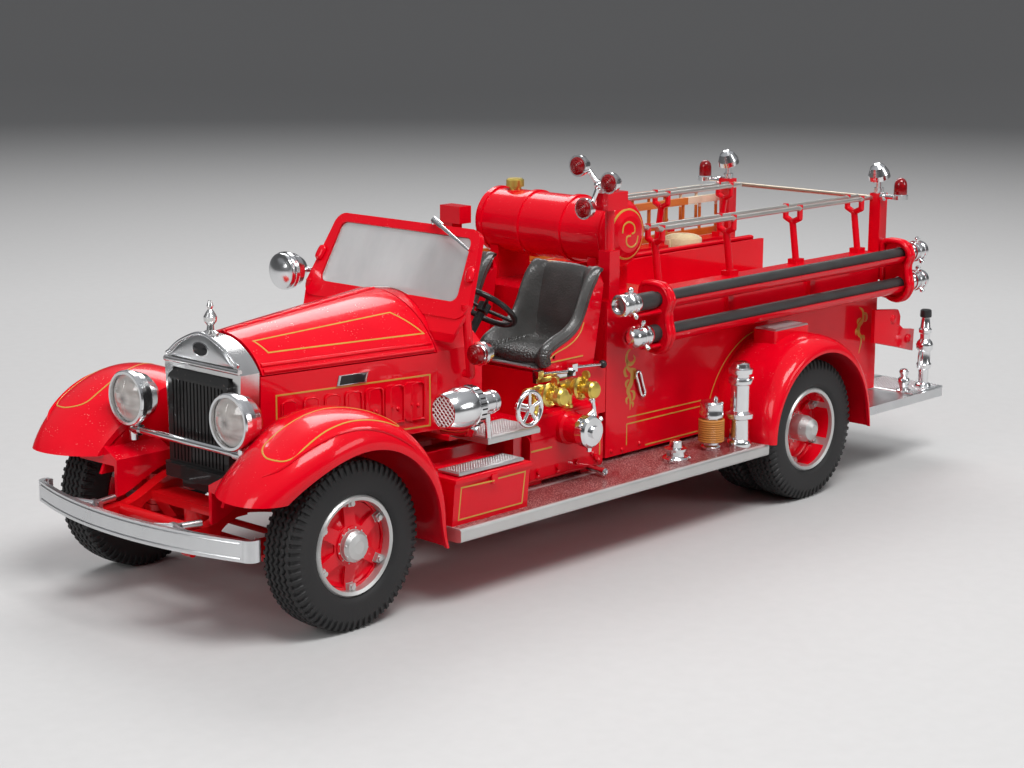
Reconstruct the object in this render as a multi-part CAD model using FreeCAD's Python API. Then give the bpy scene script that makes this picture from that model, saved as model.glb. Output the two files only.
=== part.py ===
"""Die-cast scale model of an open-cab fire engine of the 1930s, 1:24.

Millimetres. +X forward, +Y to the model's left, +Z up. The origin is on the ground under the
middle of the model's bounding box.
"""
import FreeCAD
import Part
import math
import os

V = FreeCAD.Vector

# Axles and wheels
FRONT_AXLE_X = 106.0
WHEELBASE = 169.5
REAR_AXLE_X = FRONT_AXLE_X - WHEELBASE
TYRE_R = 20.0
TYRE_W = 10.4
TYRE_SHOULDER = 2.2
FRONT_TYRE_Y = 38.0
REAR_TYRE_Y = 43.6
DUAL_GAP = 1.2
RIM_R = 11.9
RIM_WALL = 1.3
SPOKES = 6
SPOKE_ROOT_W = 3.3
SPOKE_TIP_W = 3.0
SPIDER_T = 3.2
FRONT_DISH = 1.4
REAR_DISH = 5.2
FRONT_CAP_H = 2.4
REAR_CAP_H = 6.4
HUB_R = 4.5
HUB_CAP_R = 3.7
STUB_R = 1.5
LUG_W = 1.9
NUT_R = 0.6

# Walls and clearances
SHEET = 1.2
SEAT_GAP = 0.3
RUN_CLEAR = 0.06
FIT_GAP = 0.1

# Front axle and steering
KINGPIN_Y = 30.0
KINGPIN_R = 1.0
AXLE_EYE_R = 2.2
AXLE_EYE_H = 6.0
YOKE_WALL = 1.6
AXLE_BEAM_H = 3.2
AXLE_BEAM_W = 3.0
ARM_LENGTH = 9.0
ARM_R = 0.9
PIN_EYE_LIP = 0.15
TIE_ROD_R = 0.8

# Frame
RAIL_LIFT = 3.5
RAIL_IN_Y = 13.0
RAIL_W = 3.5
RAIL_H = 6.0
RAIL_BOTTOM = TYRE_R + RAIL_LIFT
RAIL_TOP = RAIL_BOTTOM + RAIL_H
HORN_REACH = 28.5
HORN_DROP = 1.0
HORN_ARCH_X = FRONT_AXLE_X + 4.0
HORN_ARCH_L = 17.0
HORN_STEPS = 8
HORN_TIP_X = FRONT_AXLE_X + HORN_REACH
HORN_TIP_Z = RAIL_BOTTOM - HORN_DROP
CROSS_T = 2.0
CROSS_W = 7.0
BOSS_R = 3.2
BOSS_DEPTH = 8.0
SCREW_R = 1.25
SCREW_DEPTH = 6.0
FRONT_BOSS_REACH = 11.0
REAR_BOSS_REACH = 35.5
BOSS_FRONT_X = FRONT_AXLE_X + FRONT_BOSS_REACH
BOSS_REAR_X = REAR_AXLE_X - REAR_BOSS_REACH
LEAF_T = 0.8
LEAF_W = 3.0
LEAVES = 4
LEAF_CAMBER = 2.2
LEAF_DROP = 1.4
LEAF_END_Z = TYRE_R - LEAF_DROP
FRONT_SPRING_HALF = 23.5
FRONT_SPRING_SHIFT = 2.0
REAR_SPRING_HALF = 28.0
SPRING_PAD_HALF = 3.0
REAR_TUBE_R = 3.2
DIFF_R = 7.0

# Stations along the model
SHELL_REACH = 8.6
HOOD_REACH = 55.6
COWL_LENGTH = 11.7
CAB_LENGTH = 42.3
REAR_OVERHANG = 58.5
SHELL_FRONT_X = FRONT_AXLE_X + SHELL_REACH
HOOD_REAR_X = SHELL_FRONT_X - HOOD_REACH
COWL_REAR_X = HOOD_REAR_X - COWL_LENGTH
CAB_REAR_X = COWL_REAR_X - CAB_LENGTH
BODY_REAR_X = REAR_AXLE_X - REAR_OVERHANG
FRAME_TUCK = 2.0
RAIL_REAR_X = BODY_REAR_X + FRAME_TUCK

# Engine and driveline
ENGINE_HALF_W = 9.5
ENGINE_SETBACK = 6.0
ENGINE_LENGTH = 36.0
ENGINE_H = 26.5
ENGINE_FRONT_X = FRONT_AXLE_X - ENGINE_SETBACK
ENGINE_REAR_X = ENGINE_FRONT_X - ENGINE_LENGTH
GEARBOX_L = 14.0
GEARBOX_HALF = 6.0
GEARBOX_H = 7.5
TRANSFER_HALF_L = 6.0
TRANSFER_HALF_W = 7.0
TRANSFER_H = 12.0
SHAFT_R = 1.2
SHAFT_LIFT = 2.2
MUFFLER_R = 2.6
MUFFLER_L = 18.0
MUFFLER_Y = 9.8
MUFFLER_DROP = 3.1
PIPE_R = 1.1

# Bumper
BUMPER_HALF = 39.7
BUMPER_LEAD = 6.5
BUMPER_H = 5.0
BUMPER_DROP = 1.3
BUMPER_T = 1.3
BUMPER_BOW = 7.0
BUMPER_END_R = 2.4
BUMPER_FRONT_X = HORN_TIP_X + BUMPER_LEAD
BUMPER_BOTTOM = HORN_TIP_Z - BUMPER_DROP
BRACKET_R = 0.8
BRACKET_IN_Y = 8.0
BRACKET_OUT_Y = 23.0
BRACKET_SINK = 1.2
BRACKET_BACK = 5.5

# Radiator and grille
SHELL_DEPTH = 5.6
SHELL_HALF = 13.9
SHELL_FOOT_HALF = 12.6
SHELL_LIFT = 1.0
SHELL_H = 33.5
SHELL_ARCH = 7.6
SHELL_RIM = 1.6
SHELL_PANEL_RIM = 1.1
SHELL_BEAD_R = 0.7
SHELL_BOTTOM = RAIL_TOP + SHELL_LIFT
SHELL_TOP = SHELL_BOTTOM + SHELL_H
SHELL_SHOULDER_Z = SHELL_TOP - SHELL_ARCH
GRILLE_HEAD = 8.6
GRILLE_PROUD = 1.6
GRILLE_TOP = SHELL_TOP - GRILLE_HEAD
GRILLE_BARS = 15
GRILLE_BAR_T = 0.8
GRILLE_SLOT_DEPTH = 2.0
GRILLE_FRAME = 1.3
GRILLE_CORNER = 2.2
TRAY_LIP = 1.6
CAP_R = 1.6
CAP_H = 8.4

# Hood
HOOD_TAPER = 4.0
HOOD_SIDE_LIFT = 6.5
HOOD_SIDE_H = 19.6
HOOD_CROWN = 13.4
HOOD_WALL = 1.0
HOOD_FRONT_GAP = 0.9
HOOD_SPINE_R = 0.6
HOOD_SPINE_SINK = 0.3
HOOD_SPINE_GAP = 0.4
HOOD_SIDE_BOTTOM = RAIL_TOP + HOOD_SIDE_LIFT
HOOD_EDGE_Z = HOOD_SIDE_BOTTOM + HOOD_SIDE_H
HOOD_RIDGE_REAR = HOOD_EDGE_Z + HOOD_CROWN
LOUVRES = 7
LOUVRE_LIFT = 3.5
LOUVRE_H = 9.5
LOUVRE_PROUD = 0.45
LOUVRE_MARGIN = 5.0

# Cowl and windscreen
COWL_HALF = 26.0
COWL_CROWN = 11.9
HOOD_REAR_HALF = COWL_HALF - HOOD_TAPER
COWL_TOP = HOOD_EDGE_Z + COWL_CROWN
SCREEN_SETBACK = 2.4
SCREEN_SINK = 3.8
SCREEN_H = 20.7
SCREEN_RAKE = 10.2
SCREEN_OVERHANG = 4.1
SCREEN_TAPER = 4.4
SCREEN_BAR = 2.3
SCREEN_SIDE = 5.2
SCREEN_FOOT_BAR = 4.2
SCREEN_T = 1.6
SCREEN_CORNER = 3.6
SCREEN_SKIRT = 7.0
GLASS_T = 0.6
SCREEN_FOOT_X = HOOD_REAR_X - SCREEN_SETBACK
SCREEN_FOOT_Z = COWL_TOP - SCREEN_SINK
SCREEN_HEAD_X = SCREEN_FOOT_X - SCREEN_RAKE
SCREEN_HEAD_Z = SCREEN_FOOT_Z + SCREEN_H
SCREEN_FOOT_HALF = COWL_HALF + SCREEN_OVERHANG
SCREEN_HEAD_HALF = SCREEN_FOOT_HALF - SCREEN_TAPER
STAY_R = 1.1
STAY_LENGTH = 17.7

# Cab
CAB_HALF = 30.7
CAB_FLOOR_LIFT = 5.0
RISER_H = 12.1
RISER_SETBACK = 18.3
CAB_FLOOR_TOP = RAIL_TOP + CAB_FLOOR_LIFT
RISER_TOP = CAB_FLOOR_TOP + RISER_H
RISER_FRONT_X = COWL_REAR_X - RISER_SETBACK
SEAT_W = 22.6
SEAT_INSET = 0.5
SEAT_OUT_Y = CAB_HALF - SEAT_INSET
SEAT_IN_Y = SEAT_OUT_Y - SEAT_W
SEAT_BACK_H = 25.4
SEAT_BACK_TOP = RISER_TOP + SEAT_BACK_H
SEAT_RAKE = 4.5
SEAT_SHELL_T = 1.2
SEAT_CORNER = 5.0
CUSHION_T = 5.6
STEER_Y = 15.0
STEER_R = 8.6
STEER_RIM_R = 0.75
STEER_SETBACK = 12.3
STEER_LIFT = 28.5
STEER_X = COWL_REAR_X - STEER_SETBACK
STEER_Z = CAB_FLOOR_TOP + STEER_LIFT
COLUMN_SLOPE = 51.14
COLUMN_R = 1.1

# Running boards, boxes and step
BOARD_DROP = 3.8
BOARD_OUT_Y = 49.5
BOARD_IN_Y = 24.0
BOARD_T = 3.4
BOARD_TOP = RAIL_BOTTOM - BOARD_DROP
BRACKET_T = 1.4
BOX_LENGTH = 26.0
BOX_IN_Y = 32.0
BOX_INSET = 2.3
BOX_OUT_Y = BOARD_OUT_Y - BOX_INSET
BOX_H = 11.6
APRON_H = 12.3
STEP_LIFT = 1.7
STEP_REACH = 13.0
STEP_BACK = 7.0
STEP_TOP = CAB_FLOOR_TOP + STEP_LIFT

# Fenders
FENDER_WALL = 1.0
FENDER_SPREAD = 4.6
FENDER_OUT_Y = FRONT_TYRE_Y + TYRE_W / 2 + FENDER_SPREAD
FENDER_IN_Y = 22.0
ARCH_GAP = 3.0
ARCH_R = TYRE_R + ARCH_GAP
NOSE_FLARE = 3.6
NOSE_TUCK = 4.6
FENDER_CROWN = 8.0
NOSE_FALL = 0.56
NOSE_LIFT = 4.5
NOSE_Z = RAIL_TOP + NOSE_LIFT
VALANCE_REACH = 21.3
VALANCE_LIFT = 0.9
FOOT_DROP = 4.6
FENDER_FOOT_Z = TYRE_R - FOOT_DROP
TAIL_SWEEP = 1.4
TAIL_CROWN = 2.4
BOARD_FRONT_X = FRONT_AXLE_X - ARCH_R - TAIL_SWEEP - TAIL_CROWN - SEAT_GAP
BOX_FRONT_X = BOARD_FRONT_X - SEAT_GAP
REAR_FENDER_SPREAD = 3.2
REAR_FENDER_OUT_Y = REAR_TYRE_Y + TYRE_W / 2 + REAR_FENDER_SPREAD
REAR_ARCH_GAP = 2.2
REAR_ARCH_R = TYRE_R + REAR_ARCH_GAP
REAR_ARCH_SHIFT = -1.2
REAR_CROWN = 4.6
TREAD_L = 16.0
TREAD_W = 8.0
TREAD_SHIFT = 2.0

# Rear body
BODY_H = 33.1
BED_LIFT = 20.5
BODY_TOP = RAIL_TOP + BODY_H
BED_FLOOR = RAIL_TOP + BED_LIFT
BED_SETBACK = 27.0
BED_FRONT_X = CAB_REAR_X - BED_SETBACK
BED_RIM = 6.5
TAILGATE_H = 3.0
TAILGATE_TOP = BED_FLOOR + TAILGATE_H
LOCKER_W = 18.3
LOCKER_Y = LOCKER_W - CAB_HALF
ROLL_R = 5.2
ROLL_H = 4.9
ROLL_COUNT = 3
ROLL_STACKS = 3
TANK_SETBACK = 15.0
TANK_LIFT = 15.6
TANK_X = CAB_REAR_X - TANK_SETBACK
TANK_Z = BODY_TOP + TANK_LIFT
TANK_R = 8.8
TANK_HALF = 22.8
TANK_DOME = 3.2
TANK_BAND = 0.45
TANK_CAP_Y = -16.0
TANK_CAP_R = 2.5

# Hoses
HOSE_SPREAD = 6.3
HOSE_Y = CAB_HALF + HOSE_SPREAD
HOSE_R = 1.9
HOSE_SINK = 0.1
HOSE_PITCH = 9.0
UPPER_HOSE_Z = BODY_TOP - HOSE_SINK
LOWER_HOSE_Z = UPPER_HOSE_Z - HOSE_PITCH
HOSE_SETBACK = 11.4
HOSE_TAIL = 4.0
HOSE_FRONT_X = CAB_REAR_X - HOSE_SETBACK
HOSE_REAR_X = BODY_REAR_X - HOSE_TAIL
HOSE_STAGGER = 3.5
COUPLING_R = 3.2
COUPLING_L = 7.5
TROUGH_T = 0.8
TROUGH_PLATE_T = 1.6

# Rails, posts and ladders
RAIL_ROD_R = 0.65
RIM_FOOT = 4.6
RAIL_INSET = 3.7
RAIL_PITCH = 5.0
RAIL_OUTER_Y = CAB_HALF - RAIL_INSET
RAIL_INNER_Y = RAIL_OUTER_Y - RAIL_PITCH
HANDRAIL_LIFT = 16.2
HANDRAIL_Z = BODY_TOP + HANDRAIL_LIFT
HANDRAIL_SETBACK = 24.6
HANDRAIL_FRONT_X = CAB_REAR_X - HANDRAIL_SETBACK
STANCHIONS = 4
POST_R = 1.2
REAR_POST_INSET = 2.3
REAR_POST_Y = CAB_HALF - REAR_POST_INSET
REAR_POST_HALF = 1.9
REAR_POST_X = BODY_REAR_X - REAR_POST_HALF - FIT_GAP
REAR_POST_LIFT = 17.6
REAR_POST_H = 26.2
REAR_POST_TOP = BODY_TOP + REAR_POST_LIFT
REAR_POST_FOOT = REAR_POST_TOP - REAR_POST_H
HANDRAIL_REAR_X = REAR_POST_X + REAR_POST_HALF + FIT_GAP / 2
BEACON_REACH = 8.4
BEACON_R = 1.9
LADDER_SPREAD = 2.3
LADDER_Y = CAB_HALF + LADDER_SPREAD
LADDER_RAIL_W = 1.4
LADDER_RAIL_H = 2.2
LADDER_LIFT = 0.8
LADDER_LOW_Z = BODY_TOP + LADDER_LIFT
LADDER_SPAN = 10.4
LADDER_STEP = 2.8
LADDER_PITCH = 3.6
LADDER_SETBACK = 23.0
LADDER_TAIL = 6.0
LADDER_STAGGER = 6.0
LADDER_FRONT_X = CAB_REAR_X - LADDER_SETBACK
LADDER_REAR_X = BODY_REAR_X - LADDER_TAIL
RUNGS = 13
RUNG_R = 0.5
HANGER_T = 1.2
HANGER_W = 2.0

# Tail step
STEP_OVERHANG = 19.0
STEP_SPREAD = 14.3
TAIL_STEP_LIFT = 0.7
STEP_REAR_X = BODY_REAR_X - STEP_OVERHANG
STEP_HALF = CAB_HALF + STEP_SPREAD
TAIL_STEP_TOP = BOARD_TOP + TAIL_STEP_LIFT
TAIL_STEP_T = 2.6
BODY_BOTTOM = TAIL_STEP_TOP + SEAT_GAP

# Lamps
LAMP_LEAD = 8.3
HEADLAMP_X = SHELL_FRONT_X + LAMP_LEAD
HEADLAMP_Y = 18.8
HEADLAMP_R = 6.7
HEADLAMP_DEPTH = 8.4
HEADLAMP_BEZEL = 0.9
LAMP_BAR_LIFT = 10.1
LAMP_STEM = 8.0
LAMP_BAR_Z = RAIL_TOP + LAMP_BAR_LIFT
HEADLAMP_Z = LAMP_BAR_Z + LAMP_STEM
LAMP_BAR_R = 0.9
LAMP_CLAMP_R = 1.3
WARNING_R = 2.8
WARNING_RING = 6.4
LAMP_POST_SETBACK = 2.6
LAMP_POST_INSET = 1.8
LAMP_POST_X = CAB_REAR_X - LAMP_POST_SETBACK
LAMP_POST_Y = CAB_HALF - LAMP_POST_INSET
LAMP_POST_HALF = 1.9
LAMP_SLEEVE_H = 13.0
LAMP_HEAD_LIFT = 23.6
LAMP_HEAD_Z = BODY_TOP + LAMP_HEAD_LIFT
LAMP_HEAD_H = 4.6
LAMP_HEAD_REACH = 3.2
SHORT_POST_H = 20.0
SPOT_R = 5.0
SPOT_LIFT = 6.0
MARKER_R = 3.0
MARKER_Z = HOOD_EDGE_Z + 0.4

# Pump panel
PUMP_LEAD = 21.0
PUMP_X = CAB_REAR_X + PUMP_LEAD
PUMP_HALF = 14.0
PUMP_REACH = 5.0
PUMP_H = 12.3
PUMP_Y = CAB_HALF + PUMP_REACH
INTAKE_R = 3.8
INTAKE_L = 6.0
INTAKE_Z = CAB_FLOOR_TOP - 1.0
INTAKE_CAP_R = 4.2
MANIFOLD_Z = CAB_FLOOR_TOP + 7.5
MANIFOLD_R = 1.6
VALVE_R = 2.3
VALVE_REACH = 5.0
VALVE_FLANGE_R = 3.05
VALVE_BOLTS = 8
VALVE_LEAD = 2.7
VALVE_LIFT = 1.7
VALVE_BACK = 2.0
VALVE_SPACING = 11.8
WING_R = 1.1
WING_REACH = 3.6
HANDWHEEL_R = 4.2
HANDWHEEL_RIM_R = 0.6
HANDWHEEL_LEAD = 21.2
HANDWHEEL_SPOKES = 5
LEVER_R = 0.5
LEVER_L = 12.0
LEVER_KNOB_R = 1.1
LEVER_LIFT = 0.9

# Siren
SIREN_LEAD = 17.0
SIREN_SPREAD = 12.0
SIREN_LIFT = 9.0
SIREN_R = 4.9
SIREN_MOTOR_R = 2.6
SIREN_RIBS = 5

# Equipment that stands on the steps
FITTING_INSET = 6.3
ADAPTER_SETBACK = 33.3
COIL_SETBACK = 15.9
PLAY_PIPE_SETBACK = 8.1
PLAY_PIPE_INSET = 4.3
EXTINGUISHER_LEAD = 7.0
EXTINGUISHER_INSET = 4.4
SMALL_FITTING_LEAD = 16.4
SMALL_FITTING_INSET = 5.4


def box(x0, x1, y0, y1, z0, z1):
    """Block between two corners."""
    return Part.makeBox(x1 - x0, y1 - y0, z1 - z0, V(x0, y0, z0))


def rod(start, end, radius):
    """Round bar between two points."""
    base = V(*start)
    run = V(*end) - base
    return Part.makeCylinder(radius, run.Length, base, run)


def taper(start, end, radius0, radius1):
    """Round tapered bar between two points."""
    base = V(*start)
    run = V(*end) - base
    return Part.makeCone(radius0, radius1, run.Length, base, run)


def ball(centre, radius):
    """Sphere."""
    return Part.makeSphere(radius, V(*centre))


def fused(shapes):
    """One shape from several that touch or overlap."""
    first = shapes[0]
    if len(shapes) == 1:
        return first
    return first.multiFuse(shapes[1:]).removeSplitter()


def mirrored(shape):
    """The same shape on the other side of the centre plane."""
    return shape.mirror(V(0, 0, 0), V(0, 1, 0))


def pair(shape):
    """Left and right copies as separate solids."""
    return Part.makeCompound([shape, mirrored(shape)])


def polygon(points):
    """Flat face from corner points."""
    corners = [V(*p) for p in points]
    corners.append(corners[0])
    return Part.Face(Part.makePolygon(corners))


def plate_y(points, y0, y1):
    """Side-view outline of (x, z) points, thick along Y."""
    return polygon([(x, y0, z) for x, z in points]).extrude(V(0, y1 - y0, 0))


def plate_x(points, x0, x1):
    """Front-view outline of (y, z) points, thick along X."""
    return polygon([(x0, y, z) for y, z in points]).extrude(V(x1 - x0, 0, 0))


def plate_z(points, z0, z1):
    """Plan-view outline of (x, y) points, thick along Z."""
    return polygon([(x, y, z0) for x, y in points]).extrude(V(0, 0, z1 - z0))


def turned_y(points, centre):
    """Solid of revolution about an axis along Y. Points are (radius, y)."""
    cx, cz = centre
    face = polygon([(cx + r, y, cz) for r, y in points])
    return face.revolve(V(cx, 0, cz), V(0, 1, 0), 360)


def turned_x(points, centre):
    """Solid of revolution about an axis along X. Points are (radius, x)."""
    cy, cz = centre
    face = polygon([(x, cy + r, cz) for r, x in points])
    return face.revolve(V(0, cy, cz), V(1, 0, 0), 360)


def turned_z(points, centre):
    """Solid of revolution about an axis along Z. Points are (radius, z)."""
    cx, cy = centre
    face = polygon([(cx + r, cy, z) for r, z in points])
    return face.revolve(V(cx, cy, 0), V(0, 0, 1), 360)


def softened(shape, radius, pick):
    """Fillet on the edges that pick accepts."""
    edges = [e for e in shape.Edges if pick(e)]
    return shape.makeFillet(radius, edges) if edges else shape


def along(edge, axis):
    """True for a straight edge along the axis."""
    if not isinstance(edge.Curve, (Part.Line, Part.LineSegment)):
        return False
    run = edge.Vertexes[-1].Point - edge.Vertexes[0].Point
    return abs(run.normalize().dot(axis)) > 0.999


def loft(wires):
    """Smooth solid through closed wires."""
    return Part.makeLoft(wires, True, False)


# Wheels and tyres

def tyre(y_centre, axle_x):
    """Tyre with rounded shoulders and bulged walls on a rim seat."""
    half = TYRE_W / 2
    wall = half - 0.5
    profile = [
        (RIM_R, -wall), (RIM_R + 2.6, -half), (TYRE_R - TYRE_SHOULDER, -half),
        (TYRE_R - 0.5, -half + TYRE_SHOULDER * 0.55), (TYRE_R, -half + TYRE_SHOULDER),
        (TYRE_R, half - TYRE_SHOULDER), (TYRE_R - 0.5, half - TYRE_SHOULDER * 0.55),
        (TYRE_R - TYRE_SHOULDER, half), (RIM_R + 2.6, half), (RIM_R, wall),
    ]
    return turned_y([(r, y_centre + y) for r, y in profile], (axle_x, TYRE_R))


def rim_barrel(y0, y1, axle_x):
    """Cylindrical rim with a rolled edge at its outer end."""
    inner = RIM_R - RIM_WALL
    profile = [(inner, y0), (RIM_R, y0), (RIM_R, y1 - 0.6), (RIM_R - 0.5, y1), (inner, y1 - 0.3)]
    return turned_y(profile, (axle_x, TYRE_R))


def spoke_window(y0, y1, axle_x, r0, r1, half_step):
    """One opening between two spokes, with rounded corners."""
    a0 = half_step - math.asin(SPOKE_ROOT_W / 2 / r0)
    a1 = half_step - math.asin(SPOKE_TIP_W / 2 / r1)
    points = []
    for r, a in ((r0, -a0), (r1, -a1), (r1 * 1.02, 0.0), (r1, a1), (r0, a0)):
        points.append((axle_x + r * math.cos(a), TYRE_R + r * math.sin(a)))
    window = plate_y(points, y0, y1)
    return softened(window, 0.6, lambda e: along(e, V(0, 1, 0)))


def spider(y0, y1, axle_x):
    """Cast centre: dished disc with windows between the spokes, lugs and nuts at the rim."""
    inner = RIM_R - RIM_WALL
    reach = inner + RIM_WALL / 2
    bore = STUB_R + RUN_CLEAR
    disc = turned_y([(bore, y0), (HUB_R, y0), (reach, y0 + 0.6), (reach, y1 - 1.0), (inner - 1.6, y1 - 1.2),
                     (HUB_R, y1 - 0.5), (HUB_R, y1), (bore, y1)], (axle_x, TYRE_R))
    step = 360.0 / SPOKES
    window = spoke_window(y0 - 1, y1 + 1, axle_x, HUB_R + 0.5, inner - 0.5, math.radians(step / 2))
    lug = box(axle_x + inner - 1.5, axle_x + reach, y1 - 2.0, y1 - 0.1, TYRE_R - LUG_W / 2, TYRE_R + LUG_W / 2)
    nut = rod((axle_x + inner - 0.8, y1 - 1.4, TYRE_R), (axle_x + inner - 0.8, y1 + 0.45, TYRE_R), NUT_R)
    solids = []
    for k in range(SPOKES):
        opening = window.copy()
        opening.rotate(V(axle_x, 0, TYRE_R), V(0, 1, 0), step * k)
        disc = disc.cut(opening)
        for piece in (lug, nut):
            copy = piece.copy()
            copy.rotate(V(axle_x, 0, TYRE_R), V(0, 1, 0), step * (k + 0.5))
            solids.append(copy)
    return fused([disc] + solids)


def hub_cap(y0, length, axle_x):
    """Domed cap that closes the hub bore."""
    profile = [(0, y0), (HUB_CAP_R, y0), (HUB_CAP_R, y0 + length * 0.5),
               (HUB_CAP_R * 0.8, y0 + length * 0.85), (HUB_CAP_R * 0.4, y0 + length), (0, y0 + length)]
    return turned_y(profile, (axle_x, TYRE_R))


FRONT_RIM_FACE = FRONT_TYRE_Y + TYRE_W / 2 - 0.3
REAR_RIM_FACE = REAR_TYRE_Y + TYRE_W / 2 - 0.3
REAR_INNER_TYRE_Y = REAR_TYRE_Y - TYRE_W - DUAL_GAP


def front_wheel():
    """Left front wheel: rim, spider and hub cap."""
    y_in = FRONT_TYRE_Y - TYRE_W / 2 + 0.5
    face = FRONT_RIM_FACE - FRONT_DISH
    barrel = rim_barrel(y_in, FRONT_RIM_FACE, FRONT_AXLE_X)
    centre = spider(face - SPIDER_T, face, FRONT_AXLE_X)
    cap = hub_cap(face, FRONT_CAP_H, FRONT_AXLE_X)
    return fused([barrel, centre, cap])


def rear_wheel():
    """Left rear wheel: one long rim for two tyres, with a deep-set spider and a long hub."""
    y_in = REAR_INNER_TYRE_Y - TYRE_W / 2 + 0.5
    face = REAR_RIM_FACE - REAR_DISH
    barrel = rim_barrel(y_in, REAR_RIM_FACE, REAR_AXLE_X)
    centre = spider(face - SPIDER_T, face, REAR_AXLE_X)
    cap = hub_cap(face, REAR_CAP_H, REAR_AXLE_X)
    return fused([barrel, centre, cap])


FRONT_STUB_END = FRONT_RIM_FACE - FRONT_DISH - SEAT_GAP
REAR_STUB_END = REAR_RIM_FACE - REAR_DISH - SEAT_GAP


# Steering

def knuckle():
    """Left steering knuckle: yoke about the axle eye, kingpin, stub and steering arm."""
    x = FRONT_AXLE_X
    eye_low = TYRE_R - AXLE_EYE_H / 2
    eye_high = TYRE_R + AXLE_EYE_H / 2
    gap = SEAT_GAP / 2
    ear = AXLE_EYE_R + 0.2
    outer = KINGPIN_Y + AXLE_EYE_R + SEAT_GAP
    web_out = outer + YOKE_WALL
    solids = []
    for z0, z1 in ((eye_low - gap - YOKE_WALL, eye_low - gap), (eye_high + gap, eye_high + gap + YOKE_WALL)):
        solids.append(Part.makeCylinder(ear, z1 - z0, V(x, KINGPIN_Y, z0)))
        solids.append(box(x - ear, x + ear, KINGPIN_Y, web_out, z0, z1))
    z_low = eye_low - gap - YOKE_WALL
    z_high = eye_high + gap + YOKE_WALL
    solids.append(box(x - ear, x + ear, outer, web_out, z_low, z_high))
    solids.append(rod((x, KINGPIN_Y, z_low), (x, KINGPIN_Y, z_high), KINGPIN_R))
    solids.append(rod((x, outer, TYRE_R), (x, FRONT_STUB_END, TYRE_R), STUB_R))
    arm_z = z_low + YOKE_WALL / 2
    solids.append(rod((x, KINGPIN_Y, arm_z), (x - ARM_LENGTH, KINGPIN_Y, arm_z), ARM_R))
    eye = ARM_R + PIN_EYE_LIP
    solids.append(Part.makeCylinder(ARM_R + 0.6, 2 * eye, V(x - ARM_LENGTH, KINGPIN_Y, arm_z - eye)))
    return fused(solids)


ARM_Z = TYRE_R - AXLE_EYE_H / 2 - SEAT_GAP / 2 - YOKE_WALL / 2
TIE_Z = ARM_Z - ARM_R - SEAT_GAP - TIE_ROD_R - 2 * PIN_EYE_LIP


def tie_rod():
    """Track rod behind the axle with an eye under each steering arm."""
    x = FRONT_AXLE_X - ARM_LENGTH
    solids = [rod((x, -KINGPIN_Y, TIE_Z), (x, KINGPIN_Y, TIE_Z), TIE_ROD_R)]
    for side in (-1, 1):
        eye = TIE_ROD_R + PIN_EYE_LIP
        solids.append(Part.makeCylinder(TIE_ROD_R + 0.6, 2 * eye, V(x, side * KINGPIN_Y, TIE_Z - eye)))
    return fused(solids)


LEAF_PACK = LEAF_T * LEAVES
SPRING_TOP_MID = LEAF_END_Z - LEAF_CAMBER + LEAF_T / 2
SPRING_PAD_Z = SPRING_TOP_MID - LEAF_PACK
SPRING_Y = RAIL_IN_Y + RAIL_W / 2


def front_axle():
    """Dropped beam with an eye for the kingpin at each end."""
    x0 = FRONT_AXLE_X - AXLE_BEAM_W / 2
    x1 = FRONT_AXLE_X + AXLE_BEAM_W / 2
    low = SPRING_PAD_Z - AXLE_BEAM_H
    bend = SPRING_Y + LEAF_W / 2 + 1.0
    top_end = KINGPIN_Y - AXLE_EYE_R * 0.5
    half_h = AXLE_EYE_H / 2 - 1.0
    outline = [(0, low), (bend + 1.5, low), (top_end, TYRE_R - half_h), (top_end, TYRE_R + half_h),
               (bend, SPRING_PAD_Z), (0, SPRING_PAD_Z)]
    half = plate_x(outline, x0, x1)
    eye = Part.makeCylinder(AXLE_EYE_R, AXLE_EYE_H, V(FRONT_AXLE_X, KINGPIN_Y, TYRE_R - AXLE_EYE_H / 2))
    bore = Part.makeCylinder(KINGPIN_R + RUN_CLEAR, AXLE_EYE_H + 2,
                             V(FRONT_AXLE_X, KINGPIN_Y, TYRE_R - AXLE_EYE_H / 2 - 1))
    left = half.fuse(eye).cut(bore)
    return fused([left, mirrored(left)])


# Frame and springs

def horn_fall(share, power):
    """Height share of the horn's arch from its crown (share 0) to its foot (share 1)."""
    return max(0.0, math.cos(math.radians(90.0 * share))) ** power


def horn_top(x):
    """Top of the rail over the arch of the horn."""
    share = (x - HORN_ARCH_X) / HORN_ARCH_L
    foot = HORN_TIP_Z + 1.2
    return foot + (RAIL_TOP - foot) * horn_fall(min(1.0, max(0.0, share)), 1.5)


def horn_outline():
    """Side view of the rail: level to the axle, then an arched horn that turns down to a flat foot."""
    low = HORN_TIP_Z - 2.6
    under_x = HORN_ARCH_X + 5.0
    under_l = HORN_ARCH_L - 7.6
    points = [(RAIL_REAR_X, RAIL_BOTTOM), (FRONT_AXLE_X + 2.0, RAIL_BOTTOM),
              (FRONT_AXLE_X + 6.0, RAIL_BOTTOM + 0.8)]
    for k in range(HORN_STEPS + 1):
        share = k / HORN_STEPS
        points.append((under_x + under_l * share, low + (RAIL_BOTTOM + 1.3 - low) * horn_fall(share, 0.45)))
    points += [(HORN_TIP_X - 1.5, low), (HORN_TIP_X, HORN_TIP_Z - 1.0), (HORN_TIP_X, HORN_TIP_Z + 1.2)]
    for k in range(HORN_STEPS + 1):
        x = HORN_ARCH_X + HORN_ARCH_L * (1.0 - k / HORN_STEPS)
        points.append((x, horn_top(x)))
    return points + [(RAIL_REAR_X, RAIL_TOP)]


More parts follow.
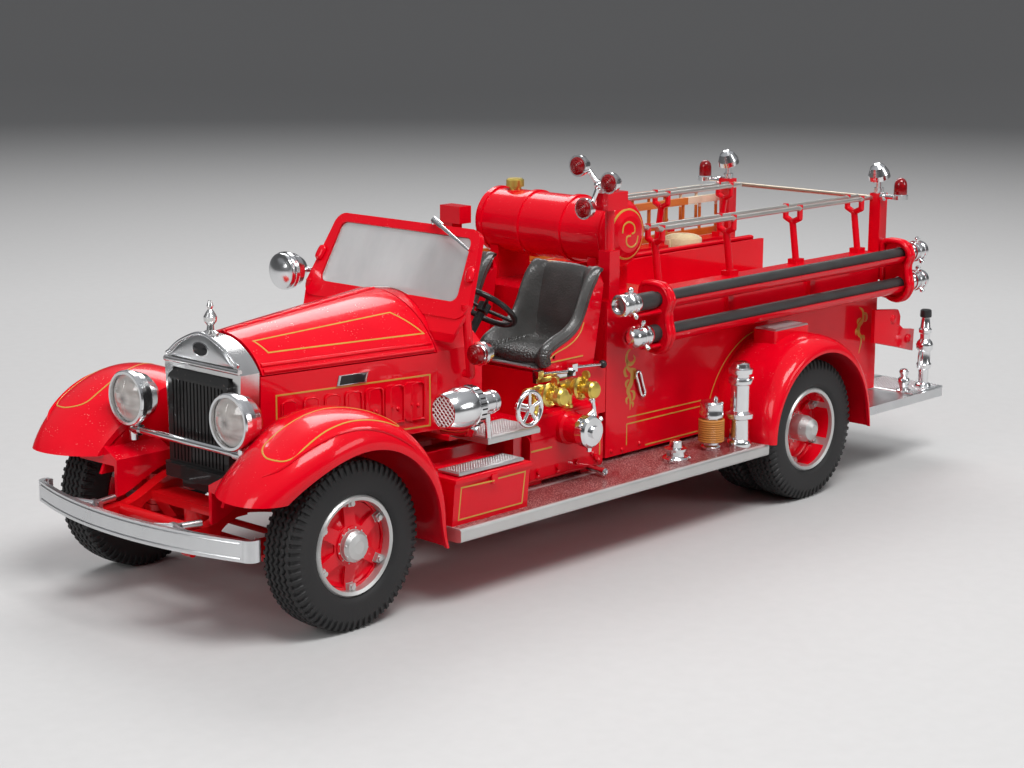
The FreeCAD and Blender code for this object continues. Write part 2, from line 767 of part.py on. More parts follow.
CROSS_XS = (ENGINE_FRONT_X - CROSS_W / 2, ENGINE_REAR_X + CROSS_W / 2 + 0.5, CAB_REAR_X + 1.0,
            REAR_AXLE_X + REAR_SPRING_HALF + 5.5, RAIL_REAR_X + CROSS_W / 2)


def chassis_frame():
    """Two rails with dropped horns, crossmembers, front tube and the two screw bosses."""
    rail = plate_y(horn_outline(), RAIL_IN_Y, RAIL_IN_Y + RAIL_W)
    solids = [rail, mirrored(rail)]
    for x in CROSS_XS:
        solids.append(box(x - CROSS_W / 2, x + CROSS_W / 2, -RAIL_IN_Y - 1, RAIL_IN_Y + 1,
                          RAIL_BOTTOM, RAIL_BOTTOM + CROSS_T))
    for x in (BOSS_FRONT_X, BOSS_REAR_X):
        solids.append(box(x - CROSS_W / 2, x + CROSS_W / 2, -RAIL_IN_Y - 1, RAIL_IN_Y + 1,
                          RAIL_BOTTOM, RAIL_BOTTOM + CROSS_T))
        solids.append(Part.makeCylinder(BOSS_R, BOSS_DEPTH, V(x, 0, RAIL_BOTTOM + CROSS_T - BOSS_DEPTH)))
    tube_x = HORN_TIP_X - 6.0
    solids.append(rod((tube_x, -RAIL_IN_Y - 1, HORN_TIP_Z), (tube_x, RAIL_IN_Y + 1, HORN_TIP_Z), 1.5))
    frame = fused(solids)
    for x in (BOSS_FRONT_X, BOSS_REAR_X):
        frame = frame.cut(Part.makeCylinder(SCREW_R, SCREW_DEPTH,
                                            V(x, 0, RAIL_BOTTOM + CROSS_T - BOSS_DEPTH)))
    return frame


def leaf(x_mid, half, depth):
    """One curved leaf. Depth counts the leaves above it."""
    top = LEAF_END_Z + LEAF_T / 2
    reach = half * (1.0 - 0.2 * depth)
    sag = LEAF_CAMBER
    drop = depth * LEAF_T

    def height(x):
        return top - drop - sag * (1 - (x / half) ** 2)

    y0 = SPRING_Y - LEAF_W / 2
    ends = []
    for lift in (0.0, -LEAF_T):
        a = V(x_mid - reach, y0, height(-reach) + lift)
        b = V(x_mid, y0, height(0) + lift)
        c = V(x_mid + reach, y0, height(reach) + lift)
        ends.append((Part.Arc(a, b, c).toShape(), a, c))
    upper, ua, uc = ends[0]
    lower, la, lc = ends[1]
    wire = Part.Wire([upper, Part.makeLine(uc, lc), lower, Part.makeLine(la, ua)])
    return Part.Face(wire).extrude(V(0, LEAF_W, 0))


def leaf_spring(x_mid, half, rail_underside_front, rail_underside_rear):
    """Leaf pack with an eye at each end and hangers up to the rail."""
    solids = [leaf(x_mid, half, k) for k in range(LEAVES)]
    y0 = SPRING_Y - LEAF_W / 2
    y1 = SPRING_Y + LEAF_W / 2
    for end, underside in ((half, rail_underside_front), (-half, rail_underside_rear)):
        x = x_mid + end
        solids.append(rod((x, y0, LEAF_END_Z), (x, y1, LEAF_END_Z), 1.2))
        if underside > LEAF_END_Z + 1.0:
            solids.append(box(x - 0.9, x + 0.9, y0, y1, LEAF_END_Z, underside))
    return fused(solids)


def leaf_springs():
    """Four leaf packs."""
    front = leaf_spring(FRONT_AXLE_X + FRONT_SPRING_SHIFT, FRONT_SPRING_HALF, HORN_TIP_Z - 2.6, RAIL_BOTTOM)
    rear = leaf_spring(REAR_AXLE_X, REAR_SPRING_HALF, RAIL_BOTTOM, RAIL_BOTTOM)
    return Part.makeCompound([front, mirrored(front), rear, mirrored(rear)])


def rear_axle():
    """Axle tube with the differential case and a stub for each pair of wheels."""
    y_end = REAR_INNER_TYRE_Y - TYRE_W / 2 - 0.9
    x = REAR_AXLE_X
    tube = rod((x, -y_end, TYRE_R), (x, y_end, TYRE_R), REAR_TUBE_R)
    case = ball((x, 0, TYRE_R), DIFF_R)
    nose = taper((x + DIFF_R - 2.0, 0, TYRE_R), (x + DIFF_R + 5.0, 0, TYRE_R + 0.6), 3.6, 2.0)
    stub = rod((x, -REAR_STUB_END, TYRE_R), (x, REAR_STUB_END, TYRE_R), STUB_R)
    solids = [tube, case, nose, stub]
    for side in (-1, 1):
        y = side * SPRING_Y
        seat = SPRING_TOP_MID + LEAF_CAMBER * (SPRING_PAD_HALF / REAR_SPRING_HALF) ** 2 + 0.02
        solids.append(box(x - SPRING_PAD_HALF, x + SPRING_PAD_HALF, y - LEAF_W / 2, y + LEAF_W / 2, seat, TYRE_R))
    return fused(solids)


def driveline():
    """Gearbox, shafts and the pump's transfer case under the seat."""
    box_front = ENGINE_REAR_X - SEAT_GAP
    deck = RAIL_BOTTOM + CROSS_T
    gearbox = box(box_front - GEARBOX_L, box_front, -GEARBOX_HALF, GEARBOX_HALF, deck, deck + GEARBOX_H)
    case_x = PUMP_X
    case_low = TYRE_R + 0.5
    case = box(case_x - TRANSFER_HALF_L, case_x + TRANSFER_HALF_L, -TRANSFER_HALF_W, TRANSFER_HALF_W,
               case_low, case_low + TRANSFER_H)
    case = softened(case, 1.6, lambda e: along(e, V(0, 1, 0)))
    shaft_z = deck + SHAFT_LIFT
    first = rod((case_x + TRANSFER_HALF_L - 0.5, 0, shaft_z), (box_front - GEARBOX_L + 0.5, 0, shaft_z), SHAFT_R)
    tail = (REAR_AXLE_X + DIFF_R + 5.0 + SEAT_GAP, 0, TYRE_R + 0.6)
    second = rod(tail, (case_x - TRANSFER_HALF_L + 0.5, 0, TYRE_R + SHAFT_LIFT), SHAFT_R)
    return fused([gearbox, case, first, second])


def engine_block():
    """Plain block for the engine on its crossmembers."""
    seat = RAIL_BOTTOM + CROSS_T
    block = box(ENGINE_REAR_X, ENGINE_FRONT_X, -ENGINE_HALF_W, ENGINE_HALF_W, seat, seat + ENGINE_H)
    return softened(block, 1.2, lambda e: along(e, V(1, 0, 0)))


def exhaust():
    """Silencer inside the right rail with its pipes, hung from two crossmembers."""
    y = -MUFFLER_Y
    z = RAIL_BOTTOM - MUFFLER_DROP
    r = MUFFLER_R
    front = CROSS_XS[1]
    rear = CROSS_XS[3]
    x1 = CROSS_XS[2] - CROSS_W / 2 - 9.5
    x0 = x1 - MUFFLER_L
    silencer = turned_x([(0, x1), (r - 0.8, x1), (r, x1 - 1.0), (r, x0 + 1.0), (r - 0.8, x0), (0, x0)], (y, z))
    pipe = rod((x1 - 1.0, y, z), (front, y, z), PIPE_R)
    riser = rod((front, y, z), (front, y, RAIL_BOTTOM), PIPE_R)
    bend = ball((front, y, z), PIPE_R)
    tail = rod((x0 + 1.0, y, z), (rear - 16.0, y, z), PIPE_R)
    hanger = box(rear - 1.0, rear + 1.0, y - 0.8, y + 0.8, z, RAIL_BOTTOM)
    return fused([silencer, pipe, riser, bend, tail, hanger])


def drive_and_exhaust():
    """Shafts on the centre line and the exhaust beside the right rail."""
    return Part.makeCompound([driveline(), exhaust()])


# Bumper

def bumper_x(y, face):
    """Plan position of the bumper bar's face at a distance from the centre."""
    return face - BUMPER_BOW * (y / BUMPER_HALF) ** 2


def bumper():
    """Bowed flat bar with curled ends on two forked brackets."""
    z0 = BUMPER_BOTTOM
    back = BUMPER_FRONT_X - BUMPER_T
    mid = BUMPER_HALF - BUMPER_END_R
    edge_x = bumper_x(mid, BUMPER_FRONT_X)
    outer = Part.Arc(V(edge_x, -mid, z0), V(BUMPER_FRONT_X, 0, z0), V(edge_x, mid, z0)).toShape()
    inner_x = bumper_x(mid, back)
    inner = Part.Arc(V(inner_x, -mid, z0), V(back, 0, z0), V(inner_x, mid, z0)).toShape()
    left = Part.makeLine(V(edge_x, mid, z0), V(inner_x, mid, z0))
    right = Part.makeLine(V(inner_x, -mid, z0), V(edge_x, -mid, z0))
    bar = Part.Face(Part.Wire([outer, left, inner, right])).extrude(V(0, 0, BUMPER_H))
    solids = [bar]
    for side in (-1, 1):
        curl = Part.makeCylinder(BUMPER_END_R, BUMPER_H, V(edge_x - BUMPER_END_R, side * mid, z0))
        hole = Part.makeCylinder(BUMPER_END_R - BUMPER_T, BUMPER_H,
                                 V(edge_x - BUMPER_END_R, side * mid, z0))
        keep = box(edge_x - BUMPER_END_R - 1.2, edge_x + 1.0,
                   min(side * mid, side * (mid + 3)), max(side * mid, side * (mid + 3)), z0, z0 + BUMPER_H)
        solids.append(curl.cut(hole).common(keep))
    arm_z = z0 + BUMPER_H - BRACKET_SINK
    for side in (-1, 1):
        foot = (HORN_TIP_X + 0.8, side * SPRING_Y, arm_z)
        for reach in (BRACKET_IN_Y, BRACKET_OUT_Y):
            tip = (bumper_x(reach, back) + 0.3, side * reach, arm_z)
            solids.append(rod(foot, tip, BRACKET_R))
        solids.append(rod(foot, (HORN_TIP_X - BRACKET_BACK, side * (SPRING_Y + 1.5), arm_z), BRACKET_R))
        solids.append(box(HORN_TIP_X, HORN_TIP_X + 1.2, side * SPRING_Y - 1.7, side * SPRING_Y + 1.7,
                          HORN_TIP_Z - 1.0, arm_z + BRACKET_R))
    return fused(solids)


# Radiator, grille and lamps

def shell_wire(x, inset):
    """Front view of the radiator shell: straight sides, round shoulders, arched top."""
    half = SHELL_HALF - inset
    foot = SHELL_FOOT_HALF - inset
    low = SHELL_BOTTOM + inset
    shoulder = SHELL_SHOULDER_Z - inset * 0.4
    top = SHELL_TOP - inset
    a = V(x, -foot, low)
    b = V(x, foot, low)
    c = V(x, half, shoulder)
    d = V(x, 0, top)
    e = V(x, -half, shoulder)
    side_l = Part.makeLine(b, c)
    side_r = Part.makeLine(e, a)
    arch = Part.Arc(c, d, e).toShape()
    return Part.Wire([Part.makeLine(a, b), side_l, arch, side_r])


def radiator_shell():
    """Bright shell: outer band, recessed arch panel with its bead, grille opening and filler cap."""
    back = SHELL_FRONT_X - SHELL_DEPTH
    body = Part.Face(shell_wire(back, 0.0)).extrude(V(SHELL_DEPTH, 0, 0))
    cut_half = SHELL_FOOT_HALF - SHELL_RIM
    opening = box(back + SHEET, SHELL_FRONT_X + 1, -cut_half, cut_half,
                  SHELL_BOTTOM + SHELL_RIM, GRILLE_TOP)
    panel = Part.Face(shell_wire(SHELL_FRONT_X - 0.4, SHELL_PANEL_RIM)).extrude(V(1.0, 0, 0))
    bead_z = GRILLE_TOP + 1.7
    panel = panel.common(box(SHELL_FRONT_X - 1, SHELL_FRONT_X + 1, -SHELL_HALF, SHELL_HALF,
                             bead_z, SHELL_TOP + 1))
    shell = body.cut(opening).cut(panel)
    bead = rod((SHELL_FRONT_X, -SHELL_HALF + 0.3, bead_z), (SHELL_FRONT_X, SHELL_HALF - 0.3, bead_z),
               SHELL_BEAD_R)
    seat = SHELL_TOP - 0.4
    x = SHELL_FRONT_X - SHELL_DEPTH / 2
    r = CAP_R
    cap = turned_z([(0, seat), (r * 1.2, seat), (r * 1.2, seat + 0.9), (r * 0.6, seat + 1.5),
                    (r * 0.5, seat + 2.6), (r * 0.95, seat + 3.6), (r, seat + 4.6), (r * 0.6, seat + 5.8),
                    (r * 0.3, seat + 6.4), (r * 0.5, seat + 7.2), (r * 0.25, seat + CAP_H), (0, seat + CAP_H)],
                   (x, 0))
    return fused([shell, bead, cap])


def grille():
    """Guard with upright bars that stands proud of the shell, and the tray under it."""
    half = SHELL_FOOT_HALF - SHELL_RIM - FIT_GAP
    back = SHELL_FRONT_X - SHELL_DEPTH + SHEET
    front = SHELL_FRONT_X + GRILLE_PROUD
    low = SHELL_BOTTOM + SHELL_RIM + FIT_GAP
    high = GRILLE_TOP - FIT_GAP
    block = box(back, front, -half, half, low, high)
    block = softened(block, GRILLE_CORNER, lambda e: along(e, V(1, 0, 0)) and e.CenterOfMass.z > high - 0.1)
    brow = plate_y([(front + 0.1, high + 0.1), (front + 0.1, high - GRILLE_FRAME * 1.5),
                    (front - GRILLE_FRAME * 1.1, high + 0.1)], -half - 1, half + 1)
    block = block.cut(brow)
    inner = half - GRILLE_FRAME
    pitch = 2 * inner / GRILLE_BARS
    slot = pitch - GRILLE_BAR_T
    slots = []
    for k in range(GRILLE_BARS):
        y0 = -inner + k * pitch + GRILLE_BAR_T / 2
        slots.append(box(front - GRILLE_SLOT_DEPTH, front + 1, y0, y0 + slot,
                         low + GRILLE_FRAME, high - GRILLE_FRAME * 1.9))
    block = block.cut(Part.makeCompound(slots))
    wing = half + 0.9
    tray = plate_z([(SHELL_FRONT_X + FIT_GAP / 2, -wing), (front + TRAY_LIP - 1.0, -wing),
                    (front + TRAY_LIP, -wing + 1.4), (front + TRAY_LIP, wing - 1.4),
                    (front + TRAY_LIP - 1.0, wing), (SHELL_FRONT_X + FIT_GAP / 2, wing)],
                   SHELL_BOTTOM - 1.0, low + 0.6)
    under = box(SHELL_FRONT_X + FIT_GAP / 2, front - 0.4, -half * 0.62, half * 0.62,
                SHELL_BOTTOM - 3.4, SHELL_BOTTOM - 0.5)
    return fused([block, tray, under])


def headlamps():
    """Two bucket lamps on stems, on a cross bar that clamps to the fenders."""
    bar_x = HEADLAMP_X - 3.4
    reach = FENDER_IN_Y - LAMP_CLAMP_R - 0.2
    bar = rod((bar_x, -reach, LAMP_BAR_Z), (bar_x, reach, LAMP_BAR_Z), LAMP_BAR_R)
    solids = [bar]
    for side in (-1, 1):
        y = side * HEADLAMP_Y
        r = HEADLAMP_R
        x = HEADLAMP_X
        rim = r - HEADLAMP_BEZEL
        back = x - HEADLAMP_DEPTH
        bucket = turned_x([(0, back), (r * 0.30, back + 0.2), (r * 0.58, back + 1.2), (r * 0.80, back + 2.9),
                           (r * 0.92, back + 5.0), (r * 0.95, x - 1.9), (r, x - 1.7), (r, x - 0.4),
                           (r - 0.3, x), (rim, x), (rim, x - 1.2), (0, x - 1.2)], (y, HEADLAMP_Z))
        stem = taper((bar_x, y, LAMP_BAR_Z), (bar_x, y, HEADLAMP_Z - r * 0.8), 0.8, 1.2)
        collar = rod((bar_x, y - 1.3, LAMP_BAR_Z), (bar_x, y + 1.3, LAMP_BAR_Z), LAMP_BAR_R + 0.45)
        end = side * (reach - 0.5)
        clamp = rod((bar_x, end, LAMP_BAR_Z - 2.6), (bar_x, end, LAMP_BAR_Z + 1.4), LAMP_CLAMP_R)
        solids.extend([bucket, stem, collar, clamp])
    return fused(solids)


def headlamp_lenses():
    """Domed lenses inside the bezels."""
    r = HEADLAMP_R - HEADLAMP_BEZEL - FIT_GAP
    x = HEADLAMP_X - 1.1
    lens = turned_x([(0, x), (r, x), (r, x + 0.7), (r * 0.75, x + 1.3), (r * 0.35, x + 1.7), (0, x + 1.8)],
                    (HEADLAMP_Y, HEADLAMP_Z))
    return pair(lens)


# Hood

HOOD_FRONT_X = SHELL_FRONT_X - SHELL_DEPTH - HOOD_FRONT_GAP
RIDGE_FRONT = SHELL_TOP + SEAT_GAP


def hood_section(x, half, edge_z, ridge_z):
    """One lid in section: an arc from near the spine down to its lower edge."""
    start = HOOD_SPINE_R + HOOD_SPINE_GAP
    rise = ridge_z - edge_z
    radius = (half * half + rise * rise) / (2 * rise)
    centre_z = ridge_z - radius

    def point(y, inset):
        r = radius - inset
        return V(x, y, centre_z + math.sqrt(r * r - y * y))

    def arc(inset, reach):
        return point(start, inset), point((start + reach) * 0.5, inset), point(reach, inset)

    inner_half = math.sqrt((radius - HOOD_WALL) ** 2 - (edge_z - centre_z) ** 2)
    a, b, c = arc(0.0, half)
    d, e, f = arc(HOOD_WALL, inner_half)
    return Part.Wire([Part.Arc(a, b, c).toShape(), Part.makeLine(c, f),
                      Part.Arc(f, e, d).toShape(), Part.makeLine(d, a)])


def hood_lid():
    """Left hood lid, flaring from the radiator to the cowl."""
    front = hood_section(HOOD_FRONT_X, SHELL_HALF, HOOD_EDGE_Z, RIDGE_FRONT)
    rear = hood_section(HOOD_REAR_X + SEAT_GAP, HOOD_REAR_HALF, HOOD_EDGE_Z, HOOD_RIDGE_REAR)
    return loft([front, rear])


def hood_spine():
    """Hinge rod along the ridge between the lids, from the shell to the cowl."""
    run = V(HOOD_REAR_X + SEAT_GAP - HOOD_FRONT_X, 0, HOOD_RIDGE_REAR - RIDGE_FRONT)
    start = V(HOOD_FRONT_X, 0, RIDGE_FRONT - HOOD_SPINE_SINK)
    return Part.makeCylinder(HOOD_SPINE_R, run.Length, start, run)


def hood_panels():
    """Left and right side panels and the hinge rod between the lids."""
    left = hood_side()
    return Part.makeCompound([left, mirrored(left), hood_spine()])


def hood_side():
    """Left side panel with its row of louvre doors."""
    front_x = SHELL_FRONT_X - SHELL_DEPTH - SEAT_GAP
    rear_x = HOOD_REAR_X
    top = HOOD_EDGE_Z - SEAT_GAP
    yf = SHELL_HALF
    yr = HOOD_REAR_HALF
    panel = plate_z([(front_x, yf), (front_x, yf - SHEET), (rear_x, yr - SHEET), (rear_x, yr)],
                    HOOD_SIDE_BOTTOM, top)
    slope = math.degrees(math.atan2(yr - yf, front_x - rear_x))
    length = math.hypot(yr - yf, front_x - rear_x)
    pitch = (length - 2 * LOUVRE_MARGIN) / LOUVRES
    solids = [panel]
    for k in range(LOUVRES):
        x = front_x - LOUVRE_MARGIN - (k + 0.5) * pitch
        low = HOOD_SIDE_BOTTOM + LOUVRE_LIFT
        door = box(x - pitch * 0.36, x + pitch * 0.36, yf - 0.4, yf + LOUVRE_PROUD, low, low + LOUVRE_H)
        door = softened(door, 1.2, lambda e: along(e, V(0, 1, 0)))
        knob = rod((x, yf, low + LOUVRE_H * 0.42), (x, yf + LOUVRE_PROUD + 0.4, low + LOUVRE_H * 0.42), 0.35)
        door = door.fuse(knob)
        door.rotate(V(front_x, yf, 0), V(0, 0, 1), slope * -1)
        solids.append(door)
    return fused(solids)


# Cowl and windscreen

def cowl_wire(x, half, edge_z, top_z, inset):
    """Front view of the cowl at one place: straight sides and an arched top."""
    low = HOOD_SIDE_BOTTOM - inset if inset <= 0 else HOOD_SIDE_BOTTOM - 1
    a = V(x, -half + inset, low)
    b = V(x, half - inset, low)
    c = V(x, half - inset, edge_z - inset)
    d = V(x, 0, top_z - inset)
    e = V(x, -half + inset, edge_z - inset)
    return Part.Wire([Part.makeLine(a, b), Part.makeLine(b, c), Part.Arc(c, d, e).toShape(),
                      Part.makeLine(e, a)])


def cowl_solid(grow):
    """The cowl's outer form, grown outwards by a clearance."""
    return loft([cowl_wire(HOOD_REAR_X + grow, HOOD_REAR_HALF, HOOD_EDGE_Z, HOOD_RIDGE_REAR, -grow),
                 cowl_wire(COWL_REAR_X - grow, COWL_HALF, HOOD_EDGE_Z + 1.0, COWL_TOP, -grow)])


def cowl():
    """Flaring cowl with the firewall and the dash edge."""
    front = HOOD_REAR_X
    outer = cowl_solid(0.0)
    cut_front = front - SHEET
    share = SHEET / (front - COWL_REAR_X)
    half = HOOD_REAR_HALF + (COWL_HALF - HOOD_REAR_HALF) * share
    inner = loft([cowl_wire(cut_front, half, HOOD_EDGE_Z, HOOD_RIDGE_REAR, SHEET),
                  cowl_wire(COWL_REAR_X - 0.5, COWL_HALF, HOOD_EDGE_Z + 1.0, COWL_TOP, SHEET)])
    return outer.cut(inner)


SCREEN_LEN = math.hypot(SCREEN_FOOT_X - SCREEN_HEAD_X, SCREEN_HEAD_Z - SCREEN_FOOT_Z)
SCREEN_LEAN = math.degrees(math.atan2(SCREEN_FOOT_X - SCREEN_HEAD_X, SCREEN_HEAD_Z - SCREEN_FOOT_Z))


def leaned(shape):
    """Upright shape about the screen's foot, leaned back to the screen's slope."""
    shape.rotate(V(SCREEN_FOOT_X, 0, SCREEN_FOOT_Z), V(0, 1, 0), -SCREEN_LEAN)
    return shape


def screen_plate(foot_half, head_half, low, high, thick, corner):
    """Upright trapezoid plate with rounded corners, in the screen's plane."""
    x = SCREEN_FOOT_X
    z = SCREEN_FOOT_Z
    plate = plate_x([(-foot_half, z + low), (foot_half, z + low), (head_half, z + high),
                     (-head_half, z + high)], x - thick / 2, x + thick / 2)
    return softened(plate, corner, lambda e: along(e, V(1, 0, 0)))


def windscreen_frame():
    """Leaning frame with rounded corners, its arched skirt and a stay at each side."""
    inner_foot = SCREEN_FOOT_HALF - SCREEN_SIDE
    outer = screen_plate(SCREEN_FOOT_HALF, SCREEN_HEAD_HALF, 0, SCREEN_LEN, SCREEN_T, SCREEN_CORNER)
    inner = screen_plate(inner_foot, SCREEN_HEAD_HALF - SCREEN_BAR, SCREEN_FOOT_BAR, SCREEN_LEN - SCREEN_BAR,
                         SCREEN_T * 3, 2.0)
    skirt = screen_plate(COWL_HALF + 0.6, SCREEN_FOOT_HALF - 1.0, -SCREEN_SKIRT, SCREEN_FOOT_BAR * 0.5,
                         SCREEN_T * 0.6, 1.0)
    frame = leaned(outer.cut(inner).fuse(skirt)).cut(cowl_solid(FIT_GAP))
    frame = frame.cut(box(HOOD_REAR_X - SEAT_GAP, HOOD_REAR_X + 9, -2 * COWL_HALF, 2 * COWL_HALF, 0, SCREEN_HEAD_Z))
    solids = [max(frame.Solids, key=lambda solid: solid.Volume)]
    low = SCREEN_FOOT_Z + 4.0 - STAY_LENGTH
    foot_x = SCREEN_FOOT_X - 3.0
    for side in (-1, 1):
        y = side * (COWL_HALF + 2.2)
        solids.append(rod((SCREEN_FOOT_X - 1.2, y, SCREEN_FOOT_Z + 4.0), (foot_x, y, low), STAY_R))
        solids.append(ball((foot_x, y, low), STAY_R))
        solids.append(rod((foot_x, side * (COWL_HALF + FIT_GAP), low), (foot_x, y, low), STAY_R - 0.1))
    return fused(solids)


def windscreen_glass():
    """Flat pane inside the frame."""
    pane = screen_plate(SCREEN_FOOT_HALF - SCREEN_SIDE - FIT_GAP, SCREEN_HEAD_HALF - SCREEN_BAR - FIT_GAP,
                        SCREEN_FOOT_BAR + FIT_GAP, SCREEN_LEN - SCREEN_BAR - FIT_GAP, GLASS_T, 2.0)
    return leaned(pane).cut(cowl_solid(SEAT_GAP))


# Cab

STEER_AXIS = V(math.cos(math.radians(COLUMN_SLOPE)), 0, -math.sin(math.radians(COLUMN_SLOPE)))


def steering_column():
    """Column tube from the firewall up to the wheel's hub."""
    top = V(STEER_X, STEER_Y, STEER_Z) + STEER_AXIS * (1.6 + SEAT_GAP)
    firewall = HOOD_REAR_X - SHEET + COLUMN_R * STEER_AXIS.z
    foot = V(STEER_X, STEER_Y, STEER_Z) + STEER_AXIS * ((firewall - STEER_X) / STEER_AXIS.x)
    return rod(tuple(top), tuple(foot), COLUMN_R)


def steering_wheel():
    """Four-spoke wheel, its rim dished above the hub."""
    centre = V(STEER_X, STEER_Y, STEER_Z)
    rim = Part.makeTorus(STEER_R, STEER_RIM_R, centre, STEER_AXIS)
    hub = rod(tuple(centre - STEER_AXIS * 0.8), tuple(centre + STEER_AXIS * 1.6), 1.7)
    side = V(0, 1, 0)
    up = STEER_AXIS.cross(side)
    solids = [rim, hub]
    for k in range(4):
        angle = math.radians(45 + 90 * k)
        tip = centre + side * (STEER_R * math.cos(angle)) + up * (STEER_R * math.sin(angle))
        solids.append(rod(tuple(centre + STEER_AXIS * 0.6), tuple(tip), 0.5))
    return fused(solids)


def cab_floor():
    """Floor, seat riser and the side sills, one folded pressing."""
    t = SHEET
    low = CAB_FLOOR_TOP - t
    front = HOOD_REAR_X - SHEET
    side = COWL_HALF - SHEET
    floor = box(RISER_FRONT_X - t, front, -side, side, low, CAB_FLOOR_TOP)
    wide = box(RISER_FRONT_X - t, COWL_REAR_X - SEAT_GAP, -CAB_HALF, CAB_HALF, low, CAB_FLOOR_TOP)
    riser = box(RISER_FRONT_X - t, RISER_FRONT_X, -CAB_HALF, CAB_HALF, low, RISER_TOP)
    deck = box(CAB_REAR_X + SEAT_GAP, RISER_FRONT_X, -CAB_HALF, CAB_HALF, RISER_TOP - t, RISER_TOP)
    solids = [floor, wide, riser, deck]
    for y in (-CAB_HALF, CAB_HALF - t):
        solids.append(box(CAB_REAR_X + SEAT_GAP, RISER_FRONT_X, y, y + t, low, RISER_TOP))
    for side_sign in (-1, 1):
        y0 = side_sign * RAIL_IN_Y
        y1 = side_sign * (RAIL_IN_Y + RAIL_W)
        solids.append(box(RISER_FRONT_X + 1.0, COWL_REAR_X - 1.3, min(y0, y1), max(y0, y1), RAIL_TOP, low + 0.2))
    return fused(solids)


def seat_lines():
    """Side-view stations of the bucket: front, heel, back foot and raked back head."""
    front = RISER_FRONT_X - 1.0
    foot = CAB_REAR_X + SEAT_GAP + SEAT_RAKE
    head = foot - SEAT_RAKE
    return front, foot, head


def seat_shell():
    """Left bucket's painted shell: base, raked back and swept side wings."""
    y0, y1 = SEAT_IN_Y, SEAT_OUT_Y
    t = SEAT_SHELL_T
    z0 = RISER_TOP
    front, foot, head = seat_lines()
    top = SEAT_BACK_TOP - 1.2
    base = box(foot, front, y0, y1, z0, z0 + t)
    spine = plate_y([(foot, z0), (foot + t, z0), (head + t, top), (head, top)], y0, y1)
    spine = softened(spine, SEAT_CORNER, lambda e: along(e, (V(1, 0, 0))) and e.CenterOfMass.z > top - 0.1)
    wing = plate_y([(front, z0), (front, z0 + 3.4), (front - 3.0, z0 + 5.0), (foot + 8.5, z0 + 7.5),
                    (foot + 5.5, z0 + 11.5), (foot + 2.6, z0 + 18.0), (head + t + 0.6, z0 + 21.0),
                    (foot - SEAT_RAKE * 0.84, z0 + 21.0), (foot, z0)], y1 - t, y1)
    inner = wing.copy()
    inner.translate(V(0, y0 - y1 + t, 0))
    return fused([base, spine, wing, inner])


def seat_cushion():
    """Left bucket's upholstery: seat pad and raked back pad in one."""
    gap = SEAT_GAP
    t = SEAT_SHELL_T
    y0 = SEAT_IN_Y + t + gap
    y1 = SEAT_OUT_Y - t - gap
    z0 = RISER_TOP + t
    front, foot, head = seat_lines()
    back = foot + t
    slope = SEAT_RAKE / (SEAT_BACK_TOP - 1.2 - RISER_TOP)
    top = SEAT_BACK_TOP
    top_back = back - slope * (top - RISER_TOP) + 0.4
    outline = [(front - gap, z0), (front - gap, z0 + CUSHION_T - 0.8), (front - gap - 1.4, z0 + CUSHION_T),
               (back + 8.0, z0 + CUSHION_T - 1.4), (back + 5.2, z0 + CUSHION_T + 1.4),
               (top_back + 3.6, top - 1.4), (top_back + 1.8, top), (top_back, top - 0.8), (back + 0.1, z0)]
    pad = plate_y(outline, y0, y1)
    return softened(pad, 0.9, lambda e: along(e, V(0, 1, 0)) and e.CenterOfMass.z > z0 + 2)


# Running boards, boxes and step

BOARD_REAR_X = REAR_AXLE_X + REAR_ARCH_SHIFT + REAR_ARCH_R + 0.2


def running_board():
    """Left board with its three brackets from the rail."""
    z0 = BOARD_TOP - BOARD_T
    plank = box(BOARD_REAR_X, BOARD_FRONT_X, BOARD_IN_Y, BOARD_OUT_Y, z0, BOARD_TOP)
    plank = softened(plank, 0.8, lambda e: along(e, V(1, 0, 0)) and e.CenterOfMass.y > BOARD_OUT_Y - 0.1)
    solids = [plank]
    rail_side = RAIL_IN_Y + RAIL_W
    reach = BOARD_OUT_Y - 5.5
    for x in (BOARD_FRONT_X - 6.0, (BOARD_FRONT_X + BOARD_REAR_X) / 2, BOARD_REAR_X + 8.0):
        solids.append(box(x - 1.5, x + 1.5, rail_side, reach, z0 - BRACKET_T, z0))
        solids.append(box(x - 1.5, x + 1.5, rail_side, rail_side + 1.6, z0 - BRACKET_T, RAIL_TOP - 1.0))
    return fused(solids)


def splash_apron():
    """Left apron between the hood's side and the running board."""
    y1 = BOARD_IN_Y + 2.6
    return fused([box(COWL_REAR_X - 1.0, BOARD_FRONT_X - 0.2, y1 - SHEET, y1, BOARD_TOP, BOARD_TOP + APRON_H)])


def toolbox():
    """Left toolbox on the running board, with its overhanging lid."""
    x1 = BOX_FRONT_X
    x0 = x1 - BOX_LENGTH
    top = BOARD_TOP + BOX_H
    body = plate_x([(BOX_IN_Y, BOARD_TOP), (BOX_OUT_Y - 0.9, BOARD_TOP), (BOX_OUT_Y, top - 1.2),
                    (BOX_IN_Y, top - 1.2)], x0, x1)
    lid = box(x0 - 0.3, x1 + 0.1, BOX_IN_Y, BOX_OUT_Y + 0.4, top - 1.2, top)
    lid = softened(lid, 0.4, lambda e: e.CenterOfMass.z > top - 0.1)
    tread = box(x0 + 3.0, x1 - 3.5, BOX_IN_Y + 4.6, BOX_OUT_Y - 3.4, top - 0.2, top + 0.5)
    clasp = box(x0 + BOX_LENGTH * 0.5 - 1.0, x0 + BOX_LENGTH * 0.5 + 1.0, BOX_OUT_Y - 0.6, BOX_OUT_Y + 0.7,
                top - 3.0, top - 0.8)
    return fused([body, lid, tread, clasp])


